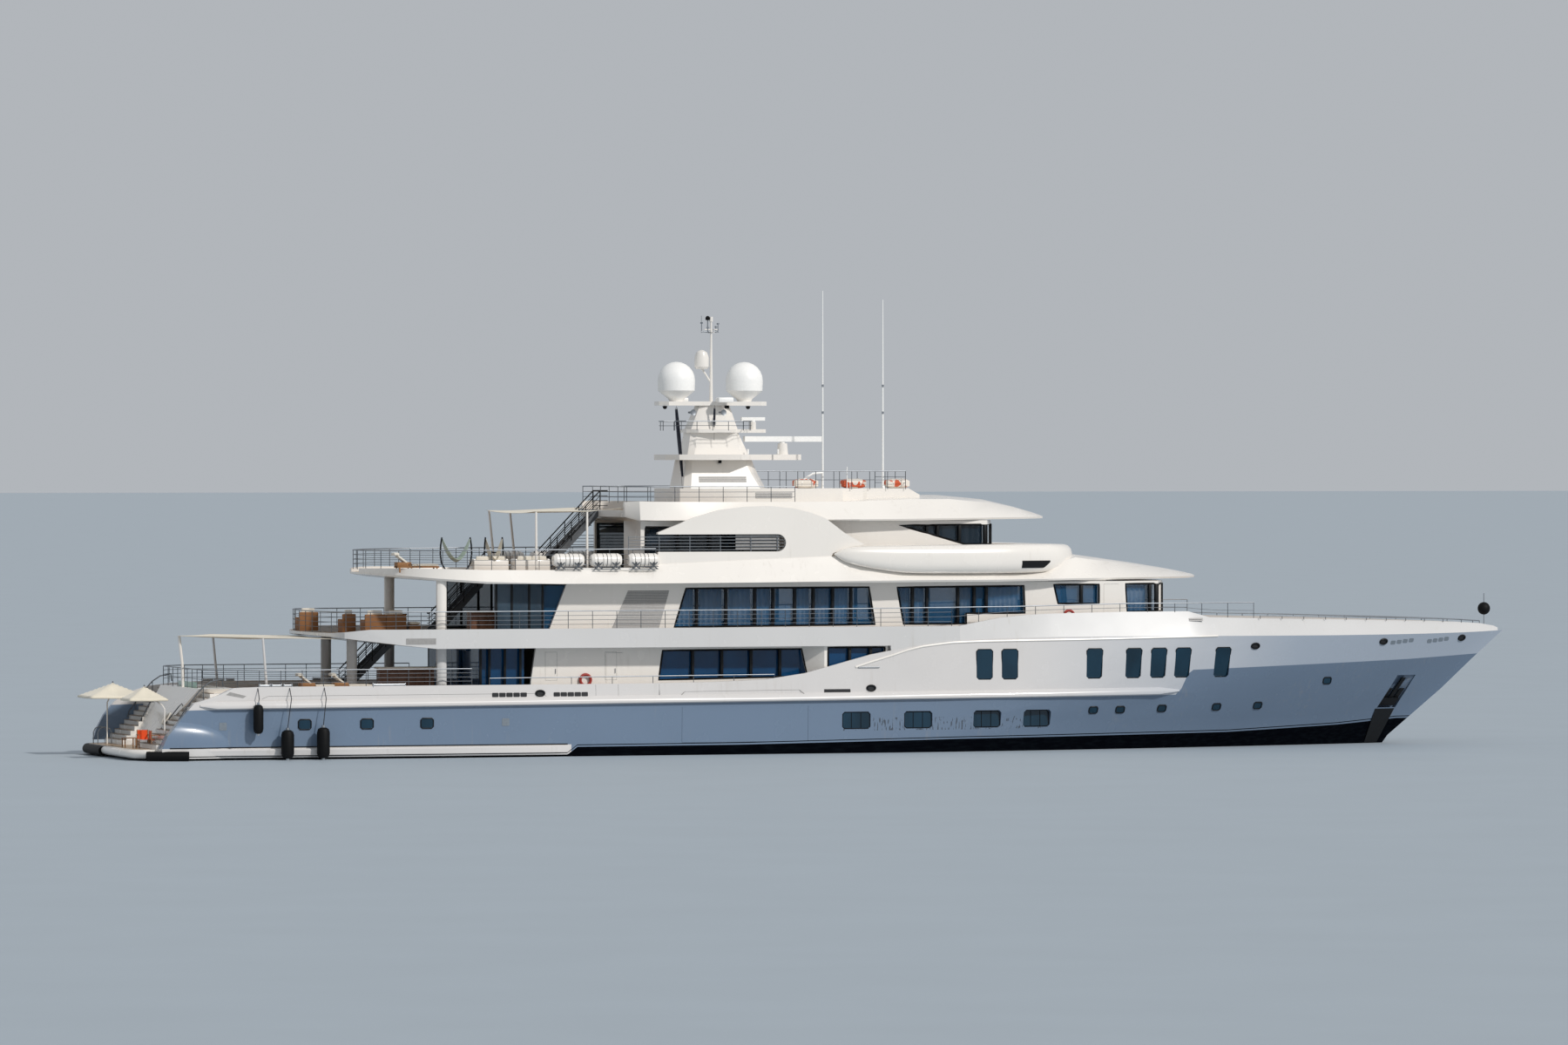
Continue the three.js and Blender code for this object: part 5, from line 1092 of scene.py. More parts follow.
# Rollers on the starboard bulwark: their ends along the ship
ROLLERS = ((-31.3, -30.77), (-30.68, -30.2), (-30.07, -29.67), (-25.56, -23.92))
ROLLER_HEIGHT = 3.64
SPONSON_STRIP = ((-35.9, 0.62), (-15.6, 0.62))
CHAFE_PLATE = ((29.15, 0.05), (29.95, 0.05), (30.75, 1.8), (29.5, 1.8))
LIFE_RINGS = ((-14.35, -4.87, 3.76), (11.2, -4.95, 6.8))
LIFE_RING_RADIUS = 0.27
# Columns: corners as (x, z) from the aft foot round, the node it lies on, from one slat to the next
LOUVRES = (
    (((-12.9, 6.31), (-10.45, 6.25), (-9.9, 8.23), (-12.04, 8.24)), "upper_deck_house", 0.065),
    (((-7.34, 13.58), (-4.84, 13.58), (-4.84, 13.97), (-7.34, 13.97)), "mast_lower", 0.1),
    (((-4.74, 12.78), (-2.8, 12.78), (-2.8, 13.1), (-4.74, 13.1)), "sun_deck_roof", 0.1),
    (((17.51, 6.5), (18.27, 6.5), (18.27, 6.7), (17.51, 6.72)), "forecastle", 0.08),
)
# Columns: proud of the wall, share of the distance between two slats
SLAT_SECTION = ((0.03, 0.4), (-0.015, 0.3), (-0.035, -0.4), (0.03, -0.3))


def add_louvre(bm, corners, node, pitch):
    """Sloping slats between two raked edges, on a node's side."""
    (aft_foot, low), (fore_foot, _), (fore_head, _), (aft_head, high) = corners
    for k in range(int((high - low) / pitch)):
        z = low + (k + 0.5) * pitch
        share = (z - low) / (high - low)
        ends = (between(aft_foot, aft_head, share), between(fore_foot, fore_head, share))
        y = min(on_side(node, x, z).y for x in ends)
        add_loft(bm, [[(x, y + a, z + b * pitch) for a, b in SLAT_SECTION] for x in ends])


class YACHT_OT_hull_trim(bpy.types.Operator):
    """Rubbing strips, chafe plates, rollers and the louvres of the ship's sides"""

    bl_idname = "yacht.hull_trim"
    bl_label = "Trim of the sides"

    def execute(self, context):
        dark, plates, louvre, rollers, rings, moulding = shapes(6)
        steps = [MOULDING[0][0] + MOULDING_STEP * k for k in range(50)]
        path = [on_side((*HULL_SIDE, "upper_deck"), x, read_off(MOULDING, x)) for x in steps]
        add_pipe(moulding, path, 0.055)
        add_strip(dark, "hull", SPONSON_STRIP, 0.05, 0.02)
        add_skin(plates, "hull", CHAFE_PLATE)
        for x0, x1 in ROLLERS:
            y = on_side("hull", (x0 + x1) / 2, 3.45).y + 0.1
            add_rod(rollers, (x0, y, ROLLER_HEIGHT), (x1, y, ROLLER_HEIGHT), 0.07, 12)
            for x in (x0, x1):
                add_box(rollers, around(x, 0.02), around(y, 0.09), (3.5, 3.72), 0.006)
        for row in LOUVRES:
            add_louvre(louvre, *row)
        for place in LIFE_RINGS:
            path = ring_path(place, (LIFE_RING_RADIUS, 0, 0), (0, 0, LIFE_RING_RADIUS))
            add_pipe(rings, path, 0.07, closed=True)
        finish_piece(moulding, "shoulder_moulding", "superstructure", both=True)
        finish_piece(dark, "sponson_strip", "black_rubber", both=True)
        finish_piece(plates, "chafe_plates", "black_frame", both=True)
        finish_piece(louvre, "louvres", "grey_louvre", both=True)
        finish_piece(rollers, "bulwark_rollers", "stainless", both=True)
        finish_piece(rings, "life_rings", "lifebuoy_red", both=True)
        return {"FINISHED"}


# Rails


# Paths of (x, y) along the starboard edges of the upper deck aft, of the bridge deck and of the stern quarter
UPPER_AFT_EDGE = (
    (-27.45, 0), (-27.45, -1.2), (-27.35, -2.5), (-27.05, -4.1), (-26.68, -4.95), (-26.0, -5.37),
    (-24, -5.72),
)
BRIDGE_EDGE = (
    (-24.78, 0), (-24.78, -0.9), (-24.5, -1.72), (-24.1, -2.55), (-23.52, -3.45), (-22.83, -4.2),
    (-22.05, -4.88), (-21, -5.27), (-19.7, -5.42), (-16, -5.45), (-11.2, -5.25), (-10.8, -5.2),
)
QUARTER = ((-33.75, -4.0), (-33.45, -4.75), (-32.7, -5.3))
# Columns: place along the ship, half-breadth of the roof's bulwark
ROOF_BULWARK = ((-11.9, 3.95), (-11.4, 4.4), (-10.6, 4.5), (-8, 4.5), (-5.4, 4.44), (-3.2, 4.4))
# Columns: place along the ship, height
FORE_BULWARK_TOP = ((21.6, 6.61), (26, 6.52), (29.5, 6.43), (32, 6.36), (34, 6.29), (35.6, 6.19))
MAIN_FOOT = ((-31, 3.57), (-12, 3.58), (-8, 3.62), (-4.8, 3.8))
MAIN_AFT_TOP = ((-31.2, 4.39), (-20.5, 4.39))
MAIN_TOP = ((-19.6, 3.91), (-4.8, 3.98))
UPPER_FOOT = (
    (-28, 6.16), (-26.6, 6.24), (-22, 6.33), (5, 6.33), (7.2, 6.73), (8.7, 6.87), (10, 6.92),
    (14, 6.99), (17.5, 6.98), (18.7, 6.68), (21.4, 6.6),
)
UPPER_TOP = ((-28, 7.2), (-5, 7.22), (8, 7.3), (14, 7.42), (21.4, 7.42))
BRIDGE_FOOT = ((-24.8, 9.28), (-22.9, 9.32), (-19.7, 9.25), (-16, 9.23), (-11.2, 9.24), (-10.7, 9.45))
BRIDGE_TOP = ((-24.8, 10.2), (-10.7, 10.28))
# Foot and top of level rails
STERN_RAIL = (3.45, 4.39)
ROOF_RAIL = (12.58, 13.37)
COACH_RAIL = (13.25, 14.14)
# The coach roof's rail: places along the ship, distance from the centreline
COACH_POSTS = (-3.4, -1.1, 1.2, 3.3)
COACH_HALF = 2.42
ROOF_GAP = (0.7, 2.1)  # where the stair comes through the roof's aft rail
# Shares of a rail's height that have a bar
THREE_BARS = (0.25, 0.5, 0.75)
TWO_BARS = (0.33, 0.66)
ONE_BAR = (0.5,)


def edge_path(node, z, inset, first, last, step=1.0):
    """A path of (x, y) inside a node's starboard edge."""
    count = max(round(abs(last - first) / step), 1)
    places = [between(first, last, k / count) for k in range(count + 1)]
    return [(x, on_side(node, x, z).y + inset) for x in places]


def level(height):
    """A table for a rail's end that is level."""
    return ((0, height),)


def add_rail(tops, posts, path, foot, top, bars=(), spacing=None):
    """A handrail with its bars and posts along a path of (x, y). Its foot and top are rows of (x, z)."""
    radius, thin = sizes().rail_radius, sizes().bar_radius

    def line(share):
        return [(x, y, read_off(foot, x) * (1 - share) + read_off(top, x) * share) for x, y in path]

    add_pipe(tops, line(1), radius)
    if bars:
        add_tubes(posts, [line(share) for share in bars], thin, 6)
    for x, y in spaced(path, spacing or sizes().post_spacing):
        add_rod(posts, (x, y, read_off(foot, x) - 0.03), (x, y, read_off(top, x) - 0.01), thin * 1.3, 8)


def add_closing(tops, posts, x, ends, foot, top):
    """A level rail straight across the ship."""
    add_rail(tops, posts, [(x, y) for y in ends], level(foot), level(top), TWO_BARS)


class YACHT_OT_rails(bpy.types.Operator):
    """Guard rails of every deck"""

    bl_idname = "yacht.rails"
    bl_label = "Guard rails"

    def execute(self, context):
        tops, posts, middle_tops, middle_posts = shapes(4)
        aft = [*QUARTER, *edge_path("hull", 3.45, 0.11, -31.6, -20.5)]
        add_rail(tops, posts, aft, MAIN_FOOT, MAIN_AFT_TOP, THREE_BARS, 1.05)
        add_rail(tops, posts, edge_path("hull", 3.45, 0.11, -19.6, -4.8), MAIN_FOOT, MAIN_TOP, (), 2.1)
        side = edge_path("upper_deck", 6.12, 0.11, -22, 4.6, 0.8)
        fore = edge_path("forecastle", 6.3, 0.2, 6, 21.3)
        add_rail(tops, posts, [*UPPER_AFT_EDGE, *side], UPPER_FOOT, UPPER_TOP, THREE_BARS, 1.25)
        add_rail(tops, posts, [side[-1], *fore], UPPER_FOOT, UPPER_TOP, ONE_BAR)
        add_rail(tops, posts, BRIDGE_EDGE, BRIDGE_FOOT, BRIDGE_TOP, THREE_BARS, 1.25)
        roof = [(x, -half + 0.12) for x, half in ROOF_BULWARK]
        foot, top = (level(height) for height in ROOF_RAIL)
        add_rail(tops, posts, roof, foot, top, TWO_BARS, 1.2)
        x, edge = roof[0]
        for ends in ((edge, ROOF_GAP[0]), (ROOF_GAP[1], -edge)):
            add_closing(middle_tops, middle_posts, x, ends, *ROOF_RAIL)
        foot, top = (level(height) for height in COACH_RAIL)
        add_rail(tops, posts, [(x, -COACH_HALF) for x in COACH_POSTS], foot, top, ONE_BAR, 1.0)
        add_closing(middle_tops, middle_posts, COACH_POSTS[-1], (-COACH_HALF, COACH_HALF), *COACH_RAIL)
        x, edge = QUARTER[0]
        foot, top = (level(height) for height in STERN_RAIL)
        add_rail(middle_tops, middle_posts, [(x, y) for y in (edge, 0, -edge)], foot, top, ONE_BAR, 1.0)
        low = edge_path("forecastle", 6.1, 0.1, 21.6, 35.6, 1.4)
        raised = [(x, z + 0.13) for x, z in FORE_BULWARK_TOP]
        add_rail(tops, posts, low, FORE_BULWARK_TOP, raised, (), 1.4)
        finish_piece(tops, "guard_rails", "rail_steel", both=True)
        finish_piece(posts, "guard_rail_posts", "dark_steel", both=True)
        finish_piece(middle_tops, "guard_rails_across", "rail_steel")
        finish_piece(middle_posts, "guard_rail_posts_across", "dark_steel")
        return {"FINISHED"}


# Soft goods


def add_patch(bm, place, across, along):
    """A sheet with a point for every pair of shares from -1 to 1, in so many faces each way."""
    made = bmesh.new()
    bmesh.ops.create_grid(made, x_segments=across, y_segments=along, size=1)
    for vert in made.verts:
        vert.co = place(vert.co.x, vert.co.y)
    add_mesh_of(bm, made)


def finish_cloth(bm, name, material, thick_m, flat, rests_on, stands_for=()):
    """A sheet of cloth, thickened, which hides the nodes it stands for; flat is the size it was cut to, in
    the yacht's metres.
    """
    piece = finish_piece(bm, name, material, angle=80)
    thicken(piece, thick_m)
    width, length = (side * MODEL_SCALE for side in flat)
    list(rests_on)
    if stands_for:
        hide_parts(*stands_for)


# Columns: rows from aft to fore, each a starboard, a port and a middle point, then how far the sides curve in
# between two rows, the size of the flat cloth, and what it rests on
AWNINGS = {
    "awning_aft": (
        (
            ((-34.0, -0.12, 5.985), (-34.0, 0.12, 5.985), (-34.02, 0, 5.985)),
            ((-30.92, -4.7, 5.965), (-31.16, 4.7, 5.965), (-31.0, 0, 5.83)),
            ((-26.62, -4.6, 5.862), (-26.62, 4.6, 5.862), (-27.3, 0, 5.895)),
        ),
        (0.5, 0.42),
        (9.6, 7.6),
        ("transom", "hull", "upper_deck"),
    ),
    "awning_bridge": (
        (
            ((-16.83, -4.3, 12.148), (-16.86, 4.3, 12.156), (-16.75, 0, 12.04)),
            ((-13.97, -4.3, 12.148), (-15.56, 4.3, 12.148), (-14.6, 0, 12.08)),
            ((-12.0, -3.6, 12.315), (-12.0, 3.6, 12.315), (-13.5, 0, 12.16)),
        ),
        (0.5, 0.12),
        (8.8, 5.0),
        ("bridge_deck", "sun_deck_roof"),
    ),
}


def awning_point(rows, pinch, u, v):
    """A point of an awning: u from its aft edge to its fore one, v from starboard to port."""
    share = (u + 1) / 2 * (len(rows) - 1)
    k = min(int(share), len(rows) - 2)
    step = share - k
    ends = [Vector(a).lerp(Vector(b), step) for a, b in zip(rows[k], rows[k + 1])]
    edge, middle = ends[0 if v < 0 else 1], ends[2]
    edge.y *= 1 - pinch[k] * 4 * step * (1 - step) / max(abs(edge.y), 1)
    point = middle.lerp(edge, abs(v))
    point.z = middle.z + (edge.z - middle.z) * abs(v) ** 2.4
    return point


# Columns: x, y, half-width, height of the rim, height of the top, what carries it
PARASOLS = {
    "parasol_port": (-36.64, 2.75, 1.46, 2.95, 3.62, "swim_platform"),
    "parasol_starboard": (-36.46, -3.2, 0.97, 2.97, 3.6, "transom"),
}
VALANCE = 0.09
# Turned parts of a parasol, as (radius, height over its top)
RUNNER = ((0, -0.3), (0.05, -0.3), (0.07, -0.2), (0.07, -0.06), (0, -0.05))
FINIAL = ((0, -0.02), (0.045, -0.01), (0.03, 0.05), (0, 0.07))

# Fenders, as in the construction. Columns: x, y, foot, head, radius, how far forward its rope leads
FENDERS = (
    (-31.5, -6.3747, 1.29, 2.74, 0.25, 0.1),
    (-30.05, -6.4788, 0.06, 1.49, 0.32, 0.25),
    (-28.25, -6.5016, 0.06, 1.6, 0.32, 0.2),
)


def parasol_point(x, y, half, rim, top, u, v):
    """A point of a square canopy, whose four panels are hollowed a little between their ribs."""
    out = max(abs(u), abs(v))
    off_rib = 1 - min(abs(u), abs(v)) / out if out else 0
    sink = 0.07 * half * off_rib * math.sin(math.pi * min(out, 0.95))
    return (x + u * half, y + v * half, rim + (top - rim) * (1 - out) - sink)


class YACHT_OT_soft_goods(bpy.types.Operator):
    """Awnings and parasols, and the ropes of the fenders"""

    bl_idname = "yacht.soft_goods"
    bl_label = "Awnings and parasols"

    def execute(self, context):
        for name, (rows, pinch, flat, rests_on) in AWNINGS.items():
            bm = bmesh.new()
            add_patch(bm, lambda u, v: awning_point(rows, pinch, u, v), 28, 28)
            finish_cloth(bm, f"{name}_cloth", "canvas", 0.006, flat, rests_on, (name,))
        ribs = bmesh.new()
        for name, (*place, carrier) in PARASOLS.items():
            bm = bmesh.new()
            add_patch(bm, lambda u, v: parasol_point(*place, u, v), 16, 16)
            rims = [e for e in bm.edges if e.is_boundary]
            drop = only(bmesh.types.BMVert, bmesh.ops.extrude_edge_only(bm, edges=rims)["geom"])
            bmesh.ops.translate(bm, verts=drop, vec=(0, 0, -VALANCE))
            side = 2 * place[2] + 0.12
            flat = (side, side * 1.06)
            finish_cloth(bm, f"{name}_cloth", "canvas", 0.004, flat, (carrier,), (name,))
            self.add_ribs(ribs, *place)
        finish_piece(ribs, "parasol_frames", "dark_steel")
        self.add_fender_ropes()
        return {"FINISHED"}

    @staticmethod
    def add_ribs(bm, x, y, half, rim_height, top):
        hub = Vector((x, y, top - 0.12))
        for a in (-1, 1):
            for b in (-1, 1):
                corner = Vector((x + a * (half - 0.03), y + b * (half - 0.03), rim_height - 0.03))
                add_rod(bm, hub, corner, 0.014, 6)
        add_turned(bm, RUNNER, (x, y, top), 12)
        add_turned(bm, FINIAL, (x, y, top), 10)

    @staticmethod
    def add_fender_ropes():
        ropes, caps = bmesh.new(), bmesh.new()
        for x, y, foot, head, radius, fore in FENDERS:
            rail = on_side("hull", x, 3.4).y
            top = x + fore
            path = [(x, y, head + 0.06), (top - 0.03, y + 0.1, 3.0)]
            path += [(top, rail - 0.04, 3.45), (top, rail + 0.1, 3.62)]
            add_pipe(ropes, path, 0.022, 6)
            for low, high in ((head - 0.02, head + 0.1), (foot - 0.08, foot + 0.02)):
                add_rod(caps, (x, y, low), (x, y, high), radius * 0.28, 10)
        finish_piece(ropes, "fender_ropes", "rope")
        finish_piece(caps, "fender_eyes", "stainless")


# Stern

# Steps of the stern stairs: fore-and-aft place of the first, then height and depth of each
STAIR_FOOT = -36.4
STAIR_RISE = 0.225
STAIR_TREAD = 0.245
STAIR_STEPS = 12
# Columns: x, y, z of the handrails beside the stern stairs, on the starboard side
OUTER_HANDRAIL = (
    (-33.0, -5.3, 3.6), (-33.05, -5.3, 3.96), (-33.6, -5.3, 3.86), (-34.0, -5.3, 3.6), (-34.35, -5.3, 3.22),
    (-34.85, -5.32, 2.6), (-35.2, -5.34, 2.08), (-35.28, -5.36, 1.8),
)
INNER_HANDRAIL = (
    (-34.5, -3.1, 2.6), (-34.55, -3.12, 2.72), (-34.7, -3.05, 2.55), (-35.2, -2.65, 1.8),
    (-35.72, -2.25, 1.08), (-35.8, -2.2, 0.8),
)
# Rubber bumpers round the platform, as paths along its after edge to port and its starboard corner
BUMPERS = (
    ((-37.62, 0.7, 0.3), (-37.62, 4.2, 0.3), (-37.42, 5.0, 0.3), (-36.8, 5.55, 0.3)),
    ((-36.95, -5.75, 0.24), (-36.3, -6.05, 0.24), (-35.0, -6.45, 0.24)),
)
PLATFORM_EDGE = ((-37.55, 0.6, 0.34), (-37.55, -4.2, 0.34), (-37.35, -4.95, 0.34), (-36.75, -5.5, 0.34))


POOL_GLASS = ((-33.5, -33.46), (-1.88, 1.88), (3.3, 3.72))
# Boarding hoops: places across the ship, then (x, height)
HOOPS = (3.6, 4.6)
HOOP = ((-37.2, 0.5), (-37.2, 1.1), (-37.1, 1.3), (-36.85, 1.38), (-36.6, 1.3), (-36.5, 1.1), (-36.5, 0.5))
# The life ring on the transom's slope
STERN_RING = (-35.13, -2.3, 1.95)
STERN_RING_RADIUS = 0.31
TRANSOM_FACING = (-0.81, 0, 0.59)


def transom_half(z):
    """Half-breadth of the transom's sloping face at a height."""
    return 1.75 + 2.25 * (z - PLATFORM_TOP) / 2.9


class YACHT_OT_stern(bpy.types.Operator):
    """Stair treads, handrails, pool glass, bumpers and boarding hoops"""

    bl_idname = "yacht.stern"
    bl_label = "Stern and swim platform"

    def execute(self, context):
        treads, rails, bumpers, edge, glass, rings, hoops = shapes(7)
        for k in range(STAIR_STEPS):
            top = PLATFORM_TOP + (k + 1) * STAIR_RISE
            x = STAIR_FOOT + k * STAIR_TREAD
            across = (-5.4, -transom_half(top) - 0.05)
            add_box(treads, (x - 0.03, x + STAIR_TREAD - 0.02), across, (top, top + 0.03), 0.01)
        for path in (OUTER_HANDRAIL, INNER_HANDRAIL):
            add_pipe(rails, path, 0.032)
            for x, y, z in (path[3], path[5]):
                add_rod(rails, (x, y, z - 0.75), (x, y, z), 0.02)
        for path in BUMPERS:
            add_pipe(bumpers, path, 0.235, 14)
        add_pipe(edge, PLATFORM_EDGE, 0.19, 14)
        add_box(glass, *POOL_GLASS, 0.008)
        for y in HOOPS:
            add_pipe(hoops, [(x, y, z) for x, z in HOOP], 0.025)
        turn = Vector(TRANSOM_FACING).to_track_quat("Z", "Y")
        across, up = (turn @ Vector(axis) * STERN_RING_RADIUS for axis in ((1, 0, 0), (0, 1, 0)))
        add_pipe(rings, ring_path(STERN_RING, across, up, 28), 0.065, closed=True)
        finish_piece(treads, "stern_stair_treads", "weathered_teak", both=True)
        finish_piece(rails, "stern_handrails", "dark_steel", both=True)
        finish_piece(bumpers, "platform_bumpers", "black_rubber")
        finish_piece(edge, "platform_edge_tube", "superstructure")
        finish_piece(glass, "pool_glass", "green_glass")
        finish_piece(hoops, "boarding_hoops", "rail_steel")
        finish_piece(rings, "stern_life_ring", "stone_top")
        return {"FINISHED"}


# Stairs between the decks: x of foot, y, run, low, high
FLIGHTS = (
    (-25.3, 1.4, 2.9, POOL_DECK, UPPER_DECK),
    (-20.6, 1.4, 3.0, 6.04, BRIDGE_DECK),
    (-15.0, 1.4, 3.1, BRIDGE_DECK, SUN_DECK),
)
FLIGHT_HALF = 0.6  # from a flight's middle to its handrails
# Columns: height over the steps, radius
FLIGHT_BARS = ((0.95, 0.035), (0.7, 0.018), (0.45, 0.018), (0.2, 0.018))
FLIGHT_POSTS = 5


class YACHT_OT_stair_rails(bpy.types.Operator):
    """Handrails of the stairs between the decks"""

    bl_idname = "yacht.stair_rails"
    bl_label = "Stair rails"

    def execute(self, context):
        bm = bmesh.new()
        end = Vector((0.4, 0, 0))
        for x, y, run, low, high in FLIGHTS:
            for side in (y - FLIGHT_HALF, y + FLIGHT_HALF):
                foot, head = Vector((x + 0.1, side, low)), Vector((x + run, side, high))
                for lift, radius in FLIGHT_BARS:
                    rise = Vector((0, 0, lift))
                    first, last = foot + rise, head + rise
                    add_pipe(bm, (first - end * 0.3, first, last, last + end), radius)
                for k in range(FLIGHT_POSTS):
                    place = foot.lerp(head, k / (FLIGHT_POSTS - 1))
                    add_rod(bm, place, place + Vector((0, 0, FLIGHT_BARS[0][0])), 0.024)
        finish_piece(bm, "stair_handrails", "black_frame")
        return {"FINISHED"}


# Furniture


def add_cushion(bm, x, y, z, turn=None):
    """A stuffed cushion between two ends along each axis: crowned faces that thin towards a rounded seam."""
    made = bmesh.new()
    bmesh.ops.create_cube(made, size=2)
    bmesh.ops.subdivide_edges(made, edges=made.edges[:], cuts=5, use_grid_fill=True)
    half = [(high - low) / 2 for low, high in (x, y, z)]
    centre = [(high + low) / 2 for low, high in (x, y, z)]
    thin = half.index(min(half))
    flat = [axis for axis in range(3) if axis != thin]
    for vert in made.verts:
        a, b = (vert.co[axis] for axis in flat)
        vert.co[thin] *= 1 - 0.42 * max(abs(a), abs(b)) ** 4
        vert.co[flat[0]] *= 1 - 0.06 * b * b
        vert.co[flat[1]] *= 1 - 0.06 * a * a
        vert.co = Vector(h * c for h, c in zip(half, vert.co))
    matrix = Matrix.Translation(centre)
    if turn:
        matrix = matrix @ Matrix.Rotation(math.radians(turn[1]), 4, turn[0])
    add_mesh_of(bm, made, matrix)


# Columns: x ends, y of the back, way it faces (1 to port), floor
UPPER_SOFAS = (
    (-27.2, -26.2, 2.2, 1, UPPER_DECK_AFT), (-25.6, -24.9, -0.2, 1, 6.1), (-24.9, -23.8, -1.9, 1, 6.1),
    (-23.8, -22.75, -1.9, 1, 6.1),
)
BRIDGE_SOFAS = ((-19.75, -17.95, -3.6, 1, 9.12), (-17.6, -15.8, -3.6, 1, 9.12))
# Columns: x ends, y ends, z ends of a bar's front
BARS = (((-24.55, -21.75), (-3.45, -2.75), (2.92, 4.36)), ((-19.9, -16.75), (-3.45, -2.75), (6.06, 7.12)))
BAR_PANEL = 0.45  # width of a front's panels, about
# A bar stool, as (radius, height over the seat's underside) and (radius, height over the floor)
STOOL_SEAT = ((0, 0), (0.17, 0), (0.18, 0.04), (0.15, 0.08), (0, 0.09))
STOOL_FOOT = ((0, 0), (0.2, 0), (0.18, 0.03), (0, 0.04))
STOOLS = 3
# Columns: x of the foot and of the head, y, floor
LOUNGERS = ((-21.6, -23.75, -3.5, 9.12), (-26.9, -28.85, -4.2, 3.2), (-25.2, -27.15, -4.2, 3.2))
LOUNGER_HALF = 0.35
LOUNGER_SLATS = 12
PLATFORM_TABLE = ((-37.05, -36.4), (-1.45, -0.75), (0.97, 1.0))


def add_sofa(frame_bm, cushions, x0, x1, back, way, floor, height=1.02):
    """A deep seat with its back along one side: a woven or slatted frame and loose cushions."""

    def span(near, far):
        return tuple(sorted((back + way * near, back + way * far)))

    add_box(frame_bm, (x0 + 0.01, x1 - 0.01), span(0.02, 0.93), (floor - 0.02, floor + 0.36), 0.02)
    add_box(frame_bm, (x0, x1), span(0.0, 0.14), (floor + 0.06, floor + height - 0.1), 0.05)
    for x in (x0 - 0.01, x1 - 0.13):
        add_box(frame_bm, (x, x + 0.14), span(0.1, 0.95), (floor + 0.3, floor + 0.66), 0.05)
    inner = (x0 + 0.15, x1 - 0.15)
    count = max(round((inner[1] - inner[0]) / 0.85), 1)
    step = (inner[1] - inner[0]) / count
    for k in range(count):
        ends = (inner[0] + k * step + 0.01, inner[0] + (k + 1) * step - 0.01)
        add_cushion(cushions, ends, span(0.3, 0.94), (floor + 0.37, floor + 0.56))
        add_cushion(cushions, ends, span(0.13, 0.31), (floor + 0.5, floor + height + 0.1), ("X", way * 6))


def add_lounger(frame_bm, cushions, foot, head, y, floor):
    """A sun lounger along the ship with its head end raised."""
    way = 1 if head > foot else -1
    knee = head - way * 0.72

    def across(inset):
        return (y - LOUNGER_HALF + inset, y + LOUNGER_HALF - inset)

    def along(*ends):
        return tuple(sorted(ends))

    for edge in across(0.04):
        rail = around(edge, 0.035)
        add_box(frame_bm, along(foot, head), rail, (floor + 0.24, floor + 0.31), 0.01)
        for x in (foot + way * 0.12, knee, head - way * 0.12):
            add_box(frame_bm, around(x, 0.035), rail, (floor, floor + 0.26), 0.01)
    for k in range(LOUNGER_SLATS):
        x = between(foot, knee, (k + 0.5) / LOUNGER_SLATS)
        add_box(frame_bm, around(x, 0.035), across(0.04), (floor + 0.29, floor + 0.32))
    add_cushion(cushions, along(foot, knee), across(0.03), (floor + 0.32, floor + 0.44))
    middle = (knee + head) / 2
    raised = ("Y", -way * 38)
    add_cushion(cushions, around(middle, 0.42), across(0.03), (floor + 0.54, floor + 0.66), raised)
    add_cushion(cushions, (head - 0.16, head + 0.1), across(0.03), (floor + 0.84, floor + 1.0))
    add_box(frame_bm, along(knee, head), across(0.03), (floor + 0.31, floor + 0.52), 0.02)


# Columns: x, y, whether the chair faces the side
CHAIRS = ((-36.45, -3.0, True), (-36.1, -3.95, False))


def add_chair(wood, name, x, y, sideways):
    """A folding chair with arms, and its seat and back of one piece of canvas."""

    def place(along, across):
        return (x + across, y - along) if sideways else (x + along, y + across)

    def block(along, across, z):
        ends = [place(a, b) for a, b in zip(along, across)]
        add_box(wood, *(tuple(sorted(pair)) for pair in zip(*ends)), z, 0.006)

    def sling(u, v):
        share = (u + 1) / 2
        wide = 0.26 * v
        if share < 0.5:
            return (*place(0.22 - 0.44 * share * 2, wide), 0.99 - 0.03 * (1 - v * v))
        rise = (share - 0.5) * 2
        return (*place(-0.22 - 0.04 * rise, wide), 0.99 + 0.44 * rise)

    for side in (-0.27, 0.27):
        for end, top in ((-0.24, 1.45), (0.24, 1.2)):
            block(around(end, 0.02), around(side, 0.02), (PLATFORM_TOP, top))
        block((-0.27, 0.27), around(side, 0.03), (1.19, 1.22))
        for turn in (-1, 1):
            add_rod(wood, (*place(-turn * 0.24, side), 0.6), (*place(turn * 0.24, side), 1.0), 0.016, 6)
    bm = bmesh.new()
    add_patch(bm, sling, 16, 6)
    finish_cloth(bm, name, "orange_canvas", 0.002, (0.52, 0.89), ("swim_platform",))


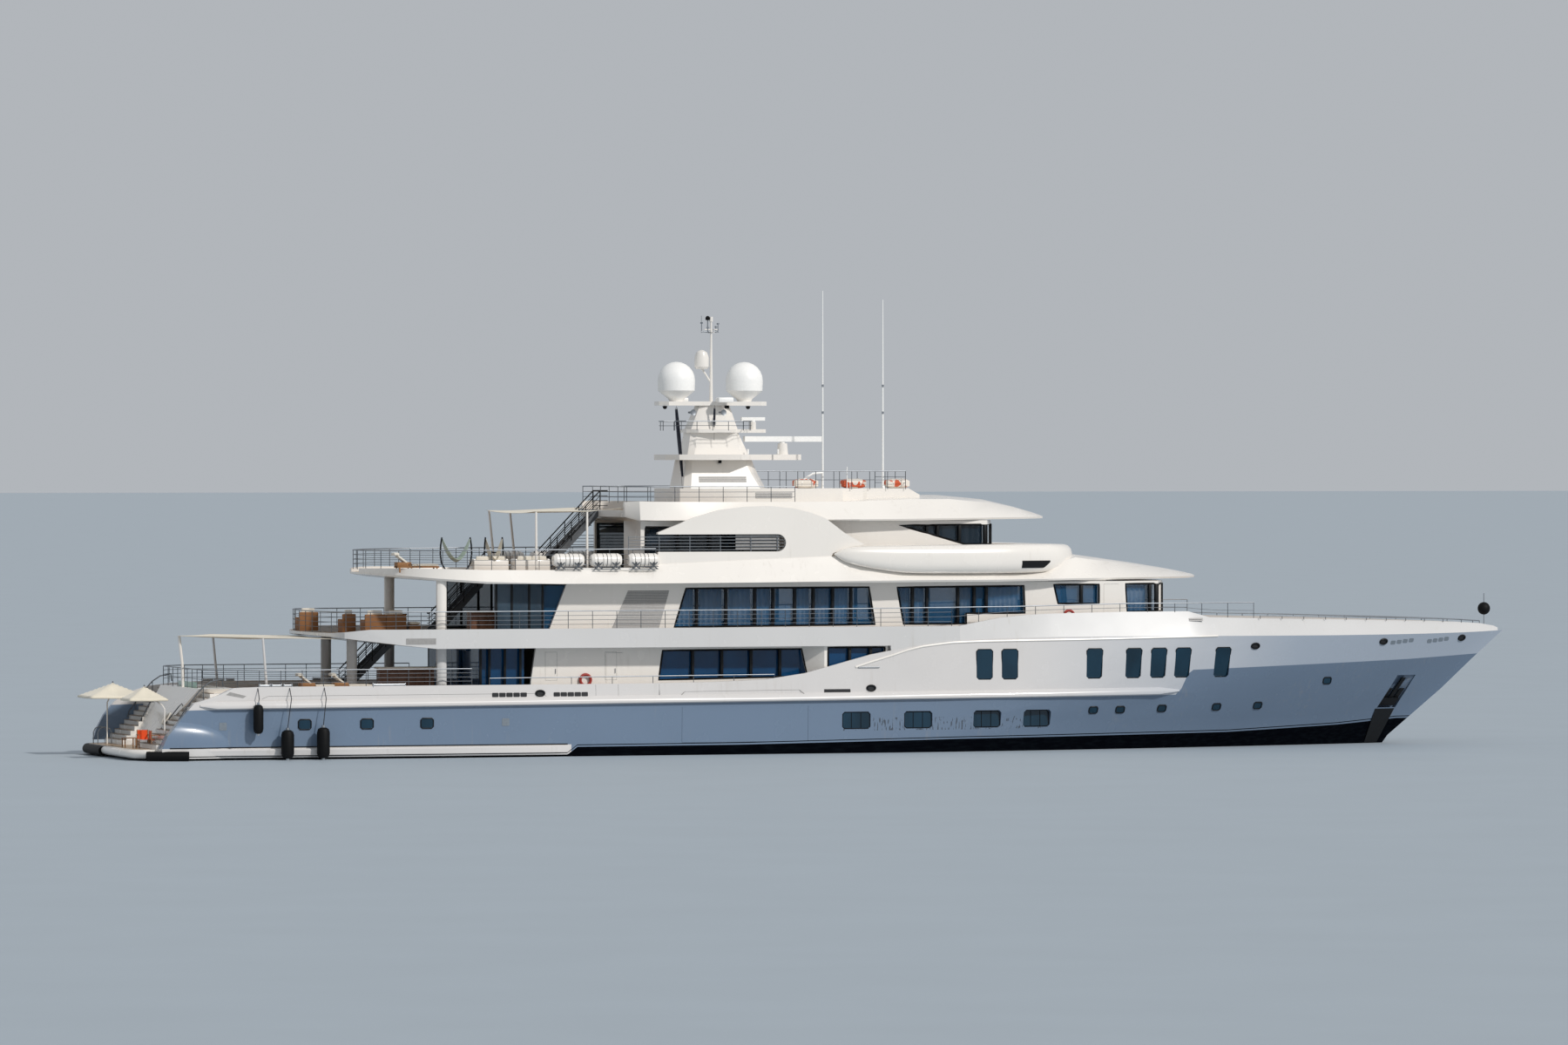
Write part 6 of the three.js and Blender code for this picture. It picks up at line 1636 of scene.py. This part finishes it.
class YACHT_OT_furniture(bpy.types.Operator):
    """Sofas, bars, loungers, tables and chairs on the open decks"""

    bl_idname = "yacht.furniture"
    bl_label = "Deck furniture"

    def execute(self, context):
        wicker, cushions, base, white, teak, pads = shapes(6)
        for sofa in UPPER_SOFAS:
            add_sofa(wicker, cushions, *sofa)
        add_box(wicker, (-22.6, -22.0), (-1.9, -1.2), (6.1, 6.5), 0.06)
        add_cushion(cushions, (-22.58, -22.02), (-1.88, -1.22), (6.5, 6.64))
        for sofa in BRIDGE_SOFAS:
            add_sofa(base, white, *sofa, height=0.7)
        for lounger in LOUNGERS:
            add_lounger(teak, pads, *lounger)
        finish_piece(wicker, "wicker_sofa_frames", "wicker")
        self.finish_cushions(cushions, "wicker_sofa_cushions", 0.7)
        finish_piece(base, "bridge_sofa_bases", "superstructure")
        self.finish_cushions(white, "bridge_sofa_cushions", 0.7)
        finish_piece(teak, "lounger_frames", "teak_joinery")
        self.finish_cushions(pads, "lounger_cushions", 0.6)
        self.add_bars()
        self.add_platform_furniture()
        return {"FINISHED"}

    @staticmethod
    def finish_cushions(bm, name, fill):
        finish_piece(bm, name, "cushion", angle=60)

    @staticmethod
    def add_bars():
        """Bars with panelled fronts, and the stools on their inner side."""
        fronts, tops, stools = shapes(3)
        for x, y, z in BARS:
            add_box(fronts, x, y, z, 0.03)
            length = x[1] - x[0]
            panels = round(length / BAR_PANEL)
            for k in range(panels):
                left = x[0] + 0.05 + (length - 0.1) * k / panels
                right = left + (length - 0.1) / panels - 0.05
                add_box(fronts, (left, right), (y[0] - 0.02, y[0] + 0.01), (z[0] + 0.08, z[1] - 0.12), 0.008)
            add_box(tops, (x[0] - 0.1, x[1] + 0.1), (y[0] - 0.16, y[1] + 0.1), (z[1], z[1] + 0.08), 0.02)
            for k in range(STOOLS):
                place = (between(*x, (k + 0.5) / STOOLS), y[1] + 0.55)
                seat, floor = z[1] - 0.35, z[0]
                add_turned(stools, STOOL_SEAT, (*place, seat), 14)
                add_rod(stools, (*place, floor), (*place, seat), 0.025)
                add_turned(stools, STOOL_FOOT, (*place, floor), 14)
        finish_piece(fronts, "bar_fronts", "teak_bar")
        finish_piece(tops, "bar_counters", "stone_top")
        finish_piece(stools, "bar_stools", "dark_steel")

    @staticmethod
    def add_platform_furniture():
        """Two folding chairs with orange canvas and a small table on the swim platform."""
        wood = bmesh.new()
        add_box(wood, *PLATFORM_TABLE, 0.008)
        for x in (-37.0, -36.45):
            for y in (-1.4, -0.8):
                leg = (around(x, 0.025), around(y, 0.025), (PLATFORM_TOP, 0.98))
                add_box(wood, *leg, 0.006)
        for number, chair in enumerate(CHAIRS, 1):
            add_chair(wood, f"chair_canvas_{number}", *chair)
        finish_piece(wood, "platform_chairs_and_table", "teak_joinery")


# Columns: x of the aft tip, x of the fore tip, y, half-width and length of the flat cloth, its finish
HAMMOCKS = ((-21.42, -19.89, -3.5, 0.45, 2.8, "green_canvas"), (-19.1, -18.19, -3.3, 0.42, 2.5, "canvas"))
# A bent pole, as (share of the half-length, height over the deck)
HAMMOCK_POLE = ((0.35, 0.0), (0.72, 0.12), (0.98, 0.45), (1.06, 0.9), (1.03, 1.35), (0.95, 1.72))
HAMMOCK_FLOOR = 9.14


def add_hammock_poles(bm, middle, reach, y):
    """Two bent poles on a foot that rests on the deck."""
    for way in (-1, 1):
        path = [(middle + way * reach * out, y, HAMMOCK_FLOOR + rise) for out, rise in HAMMOCK_POLE]
        add_pipe(bm, path, 0.042)
    ends = [(middle + reach * share, y, HAMMOCK_FLOOR) for share in (-0.36, 0.36)]
    add_pipe(bm, ends, 0.032)
    for side in around(y, 0.45):
        add_box(bm, around(middle, 0.04), around(side, 0.02), (9.1, 9.15))
    add_box(bm, around(middle, 0.035), around(y, 0.5), (9.11, 9.16), 0.01)


def add_hammock_cloth(bm, middle, reach, y, half):
    """Cloth that hangs between two tips and narrows towards them."""

    def sling(u, v):
        wide = half * v * (1 - 0.75 * u**4)
        return (middle + reach * 0.93 * u, y + wide, 9.64 + 1.14 * u * u + 0.12 * v * v * (1 - u * u))

    add_patch(bm, sling, 20, 10)


class YACHT_OT_hammocks(bpy.types.Operator):
    """Hanging chairs on the bridge deck, slung between two bent black poles"""

    bl_idname = "yacht.hammocks"
    bl_label = "Hammocks"

    def execute(self, context):
        poles = bmesh.new()
        for number, (aft, fore, y, half, length, material) in enumerate(HAMMOCKS, 1):
            middle, reach = (aft + fore) / 2, (fore - aft) / 2
            add_hammock_poles(poles, middle, reach, y)
            bm = bmesh.new()
            add_hammock_cloth(bm, middle, reach, y, half)
            flat = (length, 2 * half)
            finish_cloth(bm, f"hammock_cloth_{number}", material, 0.003, flat, ("bridge_deck",))
        finish_piece(poles, "hammock_poles", "black_frame")
        return {"FINISHED"}


# Liferafts: middles along the ship
RAFTS = (-15.4, -13.45, -11.5)
RAFT_Y = -5.35
RAFT_Z = 9.72
STRAPS = (-0.5, -0.2, 0.2, 0.5)  # from a canister's middle
STRAP_RADIUS = 0.342
BEARERS = (-0.45, 0.45)
CRADLE_FOOT = 9.28


class YACHT_OT_rafts(bpy.types.Operator):
    """Straps and cradles of the liferaft canisters"""

    bl_idname = "yacht.rafts"
    bl_label = "Liferaft cradles"

    def execute(self, context):
        straps, cradles = bmesh.new(), bmesh.new()

        def ring(x, radius):
            return ring_path((x, RAFT_Y, RAFT_Z), (0, radius, 0), (0, 0, radius))

        for x in RAFTS:
            for shift in STRAPS:
                add_pipe(straps, ring(x + shift, STRAP_RADIUS), 0.012, 4, closed=True)
            add_pipe(straps, ring(x + 0.003, 0.345), 0.016, 4, closed=True)
            for shift in BEARERS:
                for way in (-1, 1):
                    low, high = x + shift - way * 0.2, x + shift + way * 0.2
                    for y, radius in ((RAFT_Y - 0.3, 0.034), (RAFT_Y + 0.3, 0.025)):
                        add_rod(cradles, (low, y, CRADLE_FOOT), (high, y, 9.62), radius)
                add_pipe(cradles, ring(x + shift, 0.37)[13:24], 0.03)
            for z in (CRADLE_FOOT, 9.4):
                add_rod(cradles, (x - 0.7, RAFT_Y - 0.3, z), (x + 0.7, RAFT_Y - 0.3, z), 0.02)
        finish_piece(straps, "raft_straps", "dark_steel", both=True)
        finish_piece(cradles, "raft_cradles", "dark_steel", both=True)
        return {"FINISHED"}


# Screens round the open ends of the two saloons: y, foot, head, places of the bars, whether it has panes
SCREENS = (
    (-4.62, 6.2, 8.86, (-18.9, -18.1, -17.2, -16.5), True),
    (-4.78, 3.0, 5.9, (-19.75, -19.3, -18.5, -17.7), False),
)
# The rail in each side arch: ends along the ship, heights of its wires, places of its posts
ARCH_RAIL = (-12.2, -3.75)
ARCH_WIRES = (10.22, 10.38, 10.54, 10.7, 10.86)
ARCH_POSTS = (-12.2, -10.6, -9.0, -7.4, -5.8, -4.4)
ARCH_SLATS = 5


class YACHT_OT_screens(bpy.types.Operator):
    """Wind screens beside the saloons' aft doors, and the rails and louvres in the arches"""

    bl_idname = "yacht.screens"
    bl_label = "Wind screens and arches"

    def execute(self, context):
        panes, bars, rails, louvre = shapes(4)
        for y, foot, head, places, glazed in SCREENS:
            if glazed:
                for x0, x1 in zip(places, places[1:]):
                    add_box(panes, (x0 + 0.05, x1 - 0.05), around(y, 0.01), (foot, head), 0.004)
            for x in places:
                add_box(bars, around(x, 0.06), (y - 0.03, y + 0.05), (foot - 0.05, head + 0.04), 0.01)
            for z in (foot, head):
                add_box(bars, (places[0], places[-1]), (y - 0.02, y + 0.04), around(z, 0.04), 0.01)
        face = on_side("arch_starboard", -3.2, 10.5).y + 0.12
        for z in ARCH_WIRES:
            add_rod(rails, (ARCH_RAIL[0], face, z), (ARCH_RAIL[1], face, z), 0.016, 6)
        for x in ARCH_POSTS:
            add_rod(rails, (x, face + 0.01, 9.5), (x, face + 0.01, 10.9), 0.02, 6)
        for k in range(ARCH_SLATS):
            z = 10.2 + 0.16 * k
            add_box(louvre, (-6.59, -4.3), (face + 0.06, face + 0.09), (z, z + 0.13), 0.01)
        finish_piece(panes, "wind_screen_panes", "smoked_glass", both=True)
        finish_piece(bars, "wind_screen_bars", "black_frame", both=True)
        finish_piece(rails, "arch_rails", "rail_steel", both=True)
        finish_piece(louvre, "arch_louvres", "grey_louvre", both=True)
        return {"FINISHED"}


# The bulwark that wraps round the wheelhouse. Columns: x, half-breadth, half-thickness, foot, top
WING = (
    (-1.5, 5.42, 0.05, 9.95, 10.0), (-0.6, 5.44, 0.3, 9.5, 10.3), (2, 5.4, 0.44, 9.08, 10.37),
    (5, 5.3, 0.5, 9.02, 10.39), (8, 5.0, 0.52, 9.02, 10.41), (10, 4.3, 0.54, 9.04, 10.41),
    (11.25, 3.1, 0.55, 9.08, 10.39), (11.9, 1.6, 0.55, 9.1, 10.37), (12.05, 0, 0.55, 9.12, 10.37),
)
WING_WIDER = 1.12  # the skin against the table, sideways
WING_HIGHER = 0.53  # share of the table's height from the skin's middle to its top
WING_POINTS = 20  # round a section
WING_STEPS = 5  # sections from one row of the table to the next
SLOT_STEPS = 20


# The slot in each wing: aft end, start of the slanted end, fore end, foot, head
SLOT = (8.3, 9.6, 10.0, 9.24, 9.6)


def smooth_rows(rows, steps):
    """Rows of a table with more between them, on a curve through all of them."""
    made = []
    for k in range(len(rows) - 1):
        around = [rows[min(max(k + j, 0), len(rows) - 1)] for j in (-1, 0, 1, 2)]
        for n in range(steps):
            t = n / steps
            shares = (
                -0.5 * t + t * t - 0.5 * t**3,
                1 - 2.5 * t * t + 1.5 * t**3,
                0.5 * t + 2 * t * t - 1.5 * t**3,
                -0.5 * t * t + 0.5 * t**3,
            )
            made.append(tuple(sum(w * row[c] for w, row in zip(shares, around)) for c in range(len(rows[0]))))
    return made + [rows[-1]]


class YACHT_OT_bridge_wing(bpy.types.Operator):
    """The rounded skin of the bridge wings"""

    bl_idname = "yacht.bridge_wing"
    bl_label = "Bridge wings"

    def execute(self, context):
        table = [*WING, *((x, -y, *rest) for x, y, *rest in reversed(WING[:-1]))]
        skin, slot = bmesh.new(), bmesh.new()
        self.add_wing(skin, smooth_rows(table, WING_STEPS))
        self.add_slot(slot, smooth_rows(table, SLOT_STEPS))
        finish_piece(skin, "bridge_wing_skin", "superstructure", angle=60)
        finish_piece(slot, "wing_slots", "black_frame", both=True)
        return {"FINISHED"}

    def add_wing(self, bm, rows):
        """Sections between an ellipse and a box, from one wing's end round to the other's."""
        sections = []
        for k in range(len(rows)):
            ring = []
            for t in circle(WING_POINTS):
                wide, high = math.cos(t), math.sin(t)
                full = (abs(wide) ** 3 + abs(high) ** 3) ** (-1 / 3)
                ring.append(self.wing_point(rows, k, wide * full, high * full))
            sections.append(ring)
        add_loft(bm, sections)

    def add_slot(self, bm, rows):
        """A dark plate laid on the wing's side."""
        aft, slant, fore, foot, head = SLOT
        sections = []
        for k, (x, y, _, low, top) in enumerate(rows):
            if y < 0 and aft < x < fore:
                edge = foot + max(x - slant, 0) * (head - foot) / (fore - slant)
                high = [(z - (low + top) / 2) / (WING_HIGHER * (top - low)) for z in (edge, head + 0.01)]
                wide = [(1 - abs(h) ** 3) ** (1 / 3) for h in high]
                corners = ((0, -0.04), (1, -0.04), (1, 0.03), (0, 0.03))
                sections.append([self.wing_point(rows, k, wide[n] + proud, high[n]) for n, proud in corners])
        add_loft(bm, sections)

    @staticmethod
    def wing_point(rows, k, wide, high):
        """A point of the skin: shares of its half-thickness and half-height, at one row of the table."""
        x, y, half, low, top = rows[k]
        before, after = rows[max(k - 1, 0)], rows[min(k + 1, len(rows) - 1)]
        run = Vector((after[0] - before[0], after[1] - before[1])).normalized()
        out = half * WING_WIDER * wide
        return (x - run.y * out, y + run.x * out, (low + top) / 2 + (top - low) * WING_HIGHER * high)


# Mast and coach roof

MAST_POLE = -6.24  # place along the ship
MAST_RAIL = ((-8.5, 1.0), (-8.5, 1.7), (-8.2, 1.95), (-5.2, 1.95), (-4.5, 1.2), (-4.4, 0.5))
MAST_RAIL_HEIGHTS = (16.22, 16.66)
# Sensors on arms at the pole's head: place of each cap
SENSORS = ((-6.68, 0.3, 21.6), (-6.0, -0.3, 21.55), (-6.55, -0.35, 21.35), (-5.9, 0.35, 21.4))
# Columns: foot, head, radius, sides
POLE_HEAD = (
    ((-6.78, 0, 21.2), (-6.78, 0, 22.0), 0.012, 6),
    ((-6.45, 0, 21.15), (-6.45, 0, 21.8), 0.03, 8),
    ((-6.8, 0, 21.2), (-5.85, 0, 21.2), 0.025, 8),
)
# Turned parts, as (radius, height)
SENSOR_CAP = ((0, 0), (0.07, 0.01), (0.07, 0.07), (0, 0.09))
TOP_LAMP = ((0, 0), (0.11, 0), (0.12, 0.12), (0.07, 0.2), (0, 0.22))
HUNG_LAMP = ((0, -0.16), (0.09, -0.12), (0.13, 0), (0, 0.02))
HORN = ((0, 0), (0.05, 0), (0.06, 0.2), (0.16, 0.42), (0, 0.36))
WHIP_FOOT = ((0, 0), (0.12, 0), (0.1, 0.14), (0.06, 0.2), (0, 0.2))
WHIP_JOINT = ((0, -0.06), (0.055, -0.06), (0.055, 0.06), (0, 0.06))
# The second whip aerial: foot and radius of each length, then its head
WHIP = ((13.1, 0.055), (17.0, 0.042), (20.0, 0.032), (22.83, 0.02))
WHIP_PLACE = (2.23, -2.0)
# Joints of both whip aerials
WHIP_JOINTS = ((-0.98, 17.1), (-0.98, 18.46), (2.23, 17.1), (2.23, 18.46))
ROOF_PIPE = ((-2.1, -2.0, 13.3), (-1.95, -2.0, 13.75), (-1.5, -2.0, 14.02), (-1.0, -2.0, 14.06))
# Stuffed bundles on the coach roof: their middles along the ship
BUNDLES = (-1.84, 0.71, 3.04)
# Columns: name, top, foot, half-width, folds
FLAGS = (
    ("furled_flag", (-8.42, -1.0, 17.3), (-8.1, -1.0, 13.9), 0.19, 3),
    ("pennant", (-6.4, -1.0, 17.35), (-6.42, -1.0, 16.4), 0.1, 2),
)
ANCHOR_BALL = (36.04, 0, 6.95)
ANCHOR_BALL_RADIUS = 0.33


def add_flag(name, top, foot, wide, folds):
    """A flag that hangs slack in folds."""
    bm = bmesh.new()

    def fold(u, v):
        share = (1 - v) / 2
        swell = wide * (0.45 + 0.55 * math.sin(math.pi * (0.15 + 0.8 * share)))
        turn = u * math.pi * folds
        offset = Vector((swell * 0.55 * u, swell * 0.5 * math.sin(turn), 0.05 * math.cos(turn)))
        return top.lerp(foot, share) + offset

    add_patch(bm, fold, 24, 24)
    piece = finish_piece(bm, name, "flag_cloth", angle=80)
    thicken(piece, 0.001)


class YACHT_OT_mast_fittings(bpy.types.Operator):
    """Instruments, lamps, horns, rails and flags of the mast, and what stands on the coach roof"""

    bl_idname = "yacht.mast_fittings"
    bl_label = "Mast and coach roof"

    def execute(self, context):
        white, black, steel, rails, posts = shapes(5)
        self.add_instruments(white, black, steel)
        foot, top = (level(height) for height in MAST_RAIL_HEIGHTS)
        for side in (-1, 1):
            add_rail(rails, posts, [(x, side * -y) for x, y in MAST_RAIL], foot, top, ONE_BAR, 0.8)
        self.add_coach_roof(white, steel)
        finish_piece(white, "mast_fittings", "radome")
        finish_piece(black, "mast_lamps", "black_rubber")
        finish_piece(steel, "mast_instruments", "rail_steel")
        finish_piece(rails, "mast_rails", "rail_steel")
        finish_piece(posts, "mast_rail_posts", "dark_steel")
        self.add_flags()
        self.add_bow()
        return {"FINISHED"}

    @staticmethod
    def add_instruments(white, black, steel):
        """Sensors, lamps, housings and horns."""
        for x, y, z in SENSORS:
            add_rod(steel, (MAST_POLE, 0, 21.15), (x, y, 21.2), 0.018, 6)
            add_rod(steel, (x, y, 21.15), (x, y, z), 0.02, 6)
            add_turned(steel, SENSOR_CAP, (x, y, z), 10)
        for rod in POLE_HEAD:
            add_rod(steel, *rod)
        add_turned(black, TOP_LAMP, (-6.45, 0, 21.78), 12)
        for x, y in ((-7.6, 1.1), (-5.9, -1.1)):
            add_box(white, around(x, 0.4), around(y, 0.3), (17.6, 17.86), 0.06)
        for x in (-8.9, -4.5):
            add_turned(black, HUNG_LAMP, (x, -0.6, 17.42), 12)
        add_box(black, (-5.82, -5.62), (-1.0, -0.8), (17.3, 17.46), 0.02)
        for x in (-7.75, -6.14):
            add_turned(steel, HORN, (x, -0.95, 17.1), 14, (0.3, -1, 0))
        add_box(black, (-6.28, -6.12), (-1.32, -1.2), (14.54, 14.7), 0.02)
        for x in (-4.6, -3.0):
            add_rod(white, (x, -0.9, 15.0), (x, -0.9, 15.25), 0.05)

    @staticmethod
    def add_coach_roof(white, steel):
        """A whip aerial, pipes, and stuffed bundles under bands."""
        for (low, wide), (high, narrow) in zip(WHIP, WHIP[1:]):
            add_rod(white, (*WHIP_PLACE, low), (*WHIP_PLACE, high), wide, 10, narrow)
        add_turned(white, WHIP_FOOT, (*WHIP_PLACE, 13.24), 14)
        for x, z in WHIP_JOINTS:
            add_turned(steel, WHIP_JOINT, (x, -2.0, z), 10)
        add_pipe(white, ROOF_PIPE, 0.05)
        add_rod(white, (0.25, -2.2, 13.2), (0.25, -2.2, 14.36), 0.022)
        bundles, bands = bmesh.new(), bmesh.new()
        for x in BUNDLES:
            add_cushion(bundles, around(x, 0.62), (-2.15, -1.45), (13.27, 13.75))
            for shift in (-0.28, 0.28):
                path = ring_path((x + shift, -1.8, 13.51), (0, 0.35, 0), (0, 0, 0.25), 20)
                add_pipe(bands, path, 0.03, 6, closed=True)
        piece = finish_piece(bundles, "coach_roof_bundles", "orange_cover", angle=60)
        finish_piece(bands, "bundle_bands", "superstructure")

    @staticmethod
    def add_flags():
        """A furled flag and a pennant beside the mast, each on its halyard."""
        halyards = bmesh.new()
        for name, top, foot, *folded in FLAGS:
            top, foot = Vector(top), Vector(foot)
            add_flag(name, top, foot, *folded)
            add_rod(halyards, top + Vector((0, 0, 0.12)), foot - Vector((0, 0, 0.7)), 0.008, 6)
        finish_piece(halyards, "halyards", "rope")

    @staticmethod
    def add_bow():
        """The anchor ball and its staff at the stem."""
        black, staff = bmesh.new(), bmesh.new()
        turns = [math.pi * k / 14 for k in range(15)]
        ball = [(ANCHOR_BALL_RADIUS * math.sin(t), -ANCHOR_BALL_RADIUS * math.cos(t)) for t in turns]
        add_turned(black, ball, ANCHOR_BALL, 22)
        x, y, _ = ANCHOR_BALL
        add_rod(staff, (x, y, 5.9), (x, y, 7.75), 0.02)
        finish_piece(black, "anchor_ball", "black_rubber")
        finish_piece(staff, "anchor_ball_staff", "rail_steel")


# Thin dark joints between panels, as paths of (x, z) on a node's starboard side
SEAMS = (
    ("hull", ((-31.2, 2.98), (-30.9, 3.12), (-17.0, 3.14), (-16.7, 3.0))),
    ("hull", ((-14.15, 3.0), (-14.15, 3.55))),
    ("hull", ((-12.98, 3.0), (-12.98, 3.55))),
    ("hull", ((-10.85, 3.0), (-10.85, 3.55))),
    ("hull", ((-9.72, 3.0), (-9.72, 3.16), (-3.4, 3.2), (-3.3, 3.0))),
)
# Locker doors of the main deck's side: ends along the ship, foot and head
DOOR_JOINTS = ((-16.4, -15.8), (-13.3, -12.7))
DOOR_HEIGHTS = (3.75, 5.15)
HANDLE = (-0.4, 0.1, 0.7)  # places along the bulwark
HANDLE_HEIGHT = 4.31
HANDLE_OUT = Vector((0, -0.07, 0))
RECESS = ((-33.0, 3.2), (-32.8, 3.34), (-31.98, 3.14), (-32.15, 3.04))
SIDE_VENT = ((-23.87, 5.6), (-22.36, 5.6), (-22.36, 5.9), (-23.87, 5.9))
SEAM_SUNK = Vector((0, 0.004, 0))
MAIN_SIDE = ("main_deck_house", "main_side_door_starboard")


class YACHT_OT_joints(bpy.types.Operator):
    """Panel joints, locker doors, handles and vents of the sides"""

    bl_idname = "yacht.joints"
    bl_label = "Panel joints"

    def execute(self, context):
        seams, steel, greys = shapes(3)

        def add_seam(node, points, closed=False):
            path = [on_side(node, x, z) + SEAM_SUNK for x, z in points]
            add_pipe(seams, path, sizes().seam_width / 2, 4, closed)

        for node, path in SEAMS:
            add_seam(node, [place[:2] for place in spaced(path, 0.35)])
        foot, head = DOOR_HEIGHTS
        for x0, x1 in DOOR_JOINTS:
            add_seam(MAIN_SIDE, ((x0, foot), (x1, foot), (x1, head), (x0, head)), True)
            hinge = on_side(MAIN_SIDE, x1 - 0.08, 4.2)
            add_rod(steel, hinge + Vector((0, -0.03, -0.12)), hinge + Vector((0, -0.03, 0.12)), 0.016)
        points = [on_side("hull", x, HANDLE_HEIGHT) for x in HANDLE]
        add_pipe(steel, [point + HANDLE_OUT for point in points], 0.022)
        for point in (points[0], points[-1]):
            add_rod(steel, point + Vector((0, 0.02, 0)), point + HANDLE_OUT, 0.02)
        add_skin(greys, "hull", RECESS, 0.008)
        add_skin(greys, "upper_deck", SIDE_VENT, 0.01)
        finish_piece(seams, "panel_joints", "dark_joints_and_opening_shade", both=True)
        finish_piece(steel, "side_handles", "rail_steel", both=True)
        finish_piece(greys, "side_vents", "grey_louvre", both=True)
        return {"FINISHED"}


PIECES = (
    YACHT_OT_stage,
    YACHT_OT_finishes,
    YACHT_OT_windows,
    YACHT_OT_hull_glazing,
    YACHT_OT_hull_trim,
    YACHT_OT_rails,
    YACHT_OT_soft_goods,
    YACHT_OT_stern,
    YACHT_OT_stair_rails,
    YACHT_OT_furniture,
    YACHT_OT_hammocks,
    YACHT_OT_rafts,
    YACHT_OT_screens,
    YACHT_OT_bridge_wing,
    YACHT_OT_mast_fittings,
    YACHT_OT_joints,
)


class YACHT_PT_panel(bpy.types.Panel):
    """Lists what dresses the yacht"""

    bl_idname = "YACHT_PT_panel"
    bl_label = "Yacht"
    bl_space_type = "VIEW_3D"
    bl_region_type = "UI"
    bl_category = "Yacht"

    def draw(self, context):
        for piece in PIECES:
            self.layout.operator(piece.bl_idname)
        for group in (context.scene.yacht_sizes, context.scene.yacht_colours):
            for name in group.bl_rna.properties.keys():
                if name not in ("rna_type", "name"):
                    self.layout.prop(group, name)


CLASSES = (YachtSizes, YachtColours, *PIECES, YACHT_PT_panel)


def register():
    for each in CLASSES:
        bpy.utils.register_class(each)
    bpy.types.Scene.yacht_sizes = bpy.props.PointerProperty(type=YachtSizes)
    bpy.types.Scene.yacht_colours = bpy.props.PointerProperty(type=YachtColours)


def unregister():
    del bpy.types.Scene.yacht_sizes
    del bpy.types.Scene.yacht_colours
    for each in reversed(CLASSES):
        bpy.utils.unregister_class(each)


def main():
    register()
    for piece in PIECES:
        group, name = piece.bl_idname.split(".")
        getattr(getattr(bpy.ops, group), name)()


if __name__ == "__main__":
    main()
